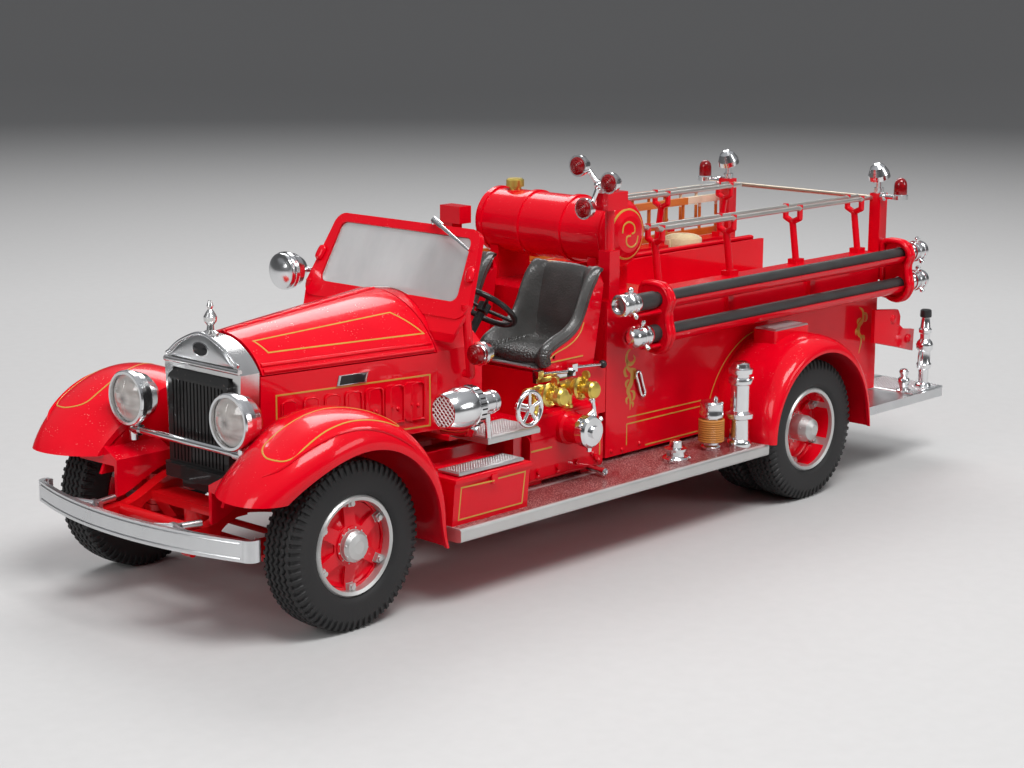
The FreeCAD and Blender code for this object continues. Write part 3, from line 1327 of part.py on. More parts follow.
def cab_step():
    """Left step plate on its stringer beside the cowl."""
    x0 = COWL_REAR_X - STEP_BACK
    x1 = HOOD_REAR_X
    y0 = COWL_HALF + SEAT_GAP
    plate = box(x0, x1, y0, y0 + STEP_REACH, STEP_TOP - SHEET, STEP_TOP)
    leg_y = CAB_HALF + SEAT_GAP
    leg = box(x0 + 1.0, x0 + 4.0, leg_y, leg_y + 3.0, BOARD_TOP, STEP_TOP - 0.5)
    return fused([plate, leg])


# Fenders

def fender_wire(frame, height, inset, out_y, in_y, drop, fall):
    """One crowned section. The frame turns (offset, y) into a point; fall lowers the inner edge."""
    top = height - inset
    y_out = out_y - inset
    y_in = in_y + inset
    span = y_out - y_in
    points = [(drop, y_out), (top * 0.42, y_out - span * 0.015), (top * 0.80, y_out - span * 0.12),
              (top, y_out - span * 0.38), (top * (0.93 - fall * 0.3), y_in + span * 0.30),
              (top * (0.62 - fall), y_in)]
    curve = Part.BSplineCurve()
    curve.interpolate([frame(o, y) for o, y in points])
    start = frame(drop, y_out)
    end = frame(top * (0.62 - fall), y_in)
    corner = frame(drop, y_in)
    return Part.Wire([curve.toShape(), Part.makeLine(end, corner), Part.makeLine(corner, start)])


def fender_solid(stations, inset, out_y, in_y, nose_fall=0.0):
    """Loft through the stations: (origin x, origin z, angle, crown height, tuck of the outer edge)."""
    wires = []
    for x, z, angle, height, tuck in stations:
        c = math.cos(math.radians(angle))
        s = math.sin(math.radians(angle))

        def frame(offset, y, x=x, z=z, c=c, s=s):
            return V(x + offset * c, y, z + offset * s)

        drop = 0.0 if inset == 0 else -1.5
        fall = nose_fall * max(0.0, math.cos(math.radians(angle)))
        wires.append(fender_wire(frame, height, inset, out_y - tuck, in_y, drop, fall))
    return loft(wires)


def front_stations():
    """Lip points and crown heights round the front arch, from the nose to the tail."""
    stations = []
    for angle in (24, 45, 68, 90, 112, 134, 157, 180):
        reach = ARCH_R
        if angle < 90:
            reach += NOSE_FLARE * ((90 - angle) / 66.0) ** 2
        rear = max(0, angle - 90) / 90.0
        height = FENDER_CROWN * (1 - 0.58 * rear ** 1.2)
        if angle < 90:
            height = FENDER_CROWN - 1.6 * ((90 - angle) / 66.0)
        tuck = NOSE_TUCK * (max(0, 78 - angle) / 54.0) ** 2
        a = math.radians(angle)
        stations.append((FRONT_AXLE_X + reach * math.cos(a), TYRE_R + reach * math.sin(a), angle, height, tuck))
    stations.append((FRONT_AXLE_X - ARCH_R - TAIL_SWEEP, FENDER_FOOT_Z, 180, TAIL_CROWN, 0.0))
    return stations


def front_fender():
    """Left front fender: deep crown, inner apron, frame shelf and the valance at the nose."""
    stations = front_stations()
    outer = fender_solid(stations, 0.0, FENDER_OUT_Y, FENDER_IN_Y, NOSE_FALL)
    inner = fender_solid(stations, FENDER_WALL, FENDER_OUT_Y, FENDER_IN_Y, NOSE_FALL)
    crown = outer.cut(inner)
    crown = crown.cut(box(FRONT_AXLE_X, FRONT_AXLE_X + 60, 0, 60, 0, NOSE_Z))
    apron_low = RAIL_TOP
    apron = box(FRONT_AXLE_X - ARCH_R - 1.0, FRONT_AXLE_X + ARCH_R, FENDER_IN_Y, FENDER_IN_Y + FENDER_WALL,
                apron_low, TYRE_R + ARCH_R + 2.0)
    arch = Part.makeCylinder(ARCH_R + 1.0, 60, V(FRONT_AXLE_X, 0, TYRE_R), V(0, 1, 0))
    apron = apron.common(arch)
    edge = RAIL_IN_Y + RAIL_W + 0.5
    shelf_end = SHELL_FRONT_X - SHELL_DEPTH + 3.0
    shelf = box(FRONT_AXLE_X - ARCH_R + 3.0, shelf_end, RAIL_IN_Y + 0.6,
                FENDER_IN_Y + FENDER_WALL, apron_low, apron_low + FENDER_WALL)
    nose_x = FRONT_AXLE_X + VALANCE_REACH
    roof_z = NOSE_Z - 0.4
    skirt = [(nose_x, roof_z), (shelf_end - 1.0, roof_z)]
    for k in range(HORN_STEPS + 1):
        x = shelf_end - 1.0 + (nose_x - shelf_end + 1.0) * k / HORN_STEPS
        skirt.append((x, horn_top(x) + VALANCE_LIFT))
    side = plate_y(skirt, edge, edge + FENDER_WALL)
    roof = plate_x([(edge, roof_z - FENDER_WALL), (FENDER_IN_Y + FENDER_WALL, roof_z + 2.6 - FENDER_WALL),
                    (FENDER_IN_Y + FENDER_WALL, roof_z + 2.6), (edge, roof_z)], shelf_end - 1.0, nose_x)
    web = plate_x([(edge, NOSE_Z - 2.0), (FENDER_IN_Y + 9.5, NOSE_Z - 2.2), (FENDER_IN_Y + 9.5, NOSE_Z + 1.5),
                   (FENDER_IN_Y, NOSE_Z + 2.2), (edge, roof_z)], nose_x - FENDER_WALL, nose_x)
    return fused([crown, apron, shelf, side, roof, web])


def rear_stations():
    """Lip points and crown heights round the rear arch."""
    cx = REAR_AXLE_X + REAR_ARCH_SHIFT
    edge = 2.2
    stations = [(cx + REAR_ARCH_R, BOARD_TOP, 0, edge, 0.0)]
    for angle in (12, 40, 66, 90, 114, 140, 165):
        a = math.radians(angle)
        swell = math.sin(a)
        stations.append((cx + REAR_ARCH_R * math.cos(a), TYRE_R + REAR_ARCH_R * math.sin(a), angle,
                         edge + (REAR_CROWN - edge) * swell, 0.0))
    stations.append((cx - REAR_ARCH_R - 0.9, TYRE_R - 2.5, 184, edge, 0.0))
    return stations


def rear_fender():
    """Left rear fender on the body side, with the step plate on its crown."""
    stations = rear_stations()
    outer = fender_solid(stations, 0.0, REAR_FENDER_OUT_Y, CAB_HALF - 2.0)
    inner = fender_solid(stations, FENDER_WALL, REAR_FENDER_OUT_Y, CAB_HALF - 4.0)
    crown = outer.cut(inner)
    x = REAR_AXLE_X + REAR_ARCH_SHIFT + TREAD_SHIFT
    top = TYRE_R + REAR_ARCH_R + REAR_CROWN
    y0 = CAB_HALF + 3.0
    pad = box(x - TREAD_L / 2, x + TREAD_L / 2, y0, y0 + TREAD_W, top - 4.0, top + 1.4)
    pad = softened(pad, 0.8, lambda e: along(e, V(0, 0, 1)))
    pad = pad.cut(inner)
    return fused([crown, pad]).cut(box(BODY_REAR_X - 80, CAB_REAR_X + 80, 0, CAB_HALF, 0, 2 * BODY_TOP))


# Rear body

ARCH_X = REAR_AXLE_X + REAR_ARCH_SHIFT
HOUSING_IN_Y = REAR_INNER_TYRE_Y - TYRE_W / 2 - 1.0 - SHEET


def body_side():
    """Left side panel with its wheel arch, inward top rim, wheel housing and foot on the rail."""
    t = SHEET
    half = CAB_HALF
    panel = box(BODY_REAR_X, CAB_REAR_X, half - t, half, BODY_BOTTOM, BODY_TOP)
    rim = box(BODY_REAR_X, BED_FRONT_X - FIT_GAP, half - BED_RIM, half - t + 0.1, BODY_TOP - t, BODY_TOP)
    arch = Part.makeCylinder(REAR_ARCH_R, half, V(ARCH_X, half / 2, TYRE_R), V(0, 1, 0))
    drum = Part.makeCylinder(REAR_ARCH_R + t, half - 0.2 - HOUSING_IN_Y, V(ARCH_X, HOUSING_IN_Y, TYRE_R),
                             V(0, 1, 0))
    hollow = Part.makeCylinder(REAR_ARCH_R, half - HOUSING_IN_Y, V(ARCH_X, HOUSING_IN_Y + t, TYRE_R),
                               V(0, 1, 0))
    drum = drum.cut(hollow).common(box(BODY_REAR_X, CAB_REAR_X, 0, half, RAIL_TOP + 2.0,
                                       BED_FLOOR - t - FIT_GAP))
    return fused([panel, rim]).cut(arch).fuse(drum).removeSplitter()


def front_compartment():
    """Cross box under the tank: seat back wall, deck and bulkhead."""
    t = SHEET
    half = CAB_HALF - t - FIT_GAP
    back = BED_FRONT_X
    front = CAB_REAR_X
    wall = box(front - t, front, -half, half, RAIL_TOP + FIT_GAP, BODY_TOP)
    deck = box(back, front, -half, half, BODY_TOP - t, BODY_TOP)
    bulkhead = box(back, back + t, -half, half, RAIL_TOP + FIT_GAP, BODY_TOP)
    return fused([wall, deck, bulkhead])


def rear_body():
    """Body panels: left side, right side and the front compartment."""
    left = body_side()
    return Part.makeCompound([left, mirrored(left), front_compartment()])


def bed_floor():
    """Floor of the hose bed with the locker partition, the rear wall and the cross feet on the rails."""
    t = SHEET
    half = CAB_HALF - t - FIT_GAP
    back = BODY_REAR_X
    front = BED_FRONT_X - FIT_GAP
    floor = box(back, front, -half, half, BED_FLOOR - t, BED_FLOOR)
    partition = box(back, front, LOCKER_Y - t, LOCKER_Y, BED_FLOOR - t, BODY_TOP)
    rear = box(back, back + t, -half, half, BODY_BOTTOM, TAILGATE_TOP)
    locker_end = box(back, back + t, -half, LOCKER_Y, BED_FLOOR, BODY_TOP - t - FIT_GAP)
    notch = RAIL_IN_Y + RAIL_W + SEAT_GAP
    rear = rear.cut(box(back - 1, back + t + 1, -notch, notch, BODY_BOTTOM - 1, RAIL_TOP))
    solids = [floor, partition, rear, locker_end]
    for x in (front - 6.0, back + 12.0):
        for side in (-1, 1):
            y0 = side * RAIL_IN_Y
            y1 = side * (RAIL_IN_Y + RAIL_W)
            solids.append(box(x - 2, x + 2, min(y0, y1), max(y0, y1), RAIL_TOP, BED_FLOOR - t + 0.1))
    return fused(solids)


def booster_tank():
    """Cross-mounted water tank with domed heads, band ribs and saddles."""
    r = TANK_R
    half = TANK_HALF
    profile = [(0, -half - TANK_DOME), (r * 0.55, -half - TANK_DOME * 0.82), (r * 0.88, -half - TANK_DOME * 0.35),
               (r, -half), (r, half), (r * 0.88, half + TANK_DOME * 0.35), (r * 0.55, half + TANK_DOME * 0.82),
               (0, half + TANK_DOME)]
    drum = turned_y(profile, (TANK_X, TANK_Z))
    solids = [drum]
    for y in (-half + 1.5, -half / 3, half / 3, half - 1.5):
        solids.append(turned_y([(r - 0.5, y - 0.9), (r + TANK_BAND, y - 0.7), (r + TANK_BAND, y + 0.7), (r - 0.5, y + 0.9)],
                               (TANK_X, TANK_Z)))
    for y in (-half + 5.0, half - 5.0):
        solids.append(box(TANK_X - 6.5, TANK_X + 6.5, y - 1.5, y + 1.5, BODY_TOP, TANK_Z - r * 0.72))
    return fused(solids)


def tank_cap():
    """Filler neck and knurled cap on the tank."""
    z = TANK_Z + TANK_R
    r = TANK_CAP_R
    neck = turned_z([(0, z - 0.2), (r * 0.7, z - 0.2), (r * 0.7, z + 0.7), (r, z + 0.7), (r, z + 2.5),
                     (r * 0.8, z + 2.9), (0, z + 2.9)], (TANK_X, TANK_CAP_Y))
    half = TANK_HALF + TANK_DOME
    return neck.cut(Part.makeCylinder(TANK_R + 0.02, 2 * half, V(TANK_X, -half, TANK_Z), V(0, 1, 0)))


# Hoses

def suction_hoses():
    """Two hard suction hoses with a lugged coupling at each end."""
    solids = []
    r = COUPLING_R
    for z, shift in ((UPPER_HOSE_Z, HOSE_STAGGER), (LOWER_HOSE_Z, 0.0)):
        x1 = HOSE_FRONT_X + shift
        x0 = HOSE_REAR_X
        parts = [rod((x0, HOSE_Y, z), (x1, HOSE_Y, z), HOSE_R)]
        for x, way in ((x1, 1), (x0, -1)):
            tip = COUPLING_L
            profile = [(0, x - way * 0.5), (r * 0.78, x - way * 0.5), (r * 0.78, x + way * tip * 0.35),
                       (r, x + way * tip * 0.42), (r, x + way * tip * 0.84), (r * 0.86, x + way * tip * 0.88),
                       (r * 0.86, x + way * tip), (0, x + way * tip)]
            parts.append(turned_x(profile, (HOSE_Y, z)))
            for k in range(3):
                a = math.radians(90 + 120 * k)
                lug_x = x + way * tip * 0.62
                parts.append(rod((lug_x, HOSE_Y + 0.7 * r * math.cos(a), z + 0.7 * r * math.sin(a)),
                                 (lug_x, HOSE_Y + 1.32 * r * math.cos(a), z + 1.32 * r * math.sin(a)), 0.55))
        solids.append(fused(parts))
    return Part.makeCompound(solids)


def hose_troughs():
    """Two open channels under the hoses, with shaped end plates and brackets to the body side."""
    solids = []
    r = HOSE_R + 0.15
    x0 = HOSE_REAR_X + 1.0
    x1 = HOSE_FRONT_X - 1.0
    low = LOWER_HOSE_Z - r - TROUGH_T
    for z in (UPPER_HOSE_Z, LOWER_HOSE_Z):
        outer = rod((x0, HOSE_Y, z), (x1, HOSE_Y, z), r + TROUGH_T)
        inner = rod((x0 - 1, HOSE_Y, z), (x1 + 1, HOSE_Y, z), r)
        above = box(x0 - 1, x1 + 1, HOSE_Y - 8, HOSE_Y + 8, z - 0.4, z + 8)
        solids.append(outer.cut(inner).cut(above))
    for x in ((x0 * 2 + x1) / 3, (x0 + x1 * 2) / 3):
        for z in (UPPER_HOSE_Z, LOWER_HOSE_Z):
            arm = box(x - 1.2, x + 1.2, CAB_HALF, HOSE_Y, z - r - TROUGH_T, z - 1.0)
            arm = arm.cut(rod((x0, HOSE_Y, z), (x1, HOSE_Y, z), r))
            solids.append(arm)
        solids.append(box(x - 1.2, x + 1.2, CAB_HALF, CAB_HALF + 1.2, low, UPPER_HOSE_Z - 3.0))
    y0 = CAB_HALF
    y1 = HOSE_Y + 4.6
    outline = [(y0, low - 1.8), (HOSE_Y - 1.0, low - 2.6), (y1 - 1.4, low), (y1, LOWER_HOSE_Z),
               (y1 - 1.2, LOWER_HOSE_Z + 3.6), (y1 - 1.2, UPPER_HOSE_Z - 3.6), (y1, UPPER_HOSE_Z),
               (y1 - 1.4, UPPER_HOSE_Z + 3.0), (HOSE_Y - 2.0, UPPER_HOSE_Z + 4.2), (y0, UPPER_HOSE_Z + 2.0)]
    for x in (x0, x1 - TROUGH_PLATE_T):
        plate = plate_x(outline, x, x + TROUGH_PLATE_T)
        for z in (UPPER_HOSE_Z, LOWER_HOSE_Z):
            plate = plate.cut(rod((x - 1, HOSE_Y, z), (x + 3, HOSE_Y, z), r))
        solids.append(plate)
    return fused(solids)


# Rails, posts and lamps

def stanchion(x, side, mid):
    """Forked stanchion: foot, stem and a U that holds the two rods."""
    base_y = CAB_HALF - RIM_FOOT
    fork = HANDRAIL_Z - 4.2
    reach = RAIL_PITCH / 2
    solids = [box(x - 2.0, x + 2.0, side * base_y - 1.5, side * base_y + 1.5, BODY_TOP, BODY_TOP + 1.4)]
    solids.append(rod((x, side * base_y, BODY_TOP + 0.7), (x, side * mid, fork), 1.0))
    for way in (-1, 1):
        elbow = (x, side * mid + way * reach, fork + 1.2)
        solids.append(rod((x, side * mid, fork), elbow, 0.85))
        solids.append(rod(elbow, (x, side * mid + way * reach, HANDRAIL_Z + 0.9), 0.85))
        solids.append(ball(elbow, 0.85))
    solids.append(ball((x, side * mid, fork), 1.05))
    return fused(solids)


def hand_rails():
    """Twin rods on forked stanchions each side and the rod across the rear."""
    sides = []
    mid = (RAIL_OUTER_Y + RAIL_INNER_Y) / 2
    for side in (-1, 1):
        solids = []
        for y in (RAIL_OUTER_Y, RAIL_INNER_Y):
            solids.append(rod((HANDRAIL_REAR_X, side * y, HANDRAIL_Z), (HANDRAIL_FRONT_X, side * y, HANDRAIL_Z),
                              RAIL_ROD_R))
        first = HANDRAIL_FRONT_X - 2.2
        last = BODY_REAR_X + 5.0
        for k in range(STANCHIONS):
            solids.append(stanchion(first + (last - first) * k / (STANCHIONS - 1), side, mid))
        sides.append(fused(solids))
    return Part.makeCompound(sides)


def rear_posts():
    """Square posts against the body's rear face with the cross rod between them."""
    solids = []
    for side in (-1, 1):
        y = side * REAR_POST_Y
        solids.append(box(REAR_POST_X - REAR_POST_HALF, REAR_POST_X + REAR_POST_HALF,
                          y - REAR_POST_HALF, y + REAR_POST_HALF, REAR_POST_FOOT, REAR_POST_TOP))
    z = REAR_POST_TOP - 1.6
    solids.append(rod((REAR_POST_X, -REAR_POST_Y, z), (REAR_POST_X, REAR_POST_Y, z), RAIL_ROD_R))
    return fused(solids)


def ladders():
    """Two wooden ladders stood on edge outside the right rails, and their hangers."""
    solids = []
    for k, y in enumerate((-LADDER_Y, -LADDER_Y - LADDER_PITCH)):
        parts = []
        x0 = LADDER_REAR_X + LADDER_STAGGER * k
        x1 = LADDER_FRONT_X
        low = LADDER_LOW_Z + LADDER_STEP * k
        for z in (low, low + LADDER_SPAN):
            parts.append(box(x0, x1, y - LADDER_RAIL_W / 2, y + LADDER_RAIL_W / 2,
                             z - LADDER_RAIL_H / 2, z + LADDER_RAIL_H / 2))
        for n in range(RUNGS):
            x = x0 + (n + 0.5) * (x1 - x0) / RUNGS
            parts.append(rod((x, y, low), (x, y, low + LADDER_SPAN), RUNG_R))
        solids.append(fused(parts))
    return Part.makeCompound(solids)


def ladder_hangers():
    """Stepped brackets that carry both ladders on the right side of the body."""
    solids = []
    wall = -CAB_HALF
    t = HANGER_T
    half_rail = LADDER_RAIL_H / 2
    split = -LADDER_Y - LADDER_PITCH / 2
    far = -LADDER_Y - LADDER_PITCH - LADDER_RAIL_W / 2
    near_z = LADDER_LOW_Z - half_rail
    far_z = near_z + LADDER_STEP
    for x in (LADDER_FRONT_X - 14.0, LADDER_REAR_X + 24.0):
        outline = [(wall, near_z), (split, near_z), (split, far_z), (far - 0.1, far_z), (far - 0.1, far_z + 3.0),
                   (far - t, far_z + 3.0), (far - t, far_z - t), (split - t, near_z - t), (wall - t, near_z - t),
                   (wall - t, near_z - 12.0), (wall, near_z - 12.0)]
        solids.append(plate_x(outline, x - HANGER_W / 2, x + HANGER_W / 2))
    return Part.makeCompound(solids)


def lamp_post():
    """Left front post with its sleeve and lamp head, and the short block on the right."""
    x = LAMP_POST_X
    y = LAMP_POST_Y
    z = LAMP_HEAD_Z
    half = LAMP_POST_HALF
    left = [box(x - 2.0, x + 2.0, y - half, y + half, BODY_TOP, BODY_TOP + LAMP_SLEEVE_H),
            rod((x, y, BODY_TOP + LAMP_SLEEVE_H - 1.0), (x, y, z + 0.5), POST_R),
            box(x - 5.0, x + LAMP_HEAD_REACH, y - half, y + half, z, z + LAMP_HEAD_H)]
    top = BODY_TOP + SHORT_POST_H
    right = [box(x - 2.0, x + 2.0, -y - 1.5, -y + 2.5, BODY_TOP, top - 4.0),
             box(x - 2.0, x + 2.6, -y - 1.6, -y + 6.0, top - 4.8, top)]
    return Part.makeCompound([fused(left), fused(right)])


def posts():
    """Rear posts with their cross rod, and the two front posts."""
    return Part.makeCompound([rear_posts(), lamp_post()])


def warning_lamps():
    """Three round lamps on a three-armed bracket on the left post head."""
    y = LAMP_POST_Y
    z = LAMP_HEAD_Z + LAMP_HEAD_H + 2.2
    x = LAMP_POST_X + LAMP_HEAD_REACH - 1.2
    r = WARNING_R
    face = x + 6.2
    parts = [box(x - 0.9, x + 2.6, y - 1.3, y + 1.3, z - 2.1, z + 1.3), ball((x + 2.6, y, z), 1.2)]
    for angle in (131, 11, 251):
        a = math.radians(angle)
        cy = y + WARNING_RING * math.cos(a)
        cz = z + WARNING_RING * math.sin(a)
        parts.append(turned_x([(0, face - 3.8), (r * 0.5, face - 3.6), (r * 0.9, face - 2.0), (r, face - 0.6),
                               (r, face), (r * 0.8, face), (r * 0.8, face - 0.4), (r * 0.3, face + 0.3),
                               (0, face + 0.4)], (cy, cz)))
        parts.append(rod((x + 2.4, y, z), (face - 3.0, cy, cz), 0.65))
    return fused(parts)


def deck_lamps():
    """Bowl lamps and beacons on the rear posts."""
    solids = []
    x = REAR_POST_X
    z0 = REAR_POST_TOP
    for side in (-1, 1):
        y = side * REAR_POST_Y
        bowl = turned_z([(0, z0 + 4.6), (2.6, z0 + 4.2), (3.3, z0 + 4.6), (3.2, z0 + 6.0), (2.2, z0 + 8.2),
                         (0.9, z0 + 9.2), (0, z0 + 9.3)], (x, y))
        bowl.rotate(V(x, y, z0 + 5), V(0, 1, 0), 22)
        stem = rod((x, y, z0), (x, y, z0 + 5.4), 0.9)
        collar = rod((x, y, z0), (x, y, z0 + 1.6), 1.5)
        out = y + side * BEACON_REACH
        seat = z0 - 0.8
        arm = rod((x + 1.2, side * (REAR_POST_Y + REAR_POST_HALF), seat), (x + 1.2, out, seat), 0.7)
        foot = rod((x + 1.2, side * (REAR_POST_Y + REAR_POST_HALF), seat),
                   (x + 1.2, side * (REAR_POST_Y + REAR_POST_HALF + 1.0), seat), 1.3)
        beacon = turned_z([(0, seat - 0.4), (2.3, seat - 0.4), (2.3, seat + 0.8), (1.9, seat + 1.2),
                           (1.8, seat + 4.4), (1.2, seat + 5.4), (0, seat + 5.8)], (x + 1.2, out))
        solids.append(fused([bowl, stem, collar]))
        solids.append(fused([arm, foot, beacon]))
    return Part.makeCompound(solids)


# Tail step and fittings

def tail_step():
    """Rear step that wraps the body's corners, with a round-cornered edge and two arms to the rails."""
    front = REAR_AXLE_X + REAR_ARCH_SHIFT - REAR_ARCH_R - 3.6
    z0 = TAIL_STEP_TOP - TAIL_STEP_T
    plate = box(STEP_REAR_X, front, -STEP_HALF, STEP_HALF, z0, TAIL_STEP_TOP)
    plate = softened(plate, 4.0, lambda e: along(e, V(0, 0, 1)) and e.CenterOfMass.x < STEP_REAR_X + 1)
    inside = CAB_HALF - 3.0
    plate = plate.cut(box(BODY_REAR_X - 1.0, front + 1.0, -inside, inside, z0 - 1, TAIL_STEP_TOP + 1))
    solids = [plate]
    for side in (-1, 1):
        y0 = side * RAIL_IN_Y
        y1 = side * (RAIL_IN_Y + RAIL_W)
        low, high = min(y0, y1), max(y0, y1)
        solids.append(box(BODY_REAR_X - 5.0, RAIL_REAR_X + 8.0, low, high, z0, TAIL_STEP_TOP))
        solids.append(box(RAIL_REAR_X, RAIL_REAR_X + 8.0, low, high, z0, RAIL_BOTTOM))
    return fused(solids)


def standing(profile, place, base):
    """Turned piece that stands on a step. Points are (radius, height above the base)."""
    return turned_z([(r, base + h) for r, h in profile], place)


def board_fittings():
    """Hose adapter, wound nozzle and play pipe that stand on the left running board."""
    y = BOARD_OUT_Y - FITTING_INSET
    adapter = standing([(0, 0), (3.6, 0), (3.6, 1.0), (2.2, 1.5), (2.2, 2.9), (2.9, 3.3), (2.9, 4.1), (2.0, 4.4),
                        (2.0, 5.6), (0, 5.6)], (BOARD_REAR_X + ADAPTER_SETBACK, y), BOARD_TOP)
    coil_place = (BOARD_REAR_X + COIL_SETBACK, y - 1.6)
    coil = standing([(0, 0), (3.3, 0), (3.3, 1.5), (2.6, 1.9), (2.6, 2.2), (3.1, 2.2), (3.1, 8.2), (2.6, 8.2),
                     (2.6, 8.9), (3.0, 9.2), (3.0, 13.4), (2.4, 13.8), (0, 13.8)], coil_place, BOARD_TOP)
    pipe_place = (BOARD_REAR_X + PLAY_PIPE_SETBACK, BOARD_OUT_Y - PLAY_PIPE_INSET)
    pipe = standing([(0, 0), (3.2, 0), (3.2, 1.8), (2.5, 2.2), (2.5, 8.8), (2.9, 9.2), (2.9, 10.4), (2.5, 10.8),
                     (2.5, 13.6), (2.9, 14.0), (2.9, 15.4), (2.0, 16.2), (2.5, 18.2), (2.5, 20.2), (2.1, 20.8),
                     (2.1, 23.0), (0, 23.4)], pipe_place, BOARD_TOP)
    return Part.makeCompound([adapter, coil, pipe])


def rear_fittings():
    """Extinguisher and small hose fitting that stand on the tail step."""
    left = standing([(0, 0), (2.8, 0), (2.8, 1.8), (2.2, 2.4), (2.4, 8.0), (2.1, 13.4), (2.7, 14.2), (2.7, 15.4),
                     (1.5, 17.6), (1.3, 21.4), (1.7, 21.8), (1.7, 24.2), (0, 24.4)],
                    (STEP_REAR_X + EXTINGUISHER_LEAD, STEP_HALF - EXTINGUISHER_INSET), TAIL_STEP_TOP)
    small = standing([(0, 0), (2.4, 0), (2.4, 1.0), (1.2, 1.8), (1.2, 4.4), (2.2, 4.8), (2.2, 6.8), (1.8, 7.2),
                      (0, 7.2)], (STEP_REAR_X + SMALL_FITTING_LEAD, STEP_HALF - SMALL_FITTING_INSET),
                     TAIL_STEP_TOP)
    return Part.makeCompound([left, small])


def siren():
    """Left siren: flared head with its mesh seat, ribbed motor and a foot on the cab step."""
    y = COWL_HALF + SIREN_SPREAD
    z = STEP_TOP + SIREN_LIFT
    x = HOOD_REAR_X + SIREN_LEAD
    r = SIREN_R
    m = SIREN_MOTOR_R
    head = turned_x([(0, x - 10.0), (m, x - 10.0), (m, x - 8.8), (r * 0.74, x - 7.8), (r * 0.92, x - 6.2),
                     (r * 0.92, x - 4.6), (r * 0.82, x - 3.4), (r * 0.86, x - 1.4), (r, x - 1.0), (r, x),
                     (r * 0.84, x), (r * 0.84, x - 0.6), (r * 0.45, x - 0.2), (0, x)], (y, z))
    motor_end = x - 10.0 - SIREN_RIBS * 1.7
    core = rod((x - 9.5, y, z), (motor_end, y, z), m)
    tail = taper((motor_end, y, z), (motor_end - 2.0, y, z), m, m * 0.6)
    solids = [head, core, tail]
    for k in range(SIREN_RIBS):
        xr = x - 10.6 - 1.7 * k
        solids.append(rod((xr, y, z), (xr - 0.8, y, z), m + 0.4))
    foot_x = HOOD_REAR_X - 2.0
    solids.append(box(foot_x - 1.1, foot_x + 1.0, y - 1.2, y + 1.2, STEP_TOP, z))
    return fused(solids)


def cowl_lamps():
    """Spot lamp beside the right screen edge and the small marker lamp on the left of the cowl."""
    r = SPOT_R
    z = SCREEN_FOOT_Z + SPOT_LIFT
    share = SPOT_LIFT / SCREEN_H
    plane = SCREEN_FOOT_X - SCREEN_RAKE * share
    edge = SCREEN_FOOT_HALF - SCREEN_TAPER * share
    x = plane + 5.0
    y = -SCREEN_FOOT_HALF - 3.4
    spot = turned_x([(0, x - 5.8), (r * 0.3, x - 5.6), (r * 0.62, x - 4.4), (r * 0.86, x - 2.4), (r * 0.96, x - 0.4),
                     (r, x), (r, x + 1.0), (r * 0.86, x + 1.2), (r * 0.4, x + 1.9), (0, x + 2.1)], (y, z))
    arm = rod((plane, y, z), (plane, -edge - SEAT_GAP, z), 0.8)
    m = MARKER_R
    lx = SCREEN_FOOT_X - 2.0
    ly = COWL_HALF + 2.2 + STAY_R + SEAT_GAP + m + 0.1
    marker = turned_x([(0, lx - 3.6), (m * 0.4, lx - 3.5), (m * 0.8, lx - 2.0), (m * 0.94, lx - 0.4), (m, lx - 0.2),
                       (m, lx + 0.7), (m * 0.82, lx + 0.8), (m * 0.4, lx + 1.5), (0, lx + 1.7)], (ly, MARKER_Z))
    bracket = rod((lx - 1.6, ly, MARKER_Z), (lx - 1.6, ly - m - 0.1, MARKER_Z), 0.7)
    return Part.makeCompound([spot.fuse(arm), marker.fuse(bracket)])


# Pump

def pump_housing():
    """Cross-mounted pump castings: case, manifold block, feet and the intake neck on each side."""
    y_in = RAIL_IN_Y + RAIL_W + 2.0
    low = BOARD_TOP + 1.0
    x0 = PUMP_X - PUMP_HALF
    x1 = PUMP_X + PUMP_HALF
    case = box(x0, x1, y_in, PUMP_Y, low, low + PUMP_H)
    case = softened(case, 1.6, lambda e: along(e, V(1, 0, 0)) and e.CenterOfMass.y > PUMP_Y - 0.1)
    manifold_top = MANIFOLD_Z - MANIFOLD_R - 2.4
    manifold = box(x0 + 2.0, x1 - 0.5, CAB_HALF + SEAT_GAP, PUMP_Y, low + PUMP_H - 1.0, manifold_top)
    manifold = softened(manifold, 1.0, lambda e: along(e, V(1, 0, 0)) and e.CenterOfMass.z > manifold_top - 0.1)
    neck = turned_y([(0, PUMP_Y - 2.0), (INTAKE_R + 0.6, PUMP_Y - 2.0), (INTAKE_R + 0.6, PUMP_Y + 1.2),
                     (INTAKE_R, PUMP_Y + 1.8), (INTAKE_R, PUMP_Y + INTAKE_L), (0, PUMP_Y + INTAKE_L)],
                    (PUMP_X, INTAKE_Z))
    solids = [case, manifold, neck]
    for x in (x0 + 4.0, x1 - 4.0):
        solids.append(box(x - 2.5, x + 2.5, y_in + 6.0, PUMP_Y - 2.0, BOARD_TOP, low + 1.0))
    for k in range(4):
        x = x0 + 3.0 + k * (2 * PUMP_HALF - 6.0) / 3
        solids.append(rod((x, PUMP_Y - 0.5, low + 3.0), (x, PUMP_Y + 0.7, low + 3.0), 0.7))
    return pair(fused(solids))


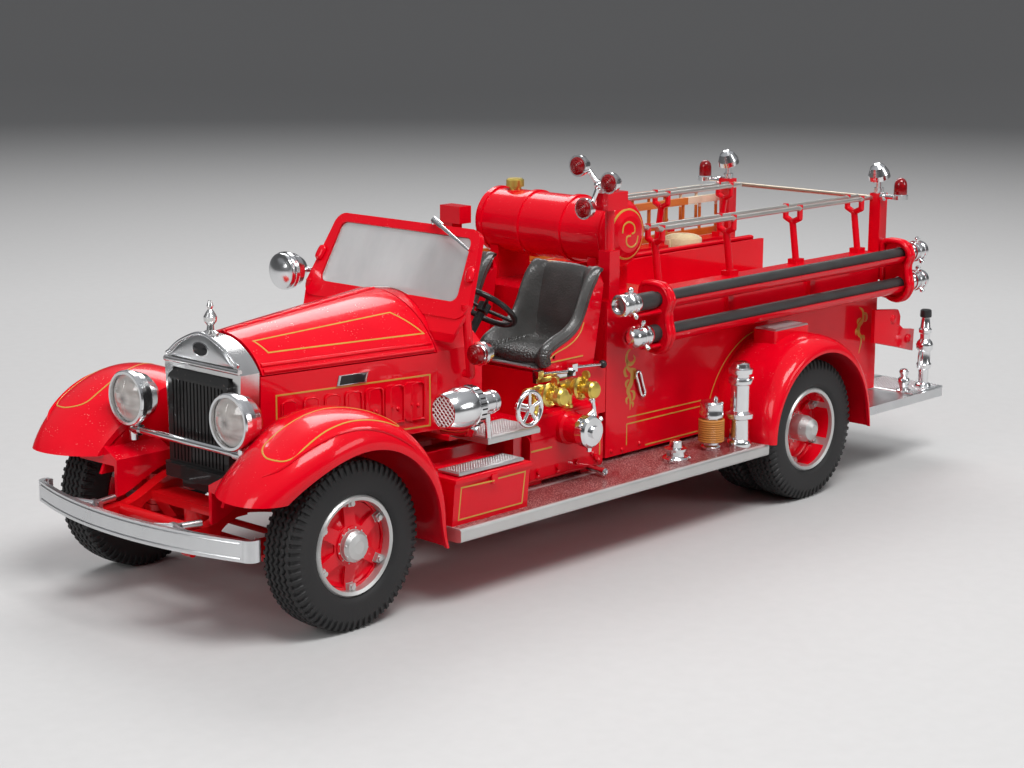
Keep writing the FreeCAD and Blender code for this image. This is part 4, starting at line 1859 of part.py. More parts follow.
def valve(x, y, z):
    """Discharge valve: barrel, bolted flange, neck with a winged spindle, and a round cap."""
    r = VALVE_R
    rim = VALVE_FLANGE_R
    end = y + VALVE_REACH
    profile = [(0, y - 4.6), (r * 0.72, y - 4.6), (r * 0.72, y - 3.6), (r * 0.95, y - 3.3), (r * 0.95, y - 1.9),
               (r * 0.72, y - 1.6), (r * 0.72, y - 0.5), (rim - 0.4, y - 0.5), (rim, y - 0.1),
               (rim, y + 0.4), (rim - 0.5, y + 0.8), (r * 0.66, y + 1.0), (r * 0.6, y + 2.4),
               (r * 0.92, y + 2.8), (r, y + 3.1), (r, end - 0.6), (r * 0.8, end),
               (r * 0.3, end + 0.2), (0, end + 0.2)]
    parts = [turned_y(profile, (x, z))]
    for k in range(VALVE_BOLTS):
        a = math.radians(360.0 / VALVE_BOLTS * (k + 0.5))
        bolt_x = x + (rim - 0.95) * math.cos(a)
        bolt_z = z + (rim - 0.95) * math.sin(a)
        parts.append(rod((bolt_x, y, bolt_z), (bolt_x, y + 1.3, bolt_z), 0.35))
    spindle_y = y + 1.7
    parts.append(rod((x, spindle_y, z), (x, spindle_y, z + WING_REACH), 0.45))
    parts.append(rod((x - 0.35, spindle_y, z + WING_REACH), (x + 0.35, spindle_y, z + WING_REACH), WING_R))
    return fused(parts)


def pump_valves():
    """Two brass discharge valves, each on its own riser and cross tube on the left manifold."""
    solids = []
    y = PUMP_Y + VALVE_LEAD
    z = MANIFOLD_Z + VALVE_LIFT
    tube_y = PUMP_Y - 2.0
    tube_r = MANIFOLD_R * 0.85
    reach = VALVE_R + 1.4
    seat = MANIFOLD_Z - MANIFOLD_R - 2.4
    for x in (PUMP_X - VALVE_BACK, PUMP_X - VALVE_BACK + VALVE_SPACING):
        riser = turned_z([(0, seat), (MANIFOLD_R, seat), (MANIFOLD_R, seat + 0.7), (tube_r, seat + 1.0),
                          (tube_r, z), (0, z)], (x, tube_y))
        cross = rod((x - reach, tube_y, z), (x + reach, tube_y, z), tube_r)
        solids.append(fused([valve(x, y, z), cross, riser]))
    return Part.makeCompound(solids)


def lever(x, y, z, slope):
    """Control lever with a ball knob, on its pivot block over the valves."""
    run = V(-math.cos(math.radians(slope)), 0, -math.sin(math.radians(slope)))
    tip = V(x, y, z) + run * LEVER_L
    pivot = box(x - 0.9, x + 1.1, y - 1.0, y + 1.0, z - 1.0, z + 1.0)
    return fused([pivot, rod((x, y, z), tuple(tip), LEVER_R), ball(tuple(tip), LEVER_KNOB_R)])


def handwheel():
    """Five-spoke handwheel on its spindle, braced back to the manifold."""
    y = PUMP_Y + 6.3
    x = PUMP_X + HANDWHEEL_LEAD
    z = MANIFOLD_Z + 0.5
    r = HANDWHEEL_R
    rim = Part.makeTorus(r, HANDWHEEL_RIM_R, V(x, y, z), V(0, 1, 0))
    hub = rod((x, y - 4.0, z), (x, y + 0.8, z), 1.0)
    parts = [rim, hub]
    for k in range(HANDWHEEL_SPOKES):
        a = math.radians(90 + 360.0 / HANDWHEEL_SPOKES * k)
        parts.append(rod((x, y, z), (x + r * math.cos(a), y, z + r * math.sin(a)), 0.45))
    foot = (PUMP_X + PUMP_HALF - 1.4, PUMP_Y - 1.0, MANIFOLD_Z - MANIFOLD_R - 2.4 + 0.9)
    parts.append(rod((x, y - 3.2, z), foot, 0.8))
    parts.append(ball((x, y - 3.2, z), 1.0))
    return fused(parts)


def intake_cap():
    """Lugged cap on the intake neck."""
    y = PUMP_Y + INTAKE_L
    r = INTAKE_CAP_R
    parts = [turned_y([(0, y), (r, y), (r, y + 2.2), (r * 0.86, y + 2.8), (r * 0.4, y + 3.0), (r * 0.4, y + 3.9),
                       (0, y + 3.9)], (PUMP_X, INTAKE_Z))]
    for k in range(3):
        a = math.radians(30 + 120 * k)
        parts.append(rod((PUMP_X + (r - 0.6) * math.cos(a), y + 1.3, INTAKE_Z + (r - 0.6) * math.sin(a)),
                         (PUMP_X + (r + 1.0) * math.cos(a), y + 1.3, INTAKE_Z + (r + 1.0) * math.sin(a)), 0.75))
    return fused(parts)


def pump_controls():
    """Handwheel, intake cap and the two levers on the left side."""
    z = RISER_TOP + LEVER_LIFT
    y = CAB_HALF + SEAT_GAP + 1.0
    levers = [lever(RISER_FRONT_X + 4.0, y, z, 4.0), lever(RISER_FRONT_X - 9.0, y, z, 4.0)]
    rail = box(RISER_FRONT_X - 10.0, RISER_FRONT_X + 5.0, y - 1.0, y + 0.2, z - 2.2, z - 0.9)
    return Part.makeCompound([handwheel(), intake_cap(), fused(levers + [rail])])


def hose_roll(x, y, z):
    """One rolled hose lying flat."""
    r = ROLL_R
    profile = [(1.2, z), (r - 0.6, z), (r, z + 0.6), (r, z + ROLL_H - 0.6), (r - 0.6, z + ROLL_H),
               (1.2, z + ROLL_H)]
    return turned_z(profile, (x, y))


def hose_load():
    """Rolled hoses stacked in the side locker."""
    y = (LOCKER_Y - SHEET - CAB_HALF + BED_RIM) / 2
    stacks = []
    for k in range(ROLL_STACKS):
        x = BED_FRONT_X - SEAT_GAP - ROLL_R - k * (2 * ROLL_R + 0.6)
        count = ROLL_COUNT - (1 if k else 0)
        stacks.append(fused([hose_roll(x, y, BED_FLOOR + n * ROLL_H) for n in range(count)]))
    return Part.makeCompound(stacks)


def build():
    """Every sub-part by node name."""
    parts = {
        "chassis_frame": chassis_frame(),
        "leaf_springs": leaf_springs(),
        "front_axle": front_axle(),
        "rear_axle": rear_axle(),
        "driveline": drive_and_exhaust(),
        "engine_block": engine_block(),
        "bumper": bumper(),
        "radiator_shell": radiator_shell(),
        "grille": grille(),
        "headlamps": headlamps(),
        "headlamp_lenses": headlamp_lenses(),
        "hood_sides": hood_panels(),
        "cowl": cowl(),
        "windscreen_frame": windscreen_frame(),
        "windscreen_glass": windscreen_glass(),
        "steering_column": steering_column(),
        "steering_wheel": steering_wheel(),
        "cab_floor": cab_floor(),
        "seat_shells": pair(seat_shell()),
        "seat_cushions": pair(seat_cushion()),
        "running_boards": pair(fused([running_board(), splash_apron(), cab_step()])),
        "toolboxes": pair(toolbox()),
        "rear_body": rear_body(),
        "bed_floor": bed_floor(),
        "booster_tank": booster_tank(),
        "tank_cap": tank_cap(),
        "suction_hoses": suction_hoses(),
        "hose_troughs": hose_troughs(),
        "hand_rails": hand_rails(),
        "posts": posts(),
        "ladders": ladders(),
        "ladder_hangers": ladder_hangers(),
        "warning_lamps": warning_lamps(),
        "deck_lamps": deck_lamps(),
        "tail_step": tail_step(),
        "board_fittings": board_fittings(),
        "rear_fittings": rear_fittings(),
        "siren": siren(),
        "cowl_lamps": cowl_lamps(),
        "pump_housings": pump_housing(),
        "pump_valves": pump_valves(),
        "pump_controls": pump_controls(),
        "hose_load": hose_load(),
        "tie_rod": tie_rod(),
    }
    fender = front_fender()
    rear = rear_fender()
    lid = hood_lid()
    front = front_wheel()
    back = rear_wheel()
    arm = knuckle()
    front_tyre = tyre(FRONT_TYRE_Y, FRONT_AXLE_X)
    rear_tyres = Part.makeCompound([tyre(REAR_TYRE_Y, REAR_AXLE_X), tyre(REAR_INNER_TYRE_Y, REAR_AXLE_X)])
    sided = {
        "fender_front": fender, "fender_rear": rear, "hood": lid, "wheel_front": front, "wheel_rear": back,
        "knuckle": arm, "tyre_front": front_tyre, "tyres_rear": rear_tyres,
    }
    for name, shape in sided.items():
        parts[name + "_left"] = shape
        parts[name + "_right"] = mirrored(shape)
    return parts


os.makedirs("parts", exist_ok=True)
for name, shape in build().items():
    shape.exportStep("parts/" + name + ".step")
    print(name, len(shape.Solids), round(shape.Volume, 1), shape.isValid())
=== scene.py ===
"""Scale model fire engine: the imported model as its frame, with its finishes and its finer pieces."""
import math
import bpy
import bmesh
import numpy as np
from mathutils import Matrix, Vector


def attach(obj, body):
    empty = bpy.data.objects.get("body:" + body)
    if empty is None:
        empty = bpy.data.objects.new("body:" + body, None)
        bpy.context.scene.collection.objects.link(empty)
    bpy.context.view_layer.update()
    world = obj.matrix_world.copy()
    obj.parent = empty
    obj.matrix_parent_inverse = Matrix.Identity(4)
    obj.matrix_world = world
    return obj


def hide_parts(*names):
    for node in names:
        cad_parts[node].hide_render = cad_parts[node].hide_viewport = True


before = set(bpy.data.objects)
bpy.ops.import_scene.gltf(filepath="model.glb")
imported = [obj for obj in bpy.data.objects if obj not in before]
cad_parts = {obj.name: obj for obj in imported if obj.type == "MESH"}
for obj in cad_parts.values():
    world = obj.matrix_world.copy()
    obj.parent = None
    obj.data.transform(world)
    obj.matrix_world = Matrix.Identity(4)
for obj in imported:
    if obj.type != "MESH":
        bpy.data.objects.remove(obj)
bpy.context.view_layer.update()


# Studio. A pale bowl of smooth card carries the model, its colour fading to dark grey away from the
# middle as a painted falloff of light. Soft boxes hang over it, and the camera stands in front of
# the left headlamp, a little above the hood, with a long lens.
MM = 0.001
CAMERA_AT = (0.423617, 0.384280, 0.154570)
yaw, dip, roll = np.radians([-137.233, 11.762, 0.307])
ahead = np.array([math.cos(yaw) * math.cos(dip), math.sin(yaw) * math.cos(dip), -math.sin(dip)])
level = np.cross(ahead, [0.0, 0.0, 1.0])
level = level / np.linalg.norm(level)
upright = np.cross(level, ahead)
right = level * math.cos(roll) + upright * math.sin(roll)
above = upright * math.cos(roll) - level * math.sin(roll)
lens = bpy.data.cameras.new("photo_camera")
lens.lens, lens.sensor_width = 75.03, 36.0
lens.clip_start, lens.clip_end = 0.02, 20.0
camera = bpy.data.objects.new("photo_camera", lens)
turn = Matrix(np.stack([right, above, -ahead], axis=1).tolist()).to_4x4()
camera.matrix_world = Matrix.Translation(CAMERA_AT) @ turn
bpy.context.scene.collection.objects.link(camera)
bpy.context.scene.camera = camera


def node(tree, kind, ins=None, **settings):
    """Adds one shader node. Settings are its options, ins its inputs: values or other nodes' outputs."""
    made = tree.nodes.new("ShaderNode" + kind)
    for key, value in settings.items():
        setattr(made, key, value)
    for key, value in (ins or {}).items():
        if isinstance(value, bpy.types.NodeSocket):
            tree.links.new(value, made.inputs[key])
        else:
            made.inputs[key].default_value = value
    return made


def calc(tree, op, *values, clamp=False):
    """One arithmetic step in a shader."""
    return node(tree, "Math", dict(enumerate(values)), operation=op, use_clamp=clamp).outputs[0]


def ramp(tree, value, gain, start, clamp=False):
    """A value times a gain plus a start."""
    return calc(tree, "MULTIPLY_ADD", value, gain, start, clamp=clamp)


def here(tree):
    """The point on the piece, in metres in the row frame at rest."""
    return node(tree, "TexCoord").outputs["Object"]


def noise(tree, scale, detail, stretch=None, **ins):
    """Cloud noise at the point on the piece. A stretch is how fast it changes along x, y and z."""
    spot = node(tree, "Mapping", {0: here(tree), 3: stretch}).outputs[0] if stretch else here(tree)
    return node(tree, "TexNoise", {"Vector": spot, "Scale": scale, "Detail": detail, **ins}).outputs["Fac"]


def blend_colour(tree, share, low, high):
    """Mixes two colours by a share. Each is red, green and blue, or another node's output."""
    low, high = ((*colour, 1.0) if isinstance(colour, tuple) else colour for colour in (low, high))
    return node(tree, "Mix", {0: share, 6: low, 7: high}, data_type="RGBA").outputs[2]


def new_finish(name, constants):
    """A material whose shader's own sockets hold the given constants. Returns it and its tree."""
    finish = bpy.data.materials.new(name)
    finish.use_nodes = True
    for key, value in constants.items():
        finish.node_tree.nodes["Principled BSDF"].inputs[key].default_value = value
    return finish, finish.node_tree


def feed(tree, **parts):
    """Links what varies over the surface to the shader: its base colour, rough, metal or normal."""
    sockets = {"base": "Base Color", "rough": "Roughness", "metal": "Metallic", "normal": "Normal"}
    for part, value in parts.items():
        tree.links.new(value, tree.nodes["Principled BSDF"].inputs[sockets[part]])


card, card_tree = new_finish("studio_card", {"Roughness": 0.62})
card_away = node(card_tree, "VectorMath", {0: here(card_tree)}, operation="LENGTH").outputs["Value"]
# Painted falloff of light: the card is pale near the model and painted darker grey further out.
card_painted_falloff = ramp(card_tree, card_away, 1.1, -0.45, clamp=True)
card_tint = blend_colour(card_tree, noise(card_tree, 240.0, 3.0), (0.50, 0.495, 0.49), (0.54, 0.535, 0.53))
feed(card_tree, base=blend_colour(card_tree, card_painted_falloff, card_tint, (0.20, 0.20, 0.20)))


def at(x, y, z):
    """Points from their x, y and z, each a number or an array that is spread over the others."""
    return np.stack(np.broadcast_arrays(x, y, z), axis=-1).astype(float)


def circle(steps):
    """Angles of one turn in even steps, without the last, which is the first again."""
    return np.linspace(0.0, 2 * math.pi, steps, endpoint=False)


def skin(grid, wrap_u=False, wrap_v=False):
    """Joins a grid of points (rows, columns, 3) into four-sided faces, wrapping where it closes."""
    rows, cols = grid.shape[:2]
    index = np.arange(rows * cols).reshape(rows, cols)
    if wrap_u:
        index = np.concatenate([index, index[:1]], axis=0)
    if wrap_v:
        index = np.concatenate([index, index[:, :1]], axis=1)
    quads = np.stack([index[:-1, :-1], index[1:, :-1], index[1:, 1:], index[:-1, 1:]], axis=-1)
    return grid.reshape(-1, 3), quads.reshape(-1, 4)


def put(name, finish, part, body="chassis", smooth=True, outward=True):
    """Makes a mesh object from (points in millimetres, faces), closes its seams and rides it on a body."""
    points, faces = part
    mesh = bpy.data.meshes.new(name)
    mesh.from_pydata((points * MM).tolist(), [], faces.tolist())
    if outward:
        work = bmesh.new()
        work.from_mesh(mesh)
        bmesh.ops.remove_doubles(work, verts=work.verts, dist=2e-6)
        bmesh.ops.dissolve_degenerate(work, edges=work.edges, dist=1e-7)
        bmesh.ops.recalc_face_normals(work, faces=work.faces)
        work.to_mesh(mesh)
        work.free()
    if smooth:
        mesh.shade_smooth()
        mesh.set_sharp_from_angle(angle=math.radians(38))
    obj = bpy.data.objects.new(name, mesh)
    bpy.context.scene.collection.objects.link(obj)
    mesh.materials.append(finish)
    if body:
        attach(obj, body)
    return obj


FLAT_SHARE, FLAT_R, CURL_R = 0.6, 1300.0, 700.0
reach = np.linspace(0.0, 1.0, 60)
curl = np.clip((reach - FLAT_SHARE) / (1 - FLAT_SHARE), 0.0, 1.0) * math.pi / 2
bowl_r = np.minimum(reach / FLAT_SHARE, 1.0) * FLAT_R + CURL_R * np.sin(curl)
sweep = circle(96)[:, None]
bowl = at(bowl_r * np.cos(sweep), bowl_r * np.sin(sweep), CURL_R * (1 - np.cos(curl)))
put("studio_floor", card, skin(bowl, wrap_u=True), None, outward=False)
MODEL_MIDDLE = Vector((0.0, 0.0, 0.04))
for name, place, width, depth, power in (("key_light", (0.15, 0.45, 0.90), 0.55, 0.35, 8.2),
                                         ("front_light", (0.95, -0.05, 0.45), 0.40, 0.40, 2.6),
                                         ("back_light", (-0.55, -0.55, 0.75), 0.70, 0.40, 4.6),
                                         ("side_light", (-0.45, 0.95, 0.40), 0.40, 0.30, 1.8)):
    light = bpy.data.lights.new(name, "AREA")
    light.shape = "RECTANGLE"
    light.size, light.size_y, light.energy = width, depth, power
    lamp = bpy.data.objects.new(name, light)
    lamp.location = place
    lamp.rotation_euler = (MODEL_MIDDLE - Vector(place)).to_track_quat("-Z", "Y").to_euler()
    bpy.context.scene.collection.objects.link(lamp)
bpy.context.scene.view_settings.view_transform = "Standard"
bpy.context.scene.world = bpy.data.worlds.new("studio_air")
bpy.context.scene.world.use_nodes = True
sky = bpy.context.scene.world.node_tree
sky_height = node(sky, "SeparateXYZ", {0: node(sky, "TexCoord").outputs["Generated"]}).outputs[2]
sky_rise = ramp(sky, sky_height, 1.2, 0.08, clamp=True)
sky.links.new(blend_colour(sky, sky_rise, (0.10, 0.10, 0.105), (0.95, 0.96, 1.0)),
              sky.nodes["Background"].inputs["Color"])
sky.nodes["Background"].inputs["Strength"].default_value = 0.42


# Enamelled castings. Frame, fenders, hood, cowl, cab, body, tank and posts are zinc castings and
# mouldings sprayed with one thick coat of gloss red, with a faint ripple, handling smears and dust.

def bump(tree, strength, depth, height):
    """Normals of a relief that a height from 0 to 1 makes, depth metres deep."""
    return node(tree, "Bump", {"Strength": strength, "Distance": depth, "Height": height}).outputs[0]


def cells(tree, scale, **settings):
    """Distance to the middle of the nearest of many scattered cells."""
    return node(tree, "TexVoronoi", {"Vector": here(tree), "Scale": scale}, **settings).outputs["Distance"]


def effect(name, dial, start, **outs):
    """A node group with one input, the dial, and named outputs. Returns it, the dial and its output node."""
    group = bpy.data.node_groups.new(name, "ShaderNodeTree")
    made = group.interface.new_socket(name=dial, in_out="INPUT", socket_type="NodeSocketFloat")
    made.default_value = start
    for label, kind in outs.items():
        group.interface.new_socket(name=label, in_out="OUTPUT", socket_type="NodeSocket" + kind)
    return group, group.nodes.new("NodeGroupInput").outputs[dial], group.nodes.new("NodeGroupOutput")


# Coat effect: ripple noise tilts the surface, a wide noise smears its gloss, and fine grains of
# dust lie where the surface looks up.
coat, coat_ripple, coat_out = effect("sprayed_coat", "Ripple", 0.06, Smear="Float", Dust="Float", Normal="Vector")
dust_line = ramp(coat, noise(coat, 330.0, 2.0), 0.9, -0.40)
facing = node(coat, "SeparateXYZ", {0: node(coat, "NewGeometry").outputs["Normal"]}).outputs[2]
dust = calc(coat, "MULTIPLY", calc(coat, "LESS_THAN", cells(coat, 1500.0), dust_line),
            ramp(coat, facing, 1.4, -0.4, clamp=True))
coat.links.new(noise(coat, 70.0, 5.0, Roughness=0.6), coat_out.inputs["Smear"])
coat.links.new(dust, coat_out.inputs["Dust"])
coat.links.new(bump(coat, coat_ripple, 0.0004, noise(coat, 420.0, 2.0)), coat_out.inputs["Normal"])


def coated(name, constants, ripple_share=0.06):
    """A finish under the coat effect. Returns it, its tree and the effect's smear and dust."""
    finish, tree = new_finish(name, constants)
    used = node(tree, "Group", node_tree=coat)
    used.inputs["Ripple"].default_value = ripple_share
    feed(tree, normal=used.outputs["Normal"])
    return finish, tree, used.outputs["Smear"], used.outputs["Dust"]


def enamel(name, colour, deep, rough=0.2, ripple_share=0.06):
    """Gloss paint: deep and colour vary with the smear, dust lightens it, and a clear coat lies on top."""
    finish, tree, smear, dust = coated(
        name, {"Coat Weight": 0.38, "Coat Roughness": 0.035, "Specular IOR Level": 0.10}, ripple_share)
    base = blend_colour(tree, smear, deep, colour)
    gloss = ramp(tree, smear, 0.22, rough - 0.09)
    feed(tree, base=blend_colour(tree, calc(tree, "MULTIPLY", dust, 0.35), base, (0.75, 0.55, 0.5)),
         rough=ramp(tree, dust, 0.3, gloss))
    return finish


def dress(finish, *names):
    """Gives CAD nodes a finish through their material slots."""
    for name in names:
        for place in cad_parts[name].material_slots:
            place.material = finish


RED, DEEP_RED = (0.80, 0.001, 0.014), (0.62, 0.0005, 0.009)
red = enamel("red_enamel", RED, DEEP_RED)
frame_red = enamel("frame_red", (0.66, 0.004, 0.008), (0.50, 0.003, 0.006), rough=0.3, ripple_share=0.12)
dress(red, "hood_left", "hood_right", "hood_sides", "cowl", "windscreen_frame", "rear_body", "bed_floor",
      "booster_tank", "toolboxes", "fender_front_left", "fender_front_right", "fender_rear_left",
      "fender_rear_right", "hose_troughs", "ladder_hangers", "seat_shells", "cab_floor", "pump_housings")
dress(frame_red, "chassis_frame", "leaf_springs", "front_axle", "rear_axle", "driveline", "engine_block",
      "knuckle_left", "knuckle_right", "tie_rod")


# Plated brightwork. Bumper, shell, lamps, siren, couplings and fittings are vacuum plated plastic:
# mirror bright on curves, softer on flats, with hairline rubs.
plate_fx, rub_size, plate_out = effect("plating", "Size", 500.0, Tone="Float", Normal="Vector")
rubs = noise(plate_fx, rub_size, 3.0, (1.0, 1.0, 9.0))
plate_fx.links.new(noise(plate_fx, 160.0, 4.0), plate_out.inputs["Tone"])
plate_fx.links.new(bump(plate_fx, 0.03, 0.0002, rubs), plate_out.inputs["Normal"])


def plated(name, bright, dull, low, high):
    """Metal whose colour runs from dull to bright and whose roughness runs from low to high with the cloud."""
    finish, tree = new_finish(name, {"Metallic": 1.0})
    tone, normal = node(tree, "Group", node_tree=plate_fx).outputs
    feed(tree, base=blend_colour(tree, tone, dull, bright),
         rough=ramp(tree, tone, high - low, low), normal=normal)
    return finish


chrome = plated("chrome_plate", (0.88, 0.89, 0.90), (0.72, 0.73, 0.74), 0.09, 0.24)
satin = plated("satin_plate", (0.74, 0.75, 0.76), (0.60, 0.61, 0.62), 0.22, 0.38)
silver = plated("silver_paint", (0.66, 0.66, 0.65), (0.52, 0.52, 0.51), 0.34, 0.5)
brass = plated("brass_plate", (0.82, 0.64, 0.17), (0.66, 0.48, 0.09), 0.22, 0.42)
shell_plate = plated("shell_plate", (0.80, 0.80, 0.80), (0.62, 0.62, 0.61), 0.14, 0.30)
dress(satin, "bumper")
dress(shell_plate, "radiator_shell")
dress(chrome, "headlamps", "siren", "cowl_lamps", "warning_lamps", "deck_lamps",
      "rear_fittings", "board_fittings", "pump_controls")
dress(brass, "tank_cap", "pump_valves")


# Wheels. Each is a cast disc wheel: red centre with six windows, six silver lugs and nuts,
# and a silver painted rim, under a riveted silver hub cap.
FRONT_X, REAR_X, WHEEL_R = 106.0, -63.5, 20.0
LUG_STEP = math.radians(60.0)
LUG_HALF, LUG_START_R, RIM_START_R, CAP_R = 0.0011, 0.0090, 0.0101, 0.0038


def spot_axes(tree):
    """The x, y and z of the point on the piece, in metres."""
    return node(tree, "SeparateXYZ", {0: here(tree)}).outputs


def away_from(tree, a, b):
    """Distance from a line: the root of the sum of two squares."""
    return calc(tree, "SQRT", calc(tree, "MULTIPLY_ADD", a, a, calc(tree, "MULTIPLY", b, b)))


def wheel_finish(name, axle_x, flange):
    """Red enamel, with silver on the rim, the lugs and the hub cap, told apart by radius and angle."""
    finish, tree, smear, _ = coated(
        name, {"Coat Weight": 0.3, "Coat Roughness": 0.06, "Specular IOR Level": 0.3})
    x, y, z = spot_axes(tree)
    x, z = calc(tree, "SUBTRACT", x, axle_x * MM), calc(tree, "SUBTRACT", z, WHEEL_R * MM)
    radius = away_from(tree, x, z)
    sector = calc(tree, "DIVIDE", calc(tree, "ARCTAN2", z, x), LUG_STEP)
    across = calc(tree, "ABSOLUTE", calc(tree, "SUBTRACT", calc(tree, "FLOORED_MODULO", sector, 1.0), 0.5))
    across = calc(tree, "MULTIPLY", calc(tree, "MULTIPLY", across, LUG_STEP), radius)
    lug = calc(tree, "MULTIPLY", calc(tree, "LESS_THAN", across, LUG_HALF),
               calc(tree, "GREATER_THAN", radius, LUG_START_R))
    rim = calc(tree, "MULTIPLY", calc(tree, "GREATER_THAN", radius, RIM_START_R),
               calc(tree, "GREATER_THAN", calc(tree, "ABSOLUTE", y), flange * MM))
    bright = calc(tree, "MAXIMUM", calc(tree, "MAXIMUM", lug, rim), calc(tree, "LESS_THAN", radius, CAP_R))
    base = blend_colour(tree, bright, blend_colour(tree, smear, DEEP_RED, RED), (0.60, 0.60, 0.59))
    gloss = ramp(tree, smear, 0.2, 0.12)
    feed(tree, base=base, metal=calc(tree, "MULTIPLY", bright, 0.85),
         rough=ramp(tree, bright, 0.22, gloss))
    return finish


dress(wheel_finish("front_wheel_paint", FRONT_X, 40.5), "wheel_front_left", "wheel_front_right")
dress(wheel_finish("rear_wheel_paint", REAR_X, 47.0), "wheel_rear_left", "wheel_rear_right")


def unit(vectors):
    """Vectors divided by their lengths."""
    vectors = np.asarray(vectors, dtype=float)
    return vectors / np.linalg.norm(vectors, axis=-1, keepdims=True)


def ring_round(axis, sides):
    """Unit vectors of a circle round an axis, in even steps."""
    aside = unit(np.cross(axis, [0.31, 0.53, 0.79]))
    around = circle(sides)[:, None]
    return np.cos(around) * aside + np.sin(around) * np.cross(axis, aside)


def lathe(profile, origin, axis, sides=32):
    """Turned form: each (along, radius) pair becomes a circle of that radius round the axis."""
    profile, axis = np.array(profile, dtype=float), unit(axis)
    return skin(np.asarray(origin, dtype=float) + profile[:, :1, None] * axis
                + profile[:, 1:, None] * ring_round(axis, sides), wrap_v=True)


def dome(points, radius, axis, rise=0.6, sides=10, rings=4):
    """Low domes at many points: rings of a circle that shrink to a crown along the axis."""
    points, axis = np.asarray(points, dtype=float).reshape(-1, 3), unit(axis)
    lift = np.linspace(0.0, math.pi / 2, rings)[:, None, None]
    ring = radius * np.cos(lift) * ring_round(axis, sides) + radius * rise * np.sin(lift) * axis
    sunk = -axis * radius * 0.5
    one, faces = skin(np.concatenate([np.broadcast_to(sunk, (1, sides, 3)), ring[:1] + sunk, ring]), wrap_v=True)
    every = (points[:, None, :] + one[None, :, :]).reshape(-1, 3)
    return every, (faces + (np.arange(len(points)) * len(one))[:, None, None]).reshape(-1, 4)


def hoop(centre, radius, turn):
    """Points at the given angles of a circle whose axis runs along y."""
    return at(centre[0] + radius * np.cos(turn), centre[1], centre[2] + radius * np.sin(turn))


RIVET_R, STUD_R = 3.35, 4.15
rivet_turn = np.radians(np.arange(0, 360, 45) + 12.0)
stud_turn = np.radians(np.arange(0, 360, 30) + 15.0)
web = [(-2.6, 0), (-2.6, 10), (-1.5, 9.95), (-1.9, 9.2), (-2, 7.5), (-1.7, 6), (-1.1, 5), (-1, 0)]
for end, axle_x, face, cap_rise in (("front", FRONT_X, 41.5, 2.4), ("rear", REAR_X, 43.3, 6.4)):
    for side, sign in (("left", 1), ("right", -1)):
        body = "wheel_%s_%s" % (end, side)
        out = (0, sign, 0)
        rivets = hoop((axle_x, sign * (face + 0.6 * cap_rise + 0.02), WHEEL_R), RIVET_R, rivet_turn)
        studs = hoop((axle_x, sign * (face - 0.05), WHEEL_R), STUD_R, stud_turn)
        put(body + "_cap_rivets", silver, dome(rivets, 0.30, out, rise=0.8), body)
        put(body + "_hub_studs", silver, dome(studs, 0.24, out, rise=0.9), body)
        put(body + "_web", red, lathe(web, (axle_x, sign * face, WHEEL_R), out, 48), body)


# Tyres. Moulded rubber with four wavy grooves round the tread, blocks cut into each shoulder and a
# fine bead line by the rim. The profile is a soft box section carried round the axle, and the
# grooves are cut by lowering its radius where the distance to a triangle wave is small.
rubber, rubber_tree = new_finish("tyre_rubber", {"Specular IOR Level": 0.35})
bloom = noise(rubber_tree, 90.0, 5.0)
feed(rubber_tree, base=blend_colour(rubber_tree, bloom, (0.010, 0.010, 0.011), (0.026, 0.025, 0.025)),
     rough=ramp(rubber_tree, bloom, 0.25, 0.42),
     normal=bump(rubber_tree, 0.25, 0.0001, noise(rubber_tree, 2400.0, 2.0)))
TREAD_WAVES, TREAD_HALF, CROWN_DROP = 64, 4.1, 0.28
BLOCK_Y, BLOCK_R, SHOULDER_Y = 3.75, 17.4, 4.3
FINE, COARSE = (640, 52), (384, 36)
GROOVES, GROOVE_HALF, GROOVE_DEPTH, BLOCK_DEPTH = (-2.55, -0.85, 0.85, 2.55), 0.34, 0.62, 0.6
WALL = np.array([(4.55, 11.95), (4.75, 12.3), (5, 12.6), (5.15, 13.4), (5.2, 14.6), (5.2, 16), (5.15, 17.2),
                 (5.08, 18), (5, 18.5), (4.86, 19), (4.66, 19.4), (4.42, 19.68)])


def tyre(axle_x, middle, steps, fine):
    """Cross-section stations run bead, wall, shoulder, tread, shoulder, wall, bead. Each is carried round the
    axle; tread stations drop by a groove's depth near its wave, shoulder stations drop in every other block."""
    tread_y = np.linspace(TREAD_HALF, -TREAD_HALF, fine)
    tread_r = WHEEL_R - CROWN_DROP * (np.abs(tread_y) / TREAD_HALF) ** 2.6
    y = np.concatenate([WALL[:, 0], tread_y, -WALL[::-1, 0]])
    r = np.concatenate([WALL[:, 1], tread_r, WALL[::-1, 1]])
    around = circle(steps)
    wave = 2 * np.abs(2 * ((around / (2 * math.pi) * TREAD_WAVES) % 1.0) - 1) - 1
    depth = np.zeros((steps, len(y)))
    for groove in GROOVES:
        away = np.abs(y - groove - GROOVE_HALF * wave[:, None])
        depth = np.maximum(depth, GROOVE_DEPTH * np.clip((GROOVE_HALF - away) / 0.16, 0.0, 1.0))
    bar = np.clip(wave * 3.2 + 0.6, 0.0, 1.0)[:, None]
    edge = np.clip((np.abs(y) - BLOCK_Y) / 0.2, 0.0, 1.0) * np.clip((r - BLOCK_R) / 0.9, 0.0, 1.0)
    depth = np.maximum(depth, BLOCK_DEPTH * bar * edge)
    inward = np.clip((np.abs(y) - SHOULDER_Y) / 0.5, 0.0, 1.0)
    across = y - np.sign(y) * depth * 0.75 * inward
    grid = hoop((axle_x, middle + across, WHEEL_R), r - depth * (1 - 0.6 * inward), around[:, None])
    return skin(grid, wrap_u=True, wrap_v=True)


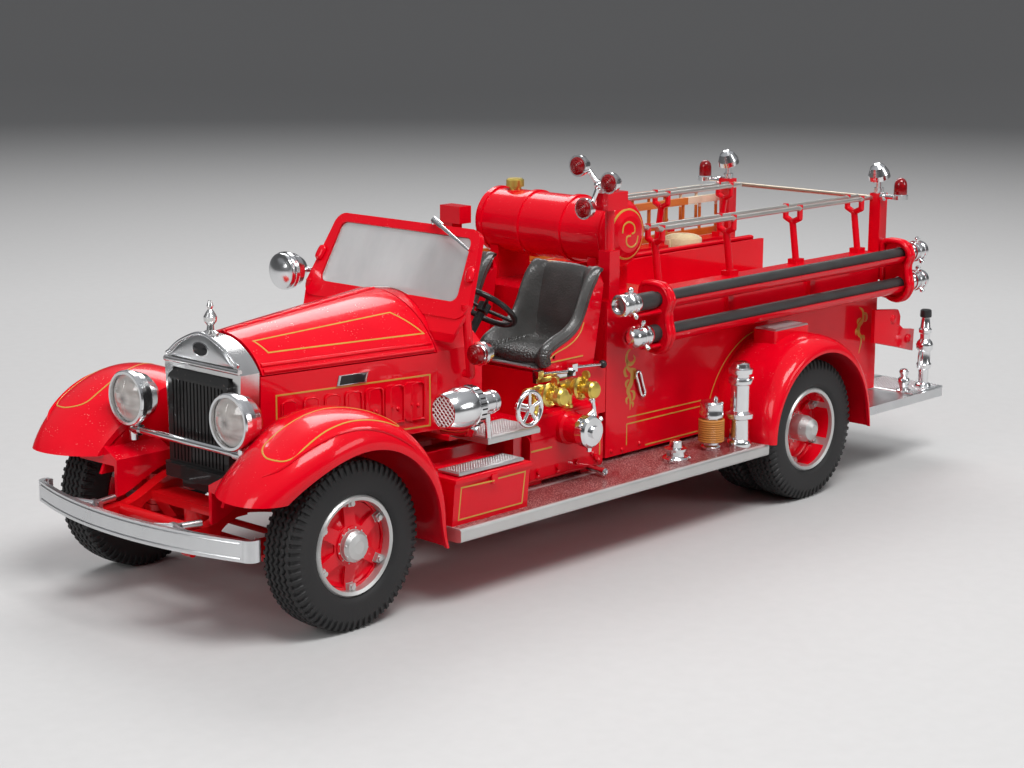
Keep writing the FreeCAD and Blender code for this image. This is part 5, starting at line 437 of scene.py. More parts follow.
for end, axle_x, rows, stem in (("front", FRONT_X, (38.0,), "tyre_"), ("rear", REAR_X, (43.6, 32.0), "tyres_")):
    for side, sign in (("left", 1), ("right", -1)):
        place = "%s_%s" % (end, side)
        made = put("tread_" + place, rubber, tyre(axle_x, sign * rows[0], *FINE), "wheel_" + place)
        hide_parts(stem + place)
        for middle in rows[1:]:
            made = put("tread_" + place + "_inner", rubber, tyre(axle_x, sign * middle, *COARSE), "wheel_" + place)


# Two-tone mouldings. Rails, posts and levers are moulded red or chrome, with their rods or knobs
# painted in a second colour. A mask from the place on the piece tells the two apart.

def rod_mask(tree, y_at, z_at, reach):
    """1 within reach of a rod that runs along x at |y| and z."""
    _, y, z = spot_axes(tree)
    a = calc(tree, "SUBTRACT", calc(tree, "ABSOLUTE", y), y_at * MM)
    return calc(tree, "LESS_THAN", away_from(tree, a, calc(tree, "SUBTRACT", z, z_at * MM)), reach * MM)


def box_mask(tree, low, high):
    """1 inside a box, whose y counts from the middle plane on both sides."""
    x, y, z = spot_axes(tree)
    share = 1.0
    for value, start, end in zip((x, calc(tree, "ABSOLUTE", y), z), low, high):
        share = calc(tree, "MULTIPLY", share, calc(tree, "GREATER_THAN", value, start * MM))
        share = calc(tree, "MULTIPLY", share, calc(tree, "LESS_THAN", value, end * MM))
    return share


def either(tree, *masks):
    """1 where any of the masks is."""
    share = masks[0]
    for mask in masks[1:]:
        share = calc(tree, "MAXIMUM", share, mask)
    return share


def two_tone(name, mask, first, second, metals, gloss):
    """Enamel or plate by mask: first and second are (deep, light) colours, metals and gloss pairs of values."""
    finish, tree, smear, _ = coated(
        name, {"Coat Weight": 0.3, "Coat Roughness": 0.05, "Specular IOR Level": 0.25})
    share = mask(tree)
    base = blend_colour(tree, share, blend_colour(tree, smear, *first), blend_colour(tree, smear, *second))
    rough = ramp(tree, share, gloss[1] - gloss[0], gloss[0])
    feed(tree, base=base, metal=ramp(tree, share, metals[1] - metals[0], metals[0]),
         rough=ramp(tree, smear, 0.12, rough))
    return finish


REDS = (DEEP_RED, RED)
SILVERS = ((0.50, 0.49, 0.46), (0.66, 0.65, 0.61))
BRONZES = ((0.42, 0.34, 0.25), (0.58, 0.50, 0.40))
CHROMES = ((0.74, 0.75, 0.76), (0.88, 0.89, 0.90))
BLACKS = ((0.010, 0.010, 0.011), (0.024, 0.024, 0.025))
RAIL_Y, RAIL_Z, RAIL_REACH = (27.0, 22.0), 78.8, 0.85
dress(two_tone("rail_paint", lambda tree: either(tree, *[rod_mask(tree, y, RAIL_Z, RAIL_REACH) for y in RAIL_Y]),
               REDS, SILVERS, (0.0, 0.9), (0.15, 0.30)), "hand_rails")
dress(two_tone("post_paint", lambda tree: box_mask(tree, (-130, 0, 77.4), (-120, 26.3, 79.8)),
               REDS, BRONZES, (0.0, 0.9), (0.15, 0.34)), "posts")
dress(two_tone("lever_paint", lambda tree: either(tree, box_mask(tree, (6.7, 30, 43.5), (9.3, 34, 48)),
                                                  box_mask(tree, (20.0, 30.7, 44.5), (22.3, 33.3, 47))),
               CHROMES, BLACKS, (1.0, 0.0), (0.06, 0.34)), "pump_controls")


# Gold lining. Fine lines of gold paint are printed over the red: a panel on each lid and hood
# side, a loop on each front fender, the box fronts, the body side, the seats and the tank's ends.
gold = enamel("gold_lining", (0.66, 0.36, 0.07), (0.50, 0.25, 0.04), rough=0.34, ripple_share=0.02)


def joined(parts):
    """Several (points, faces) pairs as one pair."""
    starts = np.cumsum([0] + [len(points) for points, _ in parts])
    return (np.concatenate([points for points, _ in parts]),
            np.concatenate([faces + start for (_, faces), start in zip(parts, starts)]))


def mirrored(part):
    """The same piece on the other side of the model's middle plane."""
    return part[0] * np.array([1.0, -1.0, 1.0]), part[1][:, ::-1]


def both_sides(stem, finish, part, smooth=True):
    """Puts a piece on the chassis and its mirrored copy on the right side."""
    put(stem + "_left", finish, part, smooth=smooth)
    put(stem + "_right", finish, mirrored(part), smooth=smooth)


def bent(points, steps, closed=False):
    """Smooth line through points: a Catmull-Rom cubic with the given steps between neighbours."""
    p = np.asarray(points, dtype=float)
    before, after = (p[-1:], p[:2]) if closed else (2 * p[:1] - p[1:2], 2 * p[-1:] - p[-2:-1])
    p = np.concatenate([before, p, after])
    t = np.linspace(0.0, 1.0, steps, endpoint=False)[None, :, None]
    a, b, c, d = p[:-3, None], p[1:-2, None], p[2:-1, None], p[3:, None]
    run = 0.5 * (2 * b + (c - a) * t + (2 * a - 5 * b + 4 * c - d) * t ** 2 + (3 * b - a - 3 * c + d) * t ** 3)
    run = run.reshape(-1, p.shape[1])
    return run if closed else np.concatenate([run, p[-2:-1]])


def corner_run(corners, steps):
    """Straight runs between corners, divided evenly, for a closed line."""
    corners = np.asarray(corners, dtype=float)
    t = np.linspace(0.0, 1.0, steps, endpoint=False)[None, :, None]
    return (corners[:, None] * (1 - t) + np.roll(corners, -1, 0)[:, None] * t).reshape(-1, corners.shape[1])


def stripe(path, normals, width, closed=False, lift=0.05):
    """Paint line: a low trapezium carried along a path that lies on a surface, mitred at its corners."""
    path = np.asarray(path, dtype=float)
    normals = np.broadcast_to(np.asarray(normals, dtype=float), path.shape)
    after, before = np.roll(path, -1, 0) - path, path - np.roll(path, 1, 0)
    if not closed:
        after[-1], before[0] = before[-1], after[0]
    side_a, side_b = unit(np.cross(normals, unit(after))), unit(np.cross(normals, unit(before)))
    mitre = (side_a + side_b) / np.maximum(1.0 + (side_a * side_b).sum(1, keepdims=True), 0.35)
    across = np.array([-0.5, -0.4, 0.4, 0.5, 0.45, -0.45])[None, :, None]
    up = np.array([0.0, 1.0, 1.0, 0.0, -1.5, -1.5])[None, :, None] * lift
    size = np.broadcast_to(np.asarray(width, dtype=float), len(path))[:, None, None]
    grid = path[:, None] + size * across * mitre[:, None] + up * normals[:, None]
    if not closed:
        grid = np.concatenate([np.repeat(path[:1, None], 6, 1), grid, np.repeat(path[-1:, None], 6, 1)])
    return skin(grid, wrap_u=closed, wrap_v=True)


CAST_FROM = 30.0


def laid(name, points, toward):
    """Points dropped onto a CAD node along a direction, with the surface's evened normals there."""
    toward = unit(toward)
    hits = [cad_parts[name].ray_cast(Vector((p - toward * CAST_FROM) * MM), Vector(toward)) for p in points]
    spots = np.array([hit[1] if hit[0] else p * MM for hit, p in zip(hits, points)]) / MM
    tips = np.array([hit[2] if hit[0] else -toward for hit in hits])
    return spots, unit(tips + np.roll(tips, 1, 0) + np.roll(tips, -1, 0))


# The hood narrows and drops towards the radiator: its half width, the height of its ridge and the
# length in which they change, for the lids and for the sides.
HALF_BACK, HALF_DROP, RIDGE_BACK, RIDGE_DROP, LID_FOOT = 22.0, 8.1, 69.0, 4.7, 55.6
LID_BACK_X, LID_LONG, SIDE_BACK_X, SIDE_LONG = 59.3, 48.8, 59.0, 49.7


def lid_arc(x):
    """Height of the ridge and radius of the lid's arc at x, from the half width and rise there."""
    t = (np.asarray(x, dtype=float) - LID_BACK_X) / LID_LONG
    half, ridge = HALF_BACK - HALF_DROP * t, RIDGE_BACK - RIDGE_DROP * t
    return ridge, (half ** 2 + (ridge - LID_FOOT) ** 2) / (2 * (ridge - LID_FOOT))


def lid_point(x, y):
    """Points of the lid's arc at given x and y, and the normals there."""
    ridge, radius = lid_arc(x)
    z = ridge - radius + np.sqrt(radius ** 2 - y ** 2)
    return at(x, y, z), unit(at(0.09 * radius, y, z - ridge + radius))


def hood_side(x):
    """Half width of the hood below its lids at x."""
    return HALF_BACK - HALF_DROP * (x - SIDE_BACK_X) / SIDE_LONG


def on_side(points, y=30.7):
    """Points given as (x, z) on an upright plane, the body's side unless y is given."""
    points = np.asarray(points, dtype=float)
    return at(points[:, 0], y, points[:, 1])


def scroll(thick, *points):
    """Brush stroke on the body side: a smooth line that swells in its middle and ends in points."""
    run = bent(points, 8)
    share = np.sin(np.linspace(0.0, math.pi, len(run)))
    return stripe(on_side(run), OUTWARD, BRUSH * thick * (0.12 + 0.88 * share))


OUTWARD, DOWN, INWARD = np.array([0.0, 1.0, 0.0]), (0, 0, -1), (0, -1, 0)
BRUSH, PUMP_Y, TOE_Y, SEAT_SIDE_Y, ARCH_R = 1.45, 35.72, 26.62, 30.3, 26.9
TANK_X, TANK_Z, TANK_LINE_R = -10.0, 78.2, 6.6
lid_run = corner_run([(105.4, 7.7), (104, 11.3), (60.6, 18.9), (65.6, 12.2)], 12)
lid_line = stripe(*lid_point(lid_run[:, 0], lid_run[:, 1]), 0.42, closed=True, lift=0.06)
put("hood_left_lining", gold, lid_line, "hood_left")
put("hood_right_lining", gold, mirrored(lid_line), "hood_right")
panel_n = unit([HALF_DROP, SIDE_LONG, 0.0])
panel_run = corner_run([(104.6, 37.4), (61.2, 37.4), (61.2, 50.1), (104.6, 50.4)], 2)
panel_run = at(panel_run[:, 0], hood_side(panel_run[:, 0]) + 0.01, panel_run[:, 1])
box_run = on_side([(76.3, 28.9), (65.9, 28.9), (65, 28.1), (64.1, 28.9), (54.2, 28.9), (54.6, 21), (76.6, 21)], 50)
loop = bent([(124.6, 32.9), (120.6, 32.4), (115, 33), (109, 34.4), (103, 36.6), (97.5, 39.6), (93.5, 42.6),
             (94.5, 44.6), (98.8, 44.9), (104.8, 44.6), (110.1, 44), (115.7, 43.5), (121.5, 43.3), (124.4, 43),
             (126.6, 41.0), (127.0, 36.7)], 6, closed=True)
tank_ring = hoop((TANK_X, 40.0, TANK_Z), TANK_LINE_R, circle(72))
tank_curl = bent([(3.2, 0.6), (2.6, 2.6), (0.6, 3.4), (-1.4, 2.4), (-1.6, 0.6), (-0.2, 0.2)], 6)
lining = [stripe(panel_run, panel_n, 0.42, closed=True),
          stripe(laid("toolboxes", box_run, INWARD)[0], OUTWARD, 0.38, closed=True),
          stripe(*laid("fender_front_left", at(loop[:, 0], loop[:, 1], 60), DOWN), 0.42, closed=True, lift=0.08)]
for width, y, line in (
        (0.45, PUMP_Y, [(14.8, 30.4), (13.2, 30.4), (13.2, 24)]),
        (0.45, PUMP_Y, [(39.6, 29.2), (31.8, 29.2)]),
        (0.36, SEAT_SIDE_Y, bent([(26.8, 49.4), (26.4, 50.5), (24.4, 51.6), (20.2, 52.7), (17, 54.1), (14.9, 56),
                                  (13.8, 58.2)], 5)),
        (0.36, SEAT_SIDE_Y, [(26.8, 49.4), (14.0, 49.5)])):
    lining.append(stripe(on_side(line, y), OUTWARD, width))
lining.append(stripe(*laid("booster_tank", tank_ring, INWARD), 0.6, closed=True, lift=0.07))
lining += [stripe(*laid("booster_tank", on_side(curl + [TANK_X, TANK_Z], 40), INWARD), 0.5, lift=0.07)
           for curl in (tank_curl, -tank_curl)]
lining += [
    scroll(0.8, (-5.6, 49), (-3.6, 48), (-3.2, 45.9), (-4.9, 44.6), (-6.6, 45.6), (-6, 47)),
    scroll(1.1, (-3.3, 46.8), (-3.6, 44), (-5.6, 42.2), (-5.3, 39.6), (-4, 37.6), (-5, 35.2), (-4.9, 32.2)),
    scroll(0.7, (-5.2, 43.6), (-6.9, 42.6), (-7, 41), (-5.9, 40.4)),
    scroll(0.7, (-4.4, 40.6), (-3.2, 39.8), (-3.3, 38.4)),
    scroll(0.7, (-4.9, 37.4), (-6.4, 36.8), (-6.5, 35.2), (-5.6, 34.6)),
    scroll(0.6, (-4.5, 36), (-3.4, 35.2), (-3.7, 33.9)),
    scroll(0.7, (-3.6, 44.6), (-2.5, 43.4), (-2.9, 41.9), (-3.9, 41.5)),
    scroll(0.6, (-5, 34.4), (-6.1, 33.8), (-6, 32.7)),
    scroll(1.1, (-112.4, 46.8), (-114.4, 45.4), (-114.6, 42.8), (-112.6, 41), (-112.6, 38.8), (-114.2, 36.8),
           (-113.0, 32.6)),
    scroll(0.8, (-114.2, 44.8), (-116.2, 44.2), (-116.4, 42.6), (-115.2, 42)),
    scroll(0.7, (-112.8, 40.4), (-111.2, 39.8), (-111.2, 38.4)),
    scroll(0.7, (-113.6, 37.8), (-115.4, 37.4), (-115.6, 36)),
    scroll(0.7, (-113.6, 43.4), (-112, 42.8), (-111.8, 41.6))]
lining += [stripe(on_side(line), OUTWARD, 0.36) for line in ([(-3.9, 30.3), (-36.0, 30.0)],
                                                             [(-3.7, 22.8), (-3.7, 28.5), (-36.2, 28.4)],
                                                             [(-11.6, 21.5), (-36.6, 21.5)])]
arch = np.linspace(math.radians(8), math.radians(172), 40)
lining += [stripe(hoop((-64.7, 30.7, WHEEL_R), ARCH_R, arch), OUTWARD, 0.4),
           stripe(on_side([(36.8, 26.8), (13.4, 26.8)], TOE_Y), OUTWARD, 0.36)]
both_sides("gold_lining", gold, joined(lining))


# Hood trim. A double bead is rolled along each lid's lower edge, and the lids hang on a piano
# hinge whose knuckles alternate along the ridge. The louvre doors have frames and small rivets.

def tube(path, radius, sides=12, closed=False, flat=1.0, ref=(0.0, 0.0, 1.0)):
    """Round or flattened section carried along a path, upright to ref. Open ends close to a point."""
    path = np.asarray(path, dtype=float)
    ahead = np.roll(path, -1, 0) - np.roll(path, 1, 0) if closed else np.gradient(path, axis=0)
    aside = unit(np.cross(unit(ahead), ref))
    over = np.cross(aside, unit(ahead))
    around = circle(sides)[None, :, None]
    size = np.broadcast_to(np.asarray(radius, dtype=float), len(path))[:, None, None]
    ring = path[:, None] + size * (np.cos(around) * aside[:, None] + flat * np.sin(around) * over[:, None])
    if not closed:
        ring = np.concatenate([np.repeat(path[:1, None], sides, 1), ring, np.repeat(path[-1:, None], sides, 1)])
    return skin(ring, wrap_u=closed, wrap_v=True)


ALONG_X, ALONG_Y, ALONG_Z = (1, 0, 0), (0, 1, 0), (0, 0, 1)
KNUCKLE, KNUCKLE_R, GAP_R, DOOR_Z = 6.0, 0.78, 0.55, 44.2
edge_x = np.linspace(59.9, 107.6, 24)
ridge, radius = lid_arc(edge_x)
beads = joined([tube(at(edge_x, np.sqrt(radius ** 2 - (height - ridge + radius) ** 2), height), size, 10)
                for height, size in ((56.35, 0.62), (57.7, 0.5))])
put("hood_left_bead", red, beads, "hood_left")
put("hood_right_bead", red, mirrored(beads), "hood_right")
hinge_along = np.linspace(0.6, 48.0, 97)
hinge_r = np.where(np.abs((hinge_along / KNUCKLE) % 1.0 - 0.5) > 0.46, GAP_R, KNUCKLE_R)
hinge = [(0.4, 0), *zip(hinge_along, hinge_r), (48.2, 0)]
put("hood_hinge", red, lathe(hinge, (108.0, 0.0, 64.0), (-48.4, 0.0, 4.7), 14))
door_x = np.array([77.1, 71.0, 65.0, 83.2, 89.4, 95.4, 101.4])
door_y = hood_side(door_x)
door_loop = np.array([(-1.9, -4.3), (-1.9, 3.4), (-1.5, 4.1), (-0.8, 4.5), (0.8, 4.5), (1.5, 4.1), (1.9, 3.4),
                      (1.9, -4.3), (1.5, -4.6), (-1.5, -4.6)])
frames = [tube(bent(at(x + door_loop[:, 0], y - 0.163 * door_loop[:, 0] + 0.30, DOOR_Z + door_loop[:, 1]), 3,
                    closed=True), 0.24, 8, closed=True, ref=panel_n) for x, y in zip(door_x, door_y)]
both_sides("louvre_frames", red, joined(frames))
both_sides("louvre_rivets", red, dome(at(door_x, door_y + 0.25, 43), 0.62, panel_n, rise=0.9, sides=14, rings=5))


# Fender beads. A crease is pressed round each front fender between its crown and its skirt. It
# fades in and out at its ends.
crease = bent([(130.6, 39.6), (128.6, 41.6), (126, 42.9), (123.4, 43.6), (118.9, 44.6), (112.7, 45.6),
               (106.3, 46.4), (101.4, 46.9), (96.2, 47.4), (91.6, 47.6)], 5)
crease, crease_n = laid("fender_front_left", at(crease[:, 0], crease[:, 1], 60), DOWN)
crease_r = np.interp(np.linspace(0, 1, len(crease)), [0, 0.15, 0.85, 1], [0.1, 0.45, 0.45, 0.1])
both_sides("fender_crease", red, tube(crease + crease_n * 0.05, crease_r, 8))


# Radiator trim. The shell's head is a satin panel inside a bright half-round rim over the grille.
# Both are moulded with the shell and plated.

def capped(grid):
    """A grid of rings closed at both ends, where the middle of the first and last ring is repeated."""
    first, last = (np.repeat(ring.mean(axis=1, keepdims=True), grid.shape[1], 1) for ring in (grid[:1], grid[-1:]))
    return np.concatenate([first, grid, last])


HEAD_HALF = [0, 1.92, 4.07, 6.4, 8.6, 9.96, 11.22, 12.37, 13.3]
HEAD_TOP = [65, 64.8, 64, 63, 62, 61, 60, 59, 58.1]
HEAD_FOOT, HEAD_FACE_X, HEAD_BACK_X, RIM_X = 58.0, 114.68, 114.3, 114.6
arch_y = np.linspace(-12.2, 12.2, 41)[:, None]
arch_top = np.interp(np.abs(arch_y) / 0.93, HEAD_HALF, HEAD_TOP) - 0.75
arch_share = np.linspace(0.0, 1.0, 9)
arch_z = HEAD_FOOT + (np.maximum(arch_top, HEAD_FOOT + 0.15) - HEAD_FOOT) * arch_share
arch_face = at(HEAD_FACE_X + 0.3 * np.minimum(1.0, 4.0 * arch_share * (1 - arch_share)), arch_y, arch_z)
arch_back = at(HEAD_BACK_X, arch_y, arch_z)
arch_grid = capped(np.concatenate([arch_face, arch_back[:, ::-1]], axis=1))
put("shell_arch_panel", satin, skin(arch_grid, wrap_v=True))
rim_y = np.linspace(-13.0, 13.0, 49)
rim_z = np.interp(np.abs(rim_y), HEAD_HALF, HEAD_TOP) - 0.35
rim_z = np.convolve(np.pad(rim_z, 3, mode="edge"), np.ones(7) / 7, mode="valid")
put("shell_arch_rim", chrome, tube(at(RIM_X, rim_y, rim_z), 0.45, 10, ref=ALONG_X))


# Blank plates. The hood's side plate and the shell's oval are stamped sheet: plain black enamel
# in a chrome border, pinned flat to the surface.

def plate_on(outline, centre, side_axis, rise):
    """A thin upright plate: its outline steps in and rises, so that its edge is bevelled."""
    side_axis, up_axis = unit(side_axis), unit(ALONG_Z)
    face = outline[:, :1] * side_axis + outline[:, 1:] * up_axis
    layers = [(0, -0.3), (1, -0.3), (1, rise * 0.6), (0.94, rise), (0, rise)]
    return skin(np.stack([centre + share * face + lift * np.cross(side_axis, up_axis) for share, lift in layers]),
                wrap_v=True)


SIDE_PLATE_AT, OVAL_AT = np.array([83.7, 18.02, 51.9]), np.array([114.95, 0.0, 60.9])
slant = np.array([(-4.6, -1.3), (3.9, -1.3), (4.6, 1.3), (-3.9, 1.3)])
oval = np.stack([3.1 * np.cos(circle(40)), 1.75 * np.sin(circle(40))], axis=-1)
plate_ink = enamel("plate_ink", (0.02, 0.02, 0.022), (0.01, 0.01, 0.011), rough=0.22)
for name, finish, size, side_rise, oval_rise in (("plate_borders", chrome, 1.0, 0.3, 0.15),
                                                 ("plate_faces", plate_ink, 0.86, 0.42, 0.27)):
    part = plate_on(slant * size, SIDE_PLATE_AT, (-SIDE_LONG, HALF_DROP, 0.0), side_rise)
    put(name, finish, joined([part, mirrored(part), plate_on(oval * size, OVAL_AT, ALONG_Y, oval_rise)]))


# Headlamp glasses. Each is a clear moulded glass with upright flutes, domed over a bright bowl
# and its bulb, and pressed into the lamp's rim. Its colour is a painted reflection of the bowl,
# pale in rings and lines and darker at the bulb in the middle.
LAMP_X, LAMP_Y, LAMP_Z, GLASS_R, FLUTE = 121.6, 18.8, 47.6, 5.75, 0.35
lens_glass, lens_tree = new_finish("fluted_glass", {"Coat Weight": 1.0, "Coat Roughness": 0.02, "IOR": 1.5,
                                                    "Transmission Weight": 0.35})
_, lens_y, lens_z = spot_axes(lens_tree)
lens_y = calc(lens_tree, "SUBTRACT", calc(lens_tree, "ABSOLUTE", lens_y), LAMP_Y * MM)
lens_z = calc(lens_tree, "SUBTRACT", lens_z, LAMP_Z * MM)
lens_away = away_from(lens_tree, lens_y, lens_z)
# Painted reflection of the lamp's bright bowl: pale rings and lines round a darker spot at the bulb.
lens_bulb = ramp(lens_tree, lens_away, -520.0, 1.05, clamp=True)
lens_lines = calc(lens_tree, "SINE", calc(lens_tree, "MULTIPLY", lens_z, 2600.0))
lens_rings = calc(lens_tree, "SINE", calc(lens_tree, "MULTIPLY", lens_away, 1500.0))
lens_reflection_pattern = ramp(lens_tree, lens_rings, 0.2, ramp(lens_tree, lens_lines, 0.12, 0.55), clamp=True)
lens_painted_reflection = blend_colour(lens_tree, lens_reflection_pattern, (0.42, 0.38, 0.35), (0.88, 0.84, 0.80))
feed(lens_tree, base=blend_colour(lens_tree, lens_bulb, lens_painted_reflection, (0.22, 0.20, 0.19)),
     rough=ramp(lens_tree, lens_reflection_pattern, 0.1, 0.08))
dress(lens_glass, "headlamp_lenses")
flute_r = np.array([0, 0.6, 1.2, 1.8, 2.4, 3.0, 3.6, 4.2, 4.8, 5.3, 5.65, 5.7])[:, None]
across, height = flute_r * np.cos(circle(96)), flute_r * np.sin(circle(96))
bulge = 1.8 * (1 - (flute_r / GLASS_R) ** 2) + 0.07 * np.cos(across * math.pi / FLUTE) * (flute_r < 5.3)
for side, name in ((1, "left"), (-1, "right")):
    front = at(LAMP_X + 0.32 + bulge, side * LAMP_Y + across, LAMP_Z + height)
    rear = at(LAMP_X, side * LAMP_Y + across, LAMP_Z + height)
    flutes = put("headlamp_glass_" + name, lens_glass, skin(np.concatenate([front, rear[::-1]]), wrap_v=True))
    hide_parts("headlamp_lenses")


# Red glasses. The warning lamps, the marker lamp and the beacons have ribbed red glasses in
# chrome cases. Each glass is turned, with its face rippled into rings.
ruby, ruby_tree = new_finish("ruby_glass", {"Coat Weight": 0.6, "Coat Roughness": 0.02, "Specular IOR Level": 0.3})
ruby_cloud = noise(ruby_tree, 900.0, 2.0)
feed(ruby_tree, base=blend_colour(ruby_tree, ruby_cloud, (0.06, 0.0, 0.001), (0.40, 0.001, 0.005)),
     rough=ramp(ruby_tree, ruby_cloud, 0.1, 0.03), normal=bump(ruby_tree, 0.3, 0.0002, ruby_cloud))


def glass_face(radius, rise, rings=4):
    """Profile of a domed glass from its foot to its crown, with a small wave for each ring."""
    share = np.linspace(1.0, 0.0, 26)
    along = rise * np.sqrt(np.clip(1 - (share * 0.96) ** 2, 0, 1)) + 0.05 * np.cos(share * rings * 2 * math.pi)
    return [(-0.4, 0), (-0.4, radius), *zip(along, share * radius), (along[-1], 0)]


for name, centre, radius, rise in (("warning_glass_1", (10.5, 24.7, 97.8), 2.3, 1.1),
                                   ("warning_glass_2", (10.5, 35.2, 94.2), 2.3, 1.1),
                                   ("warning_glass_3", (10.5, 26.8, 86.95), 2.3, 1.1),
                                   ("marker_glass", (56.7, 32.7, 56.0), 2.45, 1.2)):
    put(name, ruby, lathe(glass_face(radius, rise), centre, ALONG_X, 40))
beacon = [(0, 0), (0, 1.95), (0.6, 2.02), (3, 1.92), (4, 1.7), (4.7, 1.2), (5, 0.6), (5.08, 0)]
for side, name in ((1, "left"), (-1, "right")):
    put("beacon_glass_" + name, ruby, lathe(beacon, (-122.8, side * 36.8, 80.4), ALONG_Z, 32))
knob = [(-2.2, 0), (-2, 0.9), (-1.2, 1.7), (0, 2), (1.2, 1.7), (2, 0.9), (2.2, 0)]
put("lamp_cluster_knob", red, lathe(knob, (4.6, 28.4, 92.2), (1, 0.2, 0), 24))


# Siren. A turned chrome case: a bell with a red disc behind woven mesh, a slotted flange and a
# ringed barrel, on a forged bracket that reaches to the cowl. Wires alternate over and under.
# The plated wires are painted near white as a painted glint.
SIREN_AT = (55.7, 38.0, 45.2)
_, SIREN_Y, SIREN_Z = SIREN_AT
siren_case = [(0, 0), (0, 2.4), (0.2, 2.65), (1.1, 2.7), (1.2, 2.95), (1.8, 2.95), (1.9, 2.7), (4.2, 2.7),
              (4.3, 2.95), (4.9, 2.95), (5, 2.7), (6.4, 2.75), (6.7, 3.2), (7.2, 4.2), (7.4, 5.05), (9.2, 5.05),
              (9.4, 4.85), (10.2, 5.1), (11.4, 5.2), (13.4, 5.1), (15, 4.85), (16.2, 4.55), (17.2, 4.2), (17.5, 4),
              (17.4, 3.7), (15.9, 3.6), (15.9, 0)]
arm = bent([(61.6, 38, 42.4), (62, 37.4, 40), (62.4, 35.4, 38.2), (62.6, 32, 37.6), (62.6, 27, 37.4)], 6)
siren_shell = put("siren_case", chrome, joined([
    lathe(siren_case, SIREN_AT, ALONG_X, 48),
    tube(arm, np.linspace(1.5, 0.9, len(arm)), 12, flat=0.7, ref=ALONG_X),
    lathe([(-1, 0), (-1, 1.3), (1.6, 1.3), (1.9, 0.8), (1.9, 0)], (62.1, 36.6, 38.6), (0.2, 0.6, 0.8), 6),
    tube([(58, 38, 42.4), (58, 38.2, 39.4), (58, 38.4, 36.3)], 0.8, 10, ref=ALONG_X)]))
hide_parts("siren")
SLOT_X, SLOT_R, SLOT_HALF = 64.0, 5.0, 0.75
slot_turn = np.radians(np.arange(0, 360, 15))
# The slots are black bars laid on the flange: painted shade standing in for the openings.
slots = [tube(at(SLOT_X + np.array([-SLOT_HALF, 0.0, SLOT_HALF]), SIREN_Y + y, SIREN_Z + z), 0.22, 6)
         for y, z in zip(SLOT_R * np.cos(slot_turn), SLOT_R * np.sin(slot_turn))]
put("siren_slots", enamel("slot_painted_shade", (0.02, 0.02, 0.02), (0.01, 0.01, 0.01), rough=0.5), joined(slots))
WIRE_PITCH, WIRE_R, WIRE_WAVE, MESH_R, MESH_X = 0.96, 0.14, 0.06, 3.85, 72.9
wires = []
for sign in (1, -1):
    lean = sign * math.radians(45)
    for count in np.arange(-3.5, 3.6):
        offset = count * WIRE_PITCH
        along = math.sqrt(MESH_R ** 2 - offset ** 2) * np.linspace(-1.0, 1.0, 25)
        wave = sign * WIRE_WAVE * np.cos((along / WIRE_PITCH + count) * math.pi)
        wires.append(tube(at(MESH_X + wave, SIREN_Y + along * math.cos(lean) - offset * math.sin(lean),
                             SIREN_Z + along * math.sin(lean) + offset * math.cos(lean)), WIRE_R, 6, ref=ALONG_X))
# The plated wires are painted near white: a painted glint.
put("siren_mesh", enamel("mesh_painted_glint", (0.84, 0.84, 0.83), (0.66, 0.66, 0.65), rough=0.3), joined(wires))
put("siren_disc", enamel("disc_red", (0.42, 0.001, 0.008), (0.26, 0.0005, 0.004), rough=0.35),
    lathe([(-0.5, 0), (-0.5, 3.7), (0, 3.7), (0.15, 3), (0.2, 0)], (72, SIREN_Y, SIREN_Z), ALONG_X, 40))


# Spot lamp. Its chrome bowl hangs by the right windscreen post, with its mirror turned forwards.
# It is turned and plated in one piece.
spot_bowl = [(-0.6, 0), (-0.6, 4.7), (0.2, 4.75), (0.5, 4.6), (0.55, 4.2), (1, 3.2), (1.5, 1.9), (1.75, 0.8),
             (1.8, 0)]
put("spot_mirror", chrome, lathe(spot_bowl, (60.4, -33.5, 69.7), ALONG_X, 40))


# Windscreen. Grey tinted sheet in the red frame, with a chrome wiper hung from the top bar and
# hinge blocks halfway up each post. All of it leans back on one plane.
pane, pane_tree = new_finish("screen_glass", {"Transmission Weight": 0.62, "IOR": 1.45})
pane_haze = noise(pane_tree, 160.0, 4.0, (1.0, 1.0, 0.15))
feed(pane_tree, base=blend_colour(pane_tree, pane_haze, (0.62, 0.64, 0.64), (0.86, 0.88, 0.88)),
     rough=ramp(pane_tree, pane_haze, 0.25, 0.04))
dress(pane, "windscreen_glass")
SCREEN_FOOT_X, SCREEN_FOOT_Z = 56.6, 63.7
POST_HALF, POST_LEAN, POST_LONG = 29.2, 4.4, 23.0
lean = math.radians(26.2)
lean_out = (math.cos(lean), 0.0, math.sin(lean))


def on_screen(y, height, out):
    """Points on the windscreen's leaned plane: height runs up from its foot, out forwards of its face."""
    return at(SCREEN_FOOT_X - height * math.sin(lean) + out * math.cos(lean), y,
              SCREEN_FOOT_Z + height * math.cos(lean) + out * math.sin(lean))


put("wiper", chrome, joined([
    tube(on_screen(np.linspace(10.2, 24.7, 14), np.linspace(23.7, 17.3, 14), 2), np.linspace(0.55, 0.34, 14), 8,
         flat=0.6, ref=lean_out),
    tube(on_screen(np.linspace(9.3, 13.0, 8), np.linspace(24.1, 22.5, 8), 1.8), 0.8, 10, flat=0.6, ref=lean_out),
    lathe([(-1.4, 0), (-1.4, 0.8), (0.5, 0.8), (0.8, 0.5), (0.9, 0)], on_screen(9.8, 23.4, 1.2), lean_out, 16)]))
block_up = np.linspace(9.4, 13.6, 9)
block_y = POST_HALF - POST_LEAN * block_up / POST_LONG
block_r = [0.3, 1.2, 1.35, 1.4, 1.4, 1.4, 1.35, 1.2, 0.3]
blocks = [tube(on_screen(side * block_y, block_up, 1.25), block_r, 12, flat=0.55, ref=lean_out) for side in (1, -1)]
put("screen_hinge_blocks", red, joined(blocks))


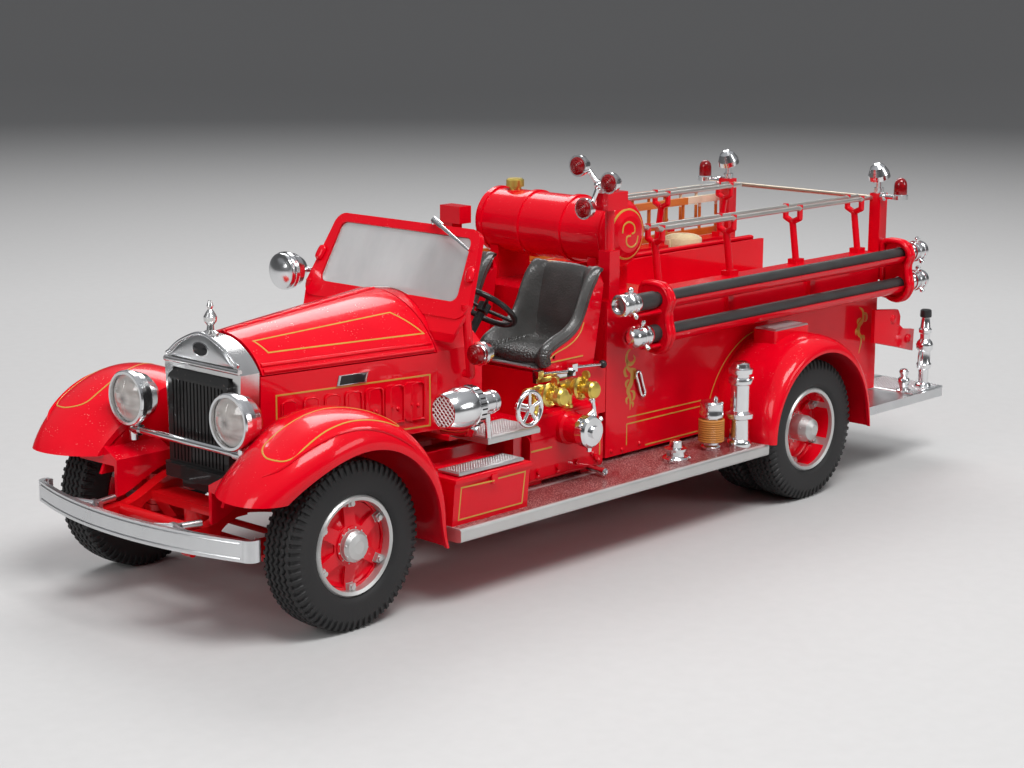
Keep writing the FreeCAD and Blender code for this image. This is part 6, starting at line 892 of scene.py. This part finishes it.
# Seats. Moulded black buckets: a rolled lip lies over the shell's edge, smooth bolsters run down
# inside it to a grained cushion, and a satin strip closes the front edge. The red flanks outside
# end open under the lip.
SEAT_Y, SEAT_HALF, SEAT_THICK, GRAIN_TOP = 18.9, 10.9, 0.9, 52.8
leather, leather_tree = new_finish("seat_leather", {"Specular IOR Level": 0.6})
# The leather runs from near black to dark grey in broad patches: partly rubbed wear, partly a painted sheen.
rubbed_wear_and_sheen = noise(leather_tree, 130.0, 4.0)
grained = calc(leather_tree, "LESS_THAN", spot_axes(leather_tree)[2], GRAIN_TOP * MM)
grain_height = calc(leather_tree, "MULTIPLY", cells(leather_tree, 2100.0, feature="SMOOTH_F1"),
                    ramp(leather_tree, grained, 0.85, 0.15))
feed(leather_tree, base=blend_colour(leather_tree, rubbed_wear_and_sheen, (0.020, 0.020, 0.019), (0.095, 0.092, 0.088)),
     rough=ramp(leather_tree, rubbed_wear_and_sheen, 0.20, 0.22), normal=bump(leather_tree, 0.9, 0.00045, grain_height))
middle_line = bent([(27.5, 48.6), (27.7, 50.2), (26.2, 51.6), (21.5, 52), (16.5, 51.7), (13, 51.9), (11.9, 54.6),
                    (11.3, 59.5), (10.3, 65), (9.3, 69.4), (8.5, 71), (7.4, 71.8), (6.4, 71.3)], 6)
wing_line = bent([(28.4, 48.4), (29, 51), (28, 53.2), (24.6, 54.9), (20.2, 56.5), (17, 58.6), (15, 61.6),
                  (13.4, 65), (11.6, 68.2), (10.2, 69.9), (9, 71.1), (7.7, 71.8), (6.4, 71.4)], 6)
seat_u = np.array([0, 0.30, 0.52, 0.62, 0.70, 0.77, 0.83, 0.88, 0.93, 0.98, 1.03, 1.07, 1.085, 1.08, 1.06])
wing_share = np.interp(seat_u, [0, 0.52, 0.62, 0.70, 0.77, 0.83, 0.88, 0.93],
                       [0, 0.02, 0.14, 0.40, 0.68, 0.88, 0.97, 1])
lip_lift = np.array([0, 0, 0, 0, 0, 0, 0.25, 0.55, 0.72, 0.62, 0.2, -0.5, -0.7, -1.1, -1.4])
seat_rise = np.linspace(0.0, 1.0, len(middle_line))[:, None]
lip_fade = np.interp(seat_rise, [0, 0.72, 0.92, 1], [1, 1, 0.3, 0])
crown = 0.5 * np.cos(np.clip(seat_u / 0.56, 0, 1) * math.pi / 2) * (1 - 0.6 * seat_rise)
tuck = 0.85 * np.exp(-((seat_u - 0.58) / 0.045) ** 2)
above_wing = unit(np.gradient(wing_line, axis=0))
above_wing = np.stack([above_wing[:, 1], -above_wing[:, 0]], axis=-1)[:, None]
half_grid = (middle_line[:, None] * (1 - wing_share)[:, None] + wing_line[:, None] * wing_share[:, None]
             + (lip_fade * lip_lift + crown - tuck)[..., None] * above_wing)
seat_top = np.concatenate([half_grid[:, :0:-1], half_grid], axis=1)
seat_under = seat_top - SEAT_THICK * above_wing
seat_y = SEAT_HALF * np.concatenate([-seat_u[:0:-1], seat_u])
band = wing_line[3:-14, None] - np.array([0.3, 4.2])[:, None] * above_wing[3:-14]
band = np.concatenate([band, band[:, ::-1]], axis=1)
for side, name in ((1, "left"), (-1, "right")):
    upper = at(seat_top[..., 0], side * SEAT_Y + seat_y, seat_top[..., 1])
    under = at(seat_under[..., 0], side * SEAT_Y + 0.985 * seat_y, seat_under[..., 1])
    seat_grid = capped(np.concatenate([upper, under[:, ::-1]], axis=1))
    seat = put("seat_bucket_" + name, leather, skin(seat_grid, wrap_v=True))
    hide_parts("seat_cushions")
    flank = at(band[..., 0], side * np.array([30.28, 30.28, 29.6, 29.6]), band[..., 1])
    put("seat_flank_" + name, red, skin(capped(flank)[:-1], wrap_v=True), smooth=False)
    strip = tube(at(28.15, side * np.linspace(9.6, 28.2, 9), 47.7), 0.75, 10, flat=0.9)
    put("seat_strip_" + name, satin, strip)


# Suction hoses. Two hard rubber hoses with fine moulded rings lie in the troughs, each with a
# chrome swivel coupling of three lugs at both ends. The upper front coupling is open.
hose_rubber, hose_tree = new_finish("hose_rubber", {"Specular IOR Level": 0.4})
hose_bloom = noise(hose_tree, 420.0, 5.0, (0.3, 1.0, 1.0))
feed(hose_tree, base=blend_colour(hose_tree, hose_bloom, (0.012, 0.012, 0.013), (0.050, 0.049, 0.048)),
     rough=ramp(hose_tree, hose_bloom, 0.25, 0.36), normal=bump(hose_tree, 0.3, 0.0002, hose_bloom))
COUPLING = [(0, 0), (0, 2.3), (0.5, 2.5), (1.1, 2.5), (1.2, 2.9), (1.8, 3), (2, 2.7), (3.1, 2.65), (3.2, 3.1),
            (3.9, 3.2), (4.1, 2.8), (5.6, 2.75), (5.7, 3), (6.6, 3.05), (7.2, 2.9), (7.4, 2.6)]
OPEN_END, SHUT_END = [(7.4, 2.1), (6.2, 2), (6, 1.2), (6.1, 0)], [(7.9, 2.1), (8.2, 1.2), (8.3, 0)]
LUG = [(2.2, 0), (2.2, 0.55), (3.5, 0.5), (3.7, 0.75), (4.2, 0.8), (4.6, 0.55), (4.7, 0)]


def coupling(x, height, sign, end):
    """Turned coupling from the hose's end outwards along sign, with rings, a knurled band and three lugs."""
    lugs = [lathe(LUG, (x + sign * 3.6, HOSE_Y, height), (0.0, math.cos(a), math.sin(a)), 12)
            for a in np.radians([75, 195, 315])]
    return joined([lathe(COUPLING + end, (x, HOSE_Y, height), (sign, 0, 0), 36)] + lugs)


HOSE_Y, HOSE_R, CUFF_R, CUFF, RING_PITCH, RING_RISE, END_LONG = 37.0, 1.9, 2.35, 7.0, 0.8, 0.05, 7.4
hoses, fronts, rears = [], [], []
for height, front, rear, front_end in ((62.5, 8.4, -135.0, OPEN_END), (53.5, 3.2, -136.0, SHUT_END)):
    run = front - END_LONG - (rear + CUFF)
    along = np.arange(0.0, run, 0.2)
    rings = np.where(along > run - CUFF, CUFF_R, HOSE_R + RING_RISE * np.cos(along * 2 * math.pi / RING_PITCH))
    hoses.append(lathe([(0, 0), *zip(along, rings), (along[-1], 0)], (rear + CUFF, HOSE_Y, height), ALONG_X, 20))
    fronts.append(coupling(front - 7.6, height, 1, front_end))
    rears.append(coupling(rear + 7.2, height, -1, SHUT_END))
hose_piece = put("suction_hose_runs", hose_rubber, joined(hoses))
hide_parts("suction_hoses")
put("hose_couplings_front", chrome, joined(fronts))
put("hose_couplings_rear", chrome, joined(rears))


# Hose brackets. The scalloped end brackets are double castings: a second rim stands behind each
# plate, and webs join the two. A lamp bracket of the same red hangs behind the body's rear corner.
lobe = bent([(31.6, 65.4), (35.3, 66.3), (38.9, 65.5), (40.9, 62.4), (40, 59.3), (40.3, 56.4), (41, 52.8),
             (39.4, 49.6), (36.6, 48.5), (33.4, 49.6), (31.8, 52.8), (31.4, 59.4)], 6, closed=True)
rims = [tube(at(x, lobe[:, 0], lobe[:, 1]), 0.8, 10, closed=True, ref=ALONG_X) for x in (-8.0, -9.6, -122.8, -124.6)]
rims += [tube(at(np.linspace(-8.2, web_end, 9), 37.6, z), np.linspace(1.5, 0.8, 9), 10, flat=0.55)
         for web_end, z in ((3.4, 59.4), (-0.8, 50.4))]
put("hose_bracket_rims", red, joined(rims))
corner = np.array([(-113, 46.6), (-125.4, 45.2), (-126.6, 43.2), (-126.4, 40.4), (-128.6, 38.9), (-134.9, 38),
                   (-134.6, 31.2), (-125, 33.6), (-113, 36.4)])
middle = corner.mean(axis=0)
layers = [on_side(middle + (corner - middle) * size, y)
          for size, y in ((0, 34.8), (1, 34.8), (1, 36), (0.96, 36.3), (0, 36.3))]
bosses = dome([(-122.4, 36.2, 42.6), (-131.6, 36.2, 35.4)], 1.5, ALONG_Y, rise=0.5, sides=20, rings=5)
put("rear_bracket", red, joined([skin(np.stack(layers), wrap_v=True), bosses]))


# Bed divider. A thin red board with a rolled top edge stands in the bed between the hose and the
# walkway, and hides the rear roll's lower part. One section is carried along the bed.
board_yz = np.array([(-15.6, 50), (-15.6, 62.2), (-15.2, 62.6), (-15.2, 63.2), (-15.7, 63.5), (-16.7, 63.5),
                     (-17.2, 63.2), (-17.2, 62.6), (-16.8, 62.2), (-16.8, 50)])
board_x = np.array([-57.0, -57.0, -57.4, -120.1, -120.5, -120.5])[:, None]
board_size = np.array([0, 0.97, 1, 1, 0.97, 0])[:, None, None]
board = board_yz.mean(axis=0) + (board_yz - board_yz.mean(axis=0)) * board_size
put("bed_divider", red, skin(at(board_x, board[..., 0], board[..., 1]), wrap_v=True), smooth=False)


# Rolled hoses. Cream woven hose is rolled flat and stacked in the bed behind the tank. A flat
# section follows a spiral, one turn outside the other, and the top roll slumps at its rim.
canvas, canvas_tree = new_finish("hose_canvas", {"Sheen Weight": 0.3})
weave = noise(canvas_tree, 1800.0, 3.0)
feed(canvas_tree, base=blend_colour(canvas_tree, weave, (0.60, 0.48, 0.26), (0.80, 0.70, 0.46)),
     rough=ramp(canvas_tree, weave, 0.2, 0.7), normal=bump(canvas_tree, 0.4, 0.0001, weave))
ROLL_TURNS, ROLL_STEPS, ROLL_Z, ROLL_HIGH = 8, 28, 52.45, 4.9
spin = np.linspace(0.0, ROLL_TURNS * 2 * math.pi, ROLL_TURNS * ROLL_STEPS)[:, None]
spin_r = np.linspace(1.0, 4.95, len(spin))[:, None] + np.array([-0.22, -0.12, 0.12, 0.22, 0.22, 0.12, -0.12, -0.22])
section_z = np.array([2.05, 2.3, 2.3, 2.05, -2.05, -2.3, -2.3, -2.05])
slump = -1.3 * (section_z > 0) * np.linspace(0.0, 1.0, len(spin))[:, None] ** 3
rolls = []
for x, y, size, step, high in ((-27.5, -18.9, 1.0, ROLL_HIGH, 3), (-38.5, -18.9, 1.0, ROLL_HIGH, 2),
                               (-49.5, -18.9, 1.0, ROLL_HIGH, 2), (-95.0, -23.6, 1.22, 1.1 * ROLL_HIGH, 3)):
    for count in range(high):
        z = ROLL_Z + step * count + section_z + slump * (count == high - 1)
        rolls.append(skin(capped(at(x + size * spin_r * np.cos(spin), y + size * spin_r * np.sin(spin), z)),
                          wrap_v=True))
roll_piece = put("hose_rolls", canvas, joined(rolls))
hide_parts("hose_load")


# Treads. The cab steps, box lids, rear fender pads and the tail step carry bright plates with
# raised dots inside a plain border, moulded, plated and let in flush.

def tread(x0, x1, y0, y1, z, pitch, border=1.0, size=0.26, rise=0.55):
    """Bevelled plate with a field of small domes: its outline steps in twice as it rises."""
    x, y = np.array([x0, x1, x1, x0]), np.array([y0, y0, y1, y1])
    inset = np.array([0, 0, 0.22, 0.45])[:, None]
    up = np.array([-0.2, rise * 0.5, rise * 0.85, rise])[:, None]
    rings = at(x + inset * np.array([1, -1, -1, 1]), y + inset * np.array([1, 1, -1, -1]), z + up)
    gx = np.arange(x0 + border + pitch / 2, x1 - border, pitch)
    gy = np.arange(y0 + border + pitch / 2, y1 - border, pitch)
    spots = at(gx[:, None], gy, z + rise).reshape(-1, 3)
    return joined([skin(capped(rings), wrap_v=True), dome(spots, size, ALONG_Z, rise=0.7, sides=6, rings=3)])


DOT_PITCH, TAIL_PITCH = 0.85, 1.1
tread_plate = plated("tread_plate", (0.62, 0.62, 0.62), (0.44, 0.44, 0.44), 0.30, 0.48)
treads = (("step_tread_", tread(40.6, 58.8, 26.7, 39.1, 36.2, DOT_PITCH)),
          ("box_tread_", tread(54.2, 76.6, 39.6, 46.6, 31.8, DOT_PITCH)),
          ("fender_tread_", tread(-70.4, -55.0, 34.2, 41.4, 48.2, DOT_PITCH)))
for stem, plate in treads:
    put(stem + "left", tread_plate, plate, smooth=False)
for stem, plate in treads:
    put(stem + "right", tread_plate, mirrored(plate), smooth=False)
tail_dots = [tread(-140.0, -123.0, y, y + 21.4, 20.38, TAIL_PITCH, border=0.6, size=0.32, rise=0.3)
             for y in (-44.0, -21.8, 0.4, 22.6)]
put("tail_tread", satin, joined(tail_dots), smooth=False)
dress(satin, "tail_step")


# Running boards. Each plank is dark red with a speckled tread, silver edges and a silver inner
# strip. Its apron is red, and the cab step is bright. All is paint on one moulding.
SILVER_BOXES = (((-60, 48.7, 10), (90, 60, 19.9)), ((78.3, 20, 10), (90, 60, 19.9)),
                ((-60, 26.0, 19.5), (90, 27.5, 20.2)), ((12.5, 35.4, 19.4), (43.0, 36.6, 20.2)),
                ((39, 26.2, 33.5), (60, 41, 37)))
PLANK_TOP = ((-60, 20, 19.4), (90, 60, 19.9))


def board_paint(name):
    """Red where no mask is 1: the plank's top is speckled, its edges, strips and the cab step are silver."""
    finish, tree, smear, _ = coated(name, {"Coat Weight": 0.4, "Coat Roughness": 0.12}, 0.08)
    bright = either(tree, *[box_mask(tree, low, high) for low, high in SILVER_BOXES])
    top = box_mask(tree, *PLANK_TOP)
    fleck = calc(tree, "LESS_THAN", cells(tree, 2600.0), ramp(tree, smear, 0.45, 0.14))
    base = blend_colour(tree, top, blend_colour(tree, smear, DEEP_RED, RED),
                        blend_colour(tree, fleck, (0.15, 0.012, 0.014), (0.58, 0.40, 0.38)))
    metal = blend_colour(tree, smear, (0.52, 0.52, 0.51), (0.68, 0.68, 0.67))
    rough = ramp(tree, top, 0.22, ramp(tree, bright, 0.16, 0.14))
    feed(tree, base=blend_colour(tree, bright, base, metal), metal=calc(tree, "MULTIPLY", bright, 0.9),
         rough=ramp(tree, smear, 0.15, rough))
    return finish


dress(board_paint("board_paint"), "running_boards")


# Bumper ridges. Two fine ridges are rolled into the satin plated bumper and follow its bow from
# end to end. One round section is carried along each.
BOW_X, BOW_DEPTH, BOW_HALF = 140.92, 7.0, 39.7
bow_y = np.linspace(-36.8, 36.8, 41)
ridges = [tube(at(BOW_X - BOW_DEPTH * (bow_y / BOW_HALF) ** 2, bow_y, z), 0.3, 8) for z in (25.4, 22.0)]
put("bumper_ridges", satin, joined(ridges))


# Body sides. A chrome pull of bent wire hangs on each side by the front edge, and red bolt heads
# with low crowns hold the corner above the board.
pull = bent([(-7.4, 42.4), (-6.6, 41.6), (-7.6, 39), (-8.6, 36.4), (-9.6, 35.4), (-10.4, 36.2), (-9.4, 38.8),
             (-8.4, 41.6)], 6, closed=True)
both_sides("side_pull", chrome, tube(on_side(pull, 31.3), 0.42, 10, closed=True, ref=ALONG_Y))
side_bolts = dome(on_side([(-1.9, 21.9), (-9.1, 22.4), (2.6, 22.2)]), 0.6, ALONG_Y, rise=0.7, sides=12)
both_sides("side_bolts", red, side_bolts)


# Board fittings. A standing pipe with three ears, an eared adapter and a coil fitting with a small
# knob stand on the left running board. All are turned, chrome plated and pressed into the plank.
BOARD_Z = 19.7
PIPE_AT, ADAPTER_AT, COIL_AT = (-34.2, 45.2, BOARD_Z), (-9, 43.2, BOARD_Z), (-26.4, 41.6, BOARD_Z)
pipe = [(0, 0), (0, 3.3), (1.2, 3.5), (1.8, 3.2), (2.2, 2.8), (7.6, 2.65), (7.9, 3), (8.2, 3.9), (9.4, 4), (9.8, 3),
        (10.1, 2.7), (17.2, 2.65), (17.6, 3.2), (18.6, 3.4), (19.2, 3.1), (19.4, 2.5), (20.2, 2.5), (20.4, 3.3),
        (21.6, 3.4), (22, 2.6), (23, 2.4), (23.5, 1.6), (23.5, 0)]
adapter = [(0, 0), (0, 3.4), (0.9, 3.6), (1.3, 3.3), (1.5, 2.4), (2.6, 2.3), (2.8, 2.9), (3.5, 3), (3.8, 1.7),
           (5.3, 1.6), (5.6, 1.3), (5.6, 0)]
coil = [(0, 0), (0, 2.6), (0.8, 2.8), (1.4, 2.3), (2.2, 2.3), (2.3, 2.9), (8.2, 2.9), (8.3, 2.4), (8.8, 2.4),
        (9, 3.2), (10, 3.3), (10.3, 3.15), (12.4, 3.15), (12.8, 3.3), (13.3, 3), (13.5, 0)]
pipe_ear = [(3, 0), (3, 0.5), (4.2, 0.5), (4.4, 0.3), (4.45, 0)]
adapter_ear = [(3.2, 0), (3.2, 0.6), (4.6, 0.55), (4.9, 0.4), (5, 0)]
turned = [lathe(profile, place, ALONG_Z, 36)
          for profile, place in ((pipe, PIPE_AT), (adapter, ADAPTER_AT), (coil, COIL_AT))]
for a in np.radians([20.0, 140.0, 260.0]):
    out = np.array([math.cos(a), math.sin(a), 0.0])
    turned += [lathe(pipe_ear, PIPE_AT + np.array([0, 0, 18.8]) - out * 0.8, out, 10),
               lathe(adapter_ear, ADAPTER_AT + np.array([0, 0, 0.7]) - out * 0.9, out, 10)]
turned.append(lathe([(0, 0), (0, 0.7), (0.9, 0.75), (1.2, 0.4), (1.2, 0)], (-27.4, 42, 33), ALONG_Z, 12))
fittings_piece = put("board_fitting_set", chrome, joined(turned))
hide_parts("board_fittings")


# Tail fittings. A nozzle with a black tip and two wire handles and a short stub with its cock
# stand on the left end of the tail step. Both are turned and chrome plated.
NOZZLE_X, NOZZLE_Y, STUB_X, STUB_Y, TAIL_Z, GRIP_Z = -134.0, 40.6, -124.6, 39.6, 20.4, 29.6
dial_face = enamel("dial_black", (0.03, 0.03, 0.032), (0.015, 0.015, 0.016), rough=0.3)
nozzle = [(0, 0), (0, 2.3), (0.7, 2.5), (1.3, 2.2), (1.6, 1.5), (5.8, 1.6), (6.2, 2.1), (7.4, 2.3), (8, 1.9),
          (11.4, 1.9), (12, 2.4), (13.6, 2.6), (14.4, 2.2), (15.2, 1.5), (16.8, 1.5), (17.2, 1.9), (18.2, 2),
          (18.8, 1.5), (21.9, 1.3), (22, 0)]
stub = [(0, 0), (0, 2.1), (0.6, 2.2), (1, 1.2), (2, 1.4), (3, 1.9), (4, 1.7), (4.7, 1), (5.3, 1.2), (6.2, 1.5),
        (6.9, 1.1), (7.2, 0)]
cock = [(-2.6, 0), (-2.6, 0.9), (-1.9, 1.5), (-1, 1.5), (-0.6, 0.9), (2.4, 0.8), (2.6, 0)]
grip = np.linspace(-1.9, 1.9, 21)
rear_parts = [lathe(nozzle, (NOZZLE_X, NOZZLE_Y, TAIL_Z), ALONG_Z, 32),
              lathe(stub, (STUB_X, STUB_Y, TAIL_Z), ALONG_Z, 28)]
rear_parts += [tube(at(NOZZLE_X + sign * (1.5 + 1.3 * np.cos(grip)), NOZZLE_Y, GRIP_Z + 2.9 * np.sin(grip)), 0.42, 8,
                    ref=ALONG_Y) for sign in (1, -1)]
rear_parts.append(lathe(cock, (STUB_X, STUB_Y, TAIL_Z + 3), (0.8, 0.5, 0.35), 16))
rear_set = put("rear_fitting_set", chrome, joined(rear_parts))
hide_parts("rear_fittings")
tip = [(0, 0), (0, 1.7), (0.5, 1.8), (2, 1.7), (2.3, 1.4), (2.4, 0)]
put("nozzle_tip", dial_face, lathe(tip, (NOZZLE_X, NOZZLE_Y, TAIL_Z + 22), ALONG_Z, 24))


# Wound cord. Tan cord is wound tightly round the coil fitting on the left board, turn beside
# turn. It is moulded with the fitting, and its profile is a row of small humps.
CORD_LONG, CORD_R, CORD_HUMP, CORD_PITCH = 6.2, 3.35, 0.22, 0.62
cord_up = np.linspace(0.0, CORD_LONG, 101)
cord_out = CORD_R + CORD_HUMP * np.abs(np.sin(cord_up * math.pi / CORD_PITCH))
cord_tan = enamel("cord_tan", (0.60, 0.26, 0.06), (0.44, 0.17, 0.035), rough=0.5, ripple_share=0.15)
cord = [(0, 2), *zip(cord_up, cord_out), (CORD_LONG, 2)]
put("cord_winding", cord_tan, lathe(cord, COIL_AT + np.array([0, 0, 2.2]), ALONG_Z, 40))


# Pump side trim. The throttle rod with its link and knobs and the drain pipe with its cap are
# plated, and the box corner's big bolts are red. All are pressed into the pump's housing.
put("throttle_rods", chrome, joined([
    tube([(24.2, 42.6, 41), (23.6, 42.8, 37), (23, 43, 33), (22.8, 43, 31)], 0.55, 10),
    tube([(23.6, 42.6, 38.6), (26, 42.4, 37.2), (28.6, 42, 35.4)], 0.6, 10),
    dome([(24.2, 42.4, 41.2), (22.8, 42.8, 31), (28.6, 42.2, 35.4)], 0.95, ALONG_Y, rise=0.8, sides=14),
    tube([(17, 34, 21.4), (17.3, 37, 21.4), (17.8, 40.6, 21.2)], 0.8, 10),
    lathe([(-0.6, 0), (-0.6, 1), (0.9, 1), (1.1, 0.7), (0.4, 0.6), (0.4, 0)], (17.8, 40.8, 21.2), (0.1, 1, 0), 16)]))
pump_bolts = dome(on_side([(37.1, 22.5), (29.6, 22.6), (16.3, 25), (13.9, 22.7)], 35.6), 0.95, ALONG_Y, rise=0.8,
                  sides=6, rings=3)
put("pump_bolts_left", red, pump_bolts, smooth=False)


# Cab fittings. A row of black dials in chrome bezels is set in the dash, three black pedals stand
# on the floor, and a long black gear lever with a turned knob rises between the seats.
DASH_X, dials, bezels = 46.9, [], []
for y, z, size in ((6, 61.6, 2), (-6, 61.6, 2), (0, 62.4, 2.4), (11, 60, 1.3), (-11, 60, 1.3)):
    dial = [(0, 0), (0, size), (0.35, size), (0.42, size * 0.8), (0.45, 0)]
    bezel = [(0, size * 0.98), (0, size * 1.16), (0.55, size * 1.12), (0.65, size), (0.4, size * 0.94)]
    dials.append(lathe(dial, (DASH_X, y, z), (-1, 0, 0), 28))
    bezels.append(lathe(bezel, (DASH_X, y, z), (-1, 0, 0), 28))
put("dash_dials", dial_face, joined(dials))
put("dash_bezels", chrome, joined(bezels))
lever_run = bent([(40, 2, 34.6), (39.4, 1.8, 42), (36.6, 1, 50), (34.4, 0.4, 56.4)], 8)
lever_knob = [(-1.2, 0), (-1, 0.7), (0, 1.2), (0.9, 0.8), (1.2, 0)]
put("gear_lever", dial_face, joined([tube(lever_run, 0.55, 10, ref=ALONG_Y),
                                     lathe(lever_knob, (34.2, 0.3, 57.0), ALONG_Z, 18)]))
pad = np.linspace(0.0, 1.0, 9)
pad_r = 1.5 * np.sin((0.12 + pad * 0.76) * math.pi) ** 0.4
pedals = []
for y in (10.6, 15.0, 19.2):
    pedals.append(tube(at(46.2 - 1.6 * pad, y, 39.2 + 3.4 * pad), pad_r, 12, flat=0.3, ref=(1.0, 0.0, 0.4)))
    pedals.append(tube(at(46.6 - 0.9 * pad, y, 34.8 + 5.6 * pad), 0.4, 8, ref=ALONG_Y))
put("pedals", dial_face, joined(pedals))


# Grille and steering. The grille, the column and the wheel are moulded in satin black plastic,
# with a stronger ripple than the enamel has.
grille_black = enamel("grille_black", (0.022, 0.022, 0.022), (0.014, 0.014, 0.014), rough=0.42, ripple_share=0.15)
dress(grille_black, "grille", "steering_column", "steering_wheel")


# Ladders. Both are varnished wood with its grain along the rails, and hang on the right side.
# Their rail ends are painted cream at the rear.
CREAM_X, CREAM_Z = -108.5, 71.5
wood, wood_tree = new_finish("ladder_wood", {"Coat Weight": 0.4, "Coat Roughness": 0.2})
grain = noise(wood_tree, 1500.0, 4.0, (0.06, 1.0, 1.0), Distortion=0.4)
wood_x, _, wood_z = spot_axes(wood_tree)
cream = calc(wood_tree, "MULTIPLY", calc(wood_tree, "LESS_THAN", wood_x, CREAM_X * MM),
             calc(wood_tree, "GREATER_THAN", wood_z, CREAM_Z * MM))
wood_tint = blend_colour(wood_tree, grain, (0.50, 0.11, 0.008), (0.72, 0.22, 0.02))
feed(wood_tree, base=blend_colour(wood_tree, cream, wood_tint, (0.80, 0.70, 0.52)),
     rough=ramp(wood_tree, grain, 0.25, 0.3), normal=bump(wood_tree, 0.2, 0.0001, grain))
dress(wood, "ladders")


bpy.context.view_layer.update()
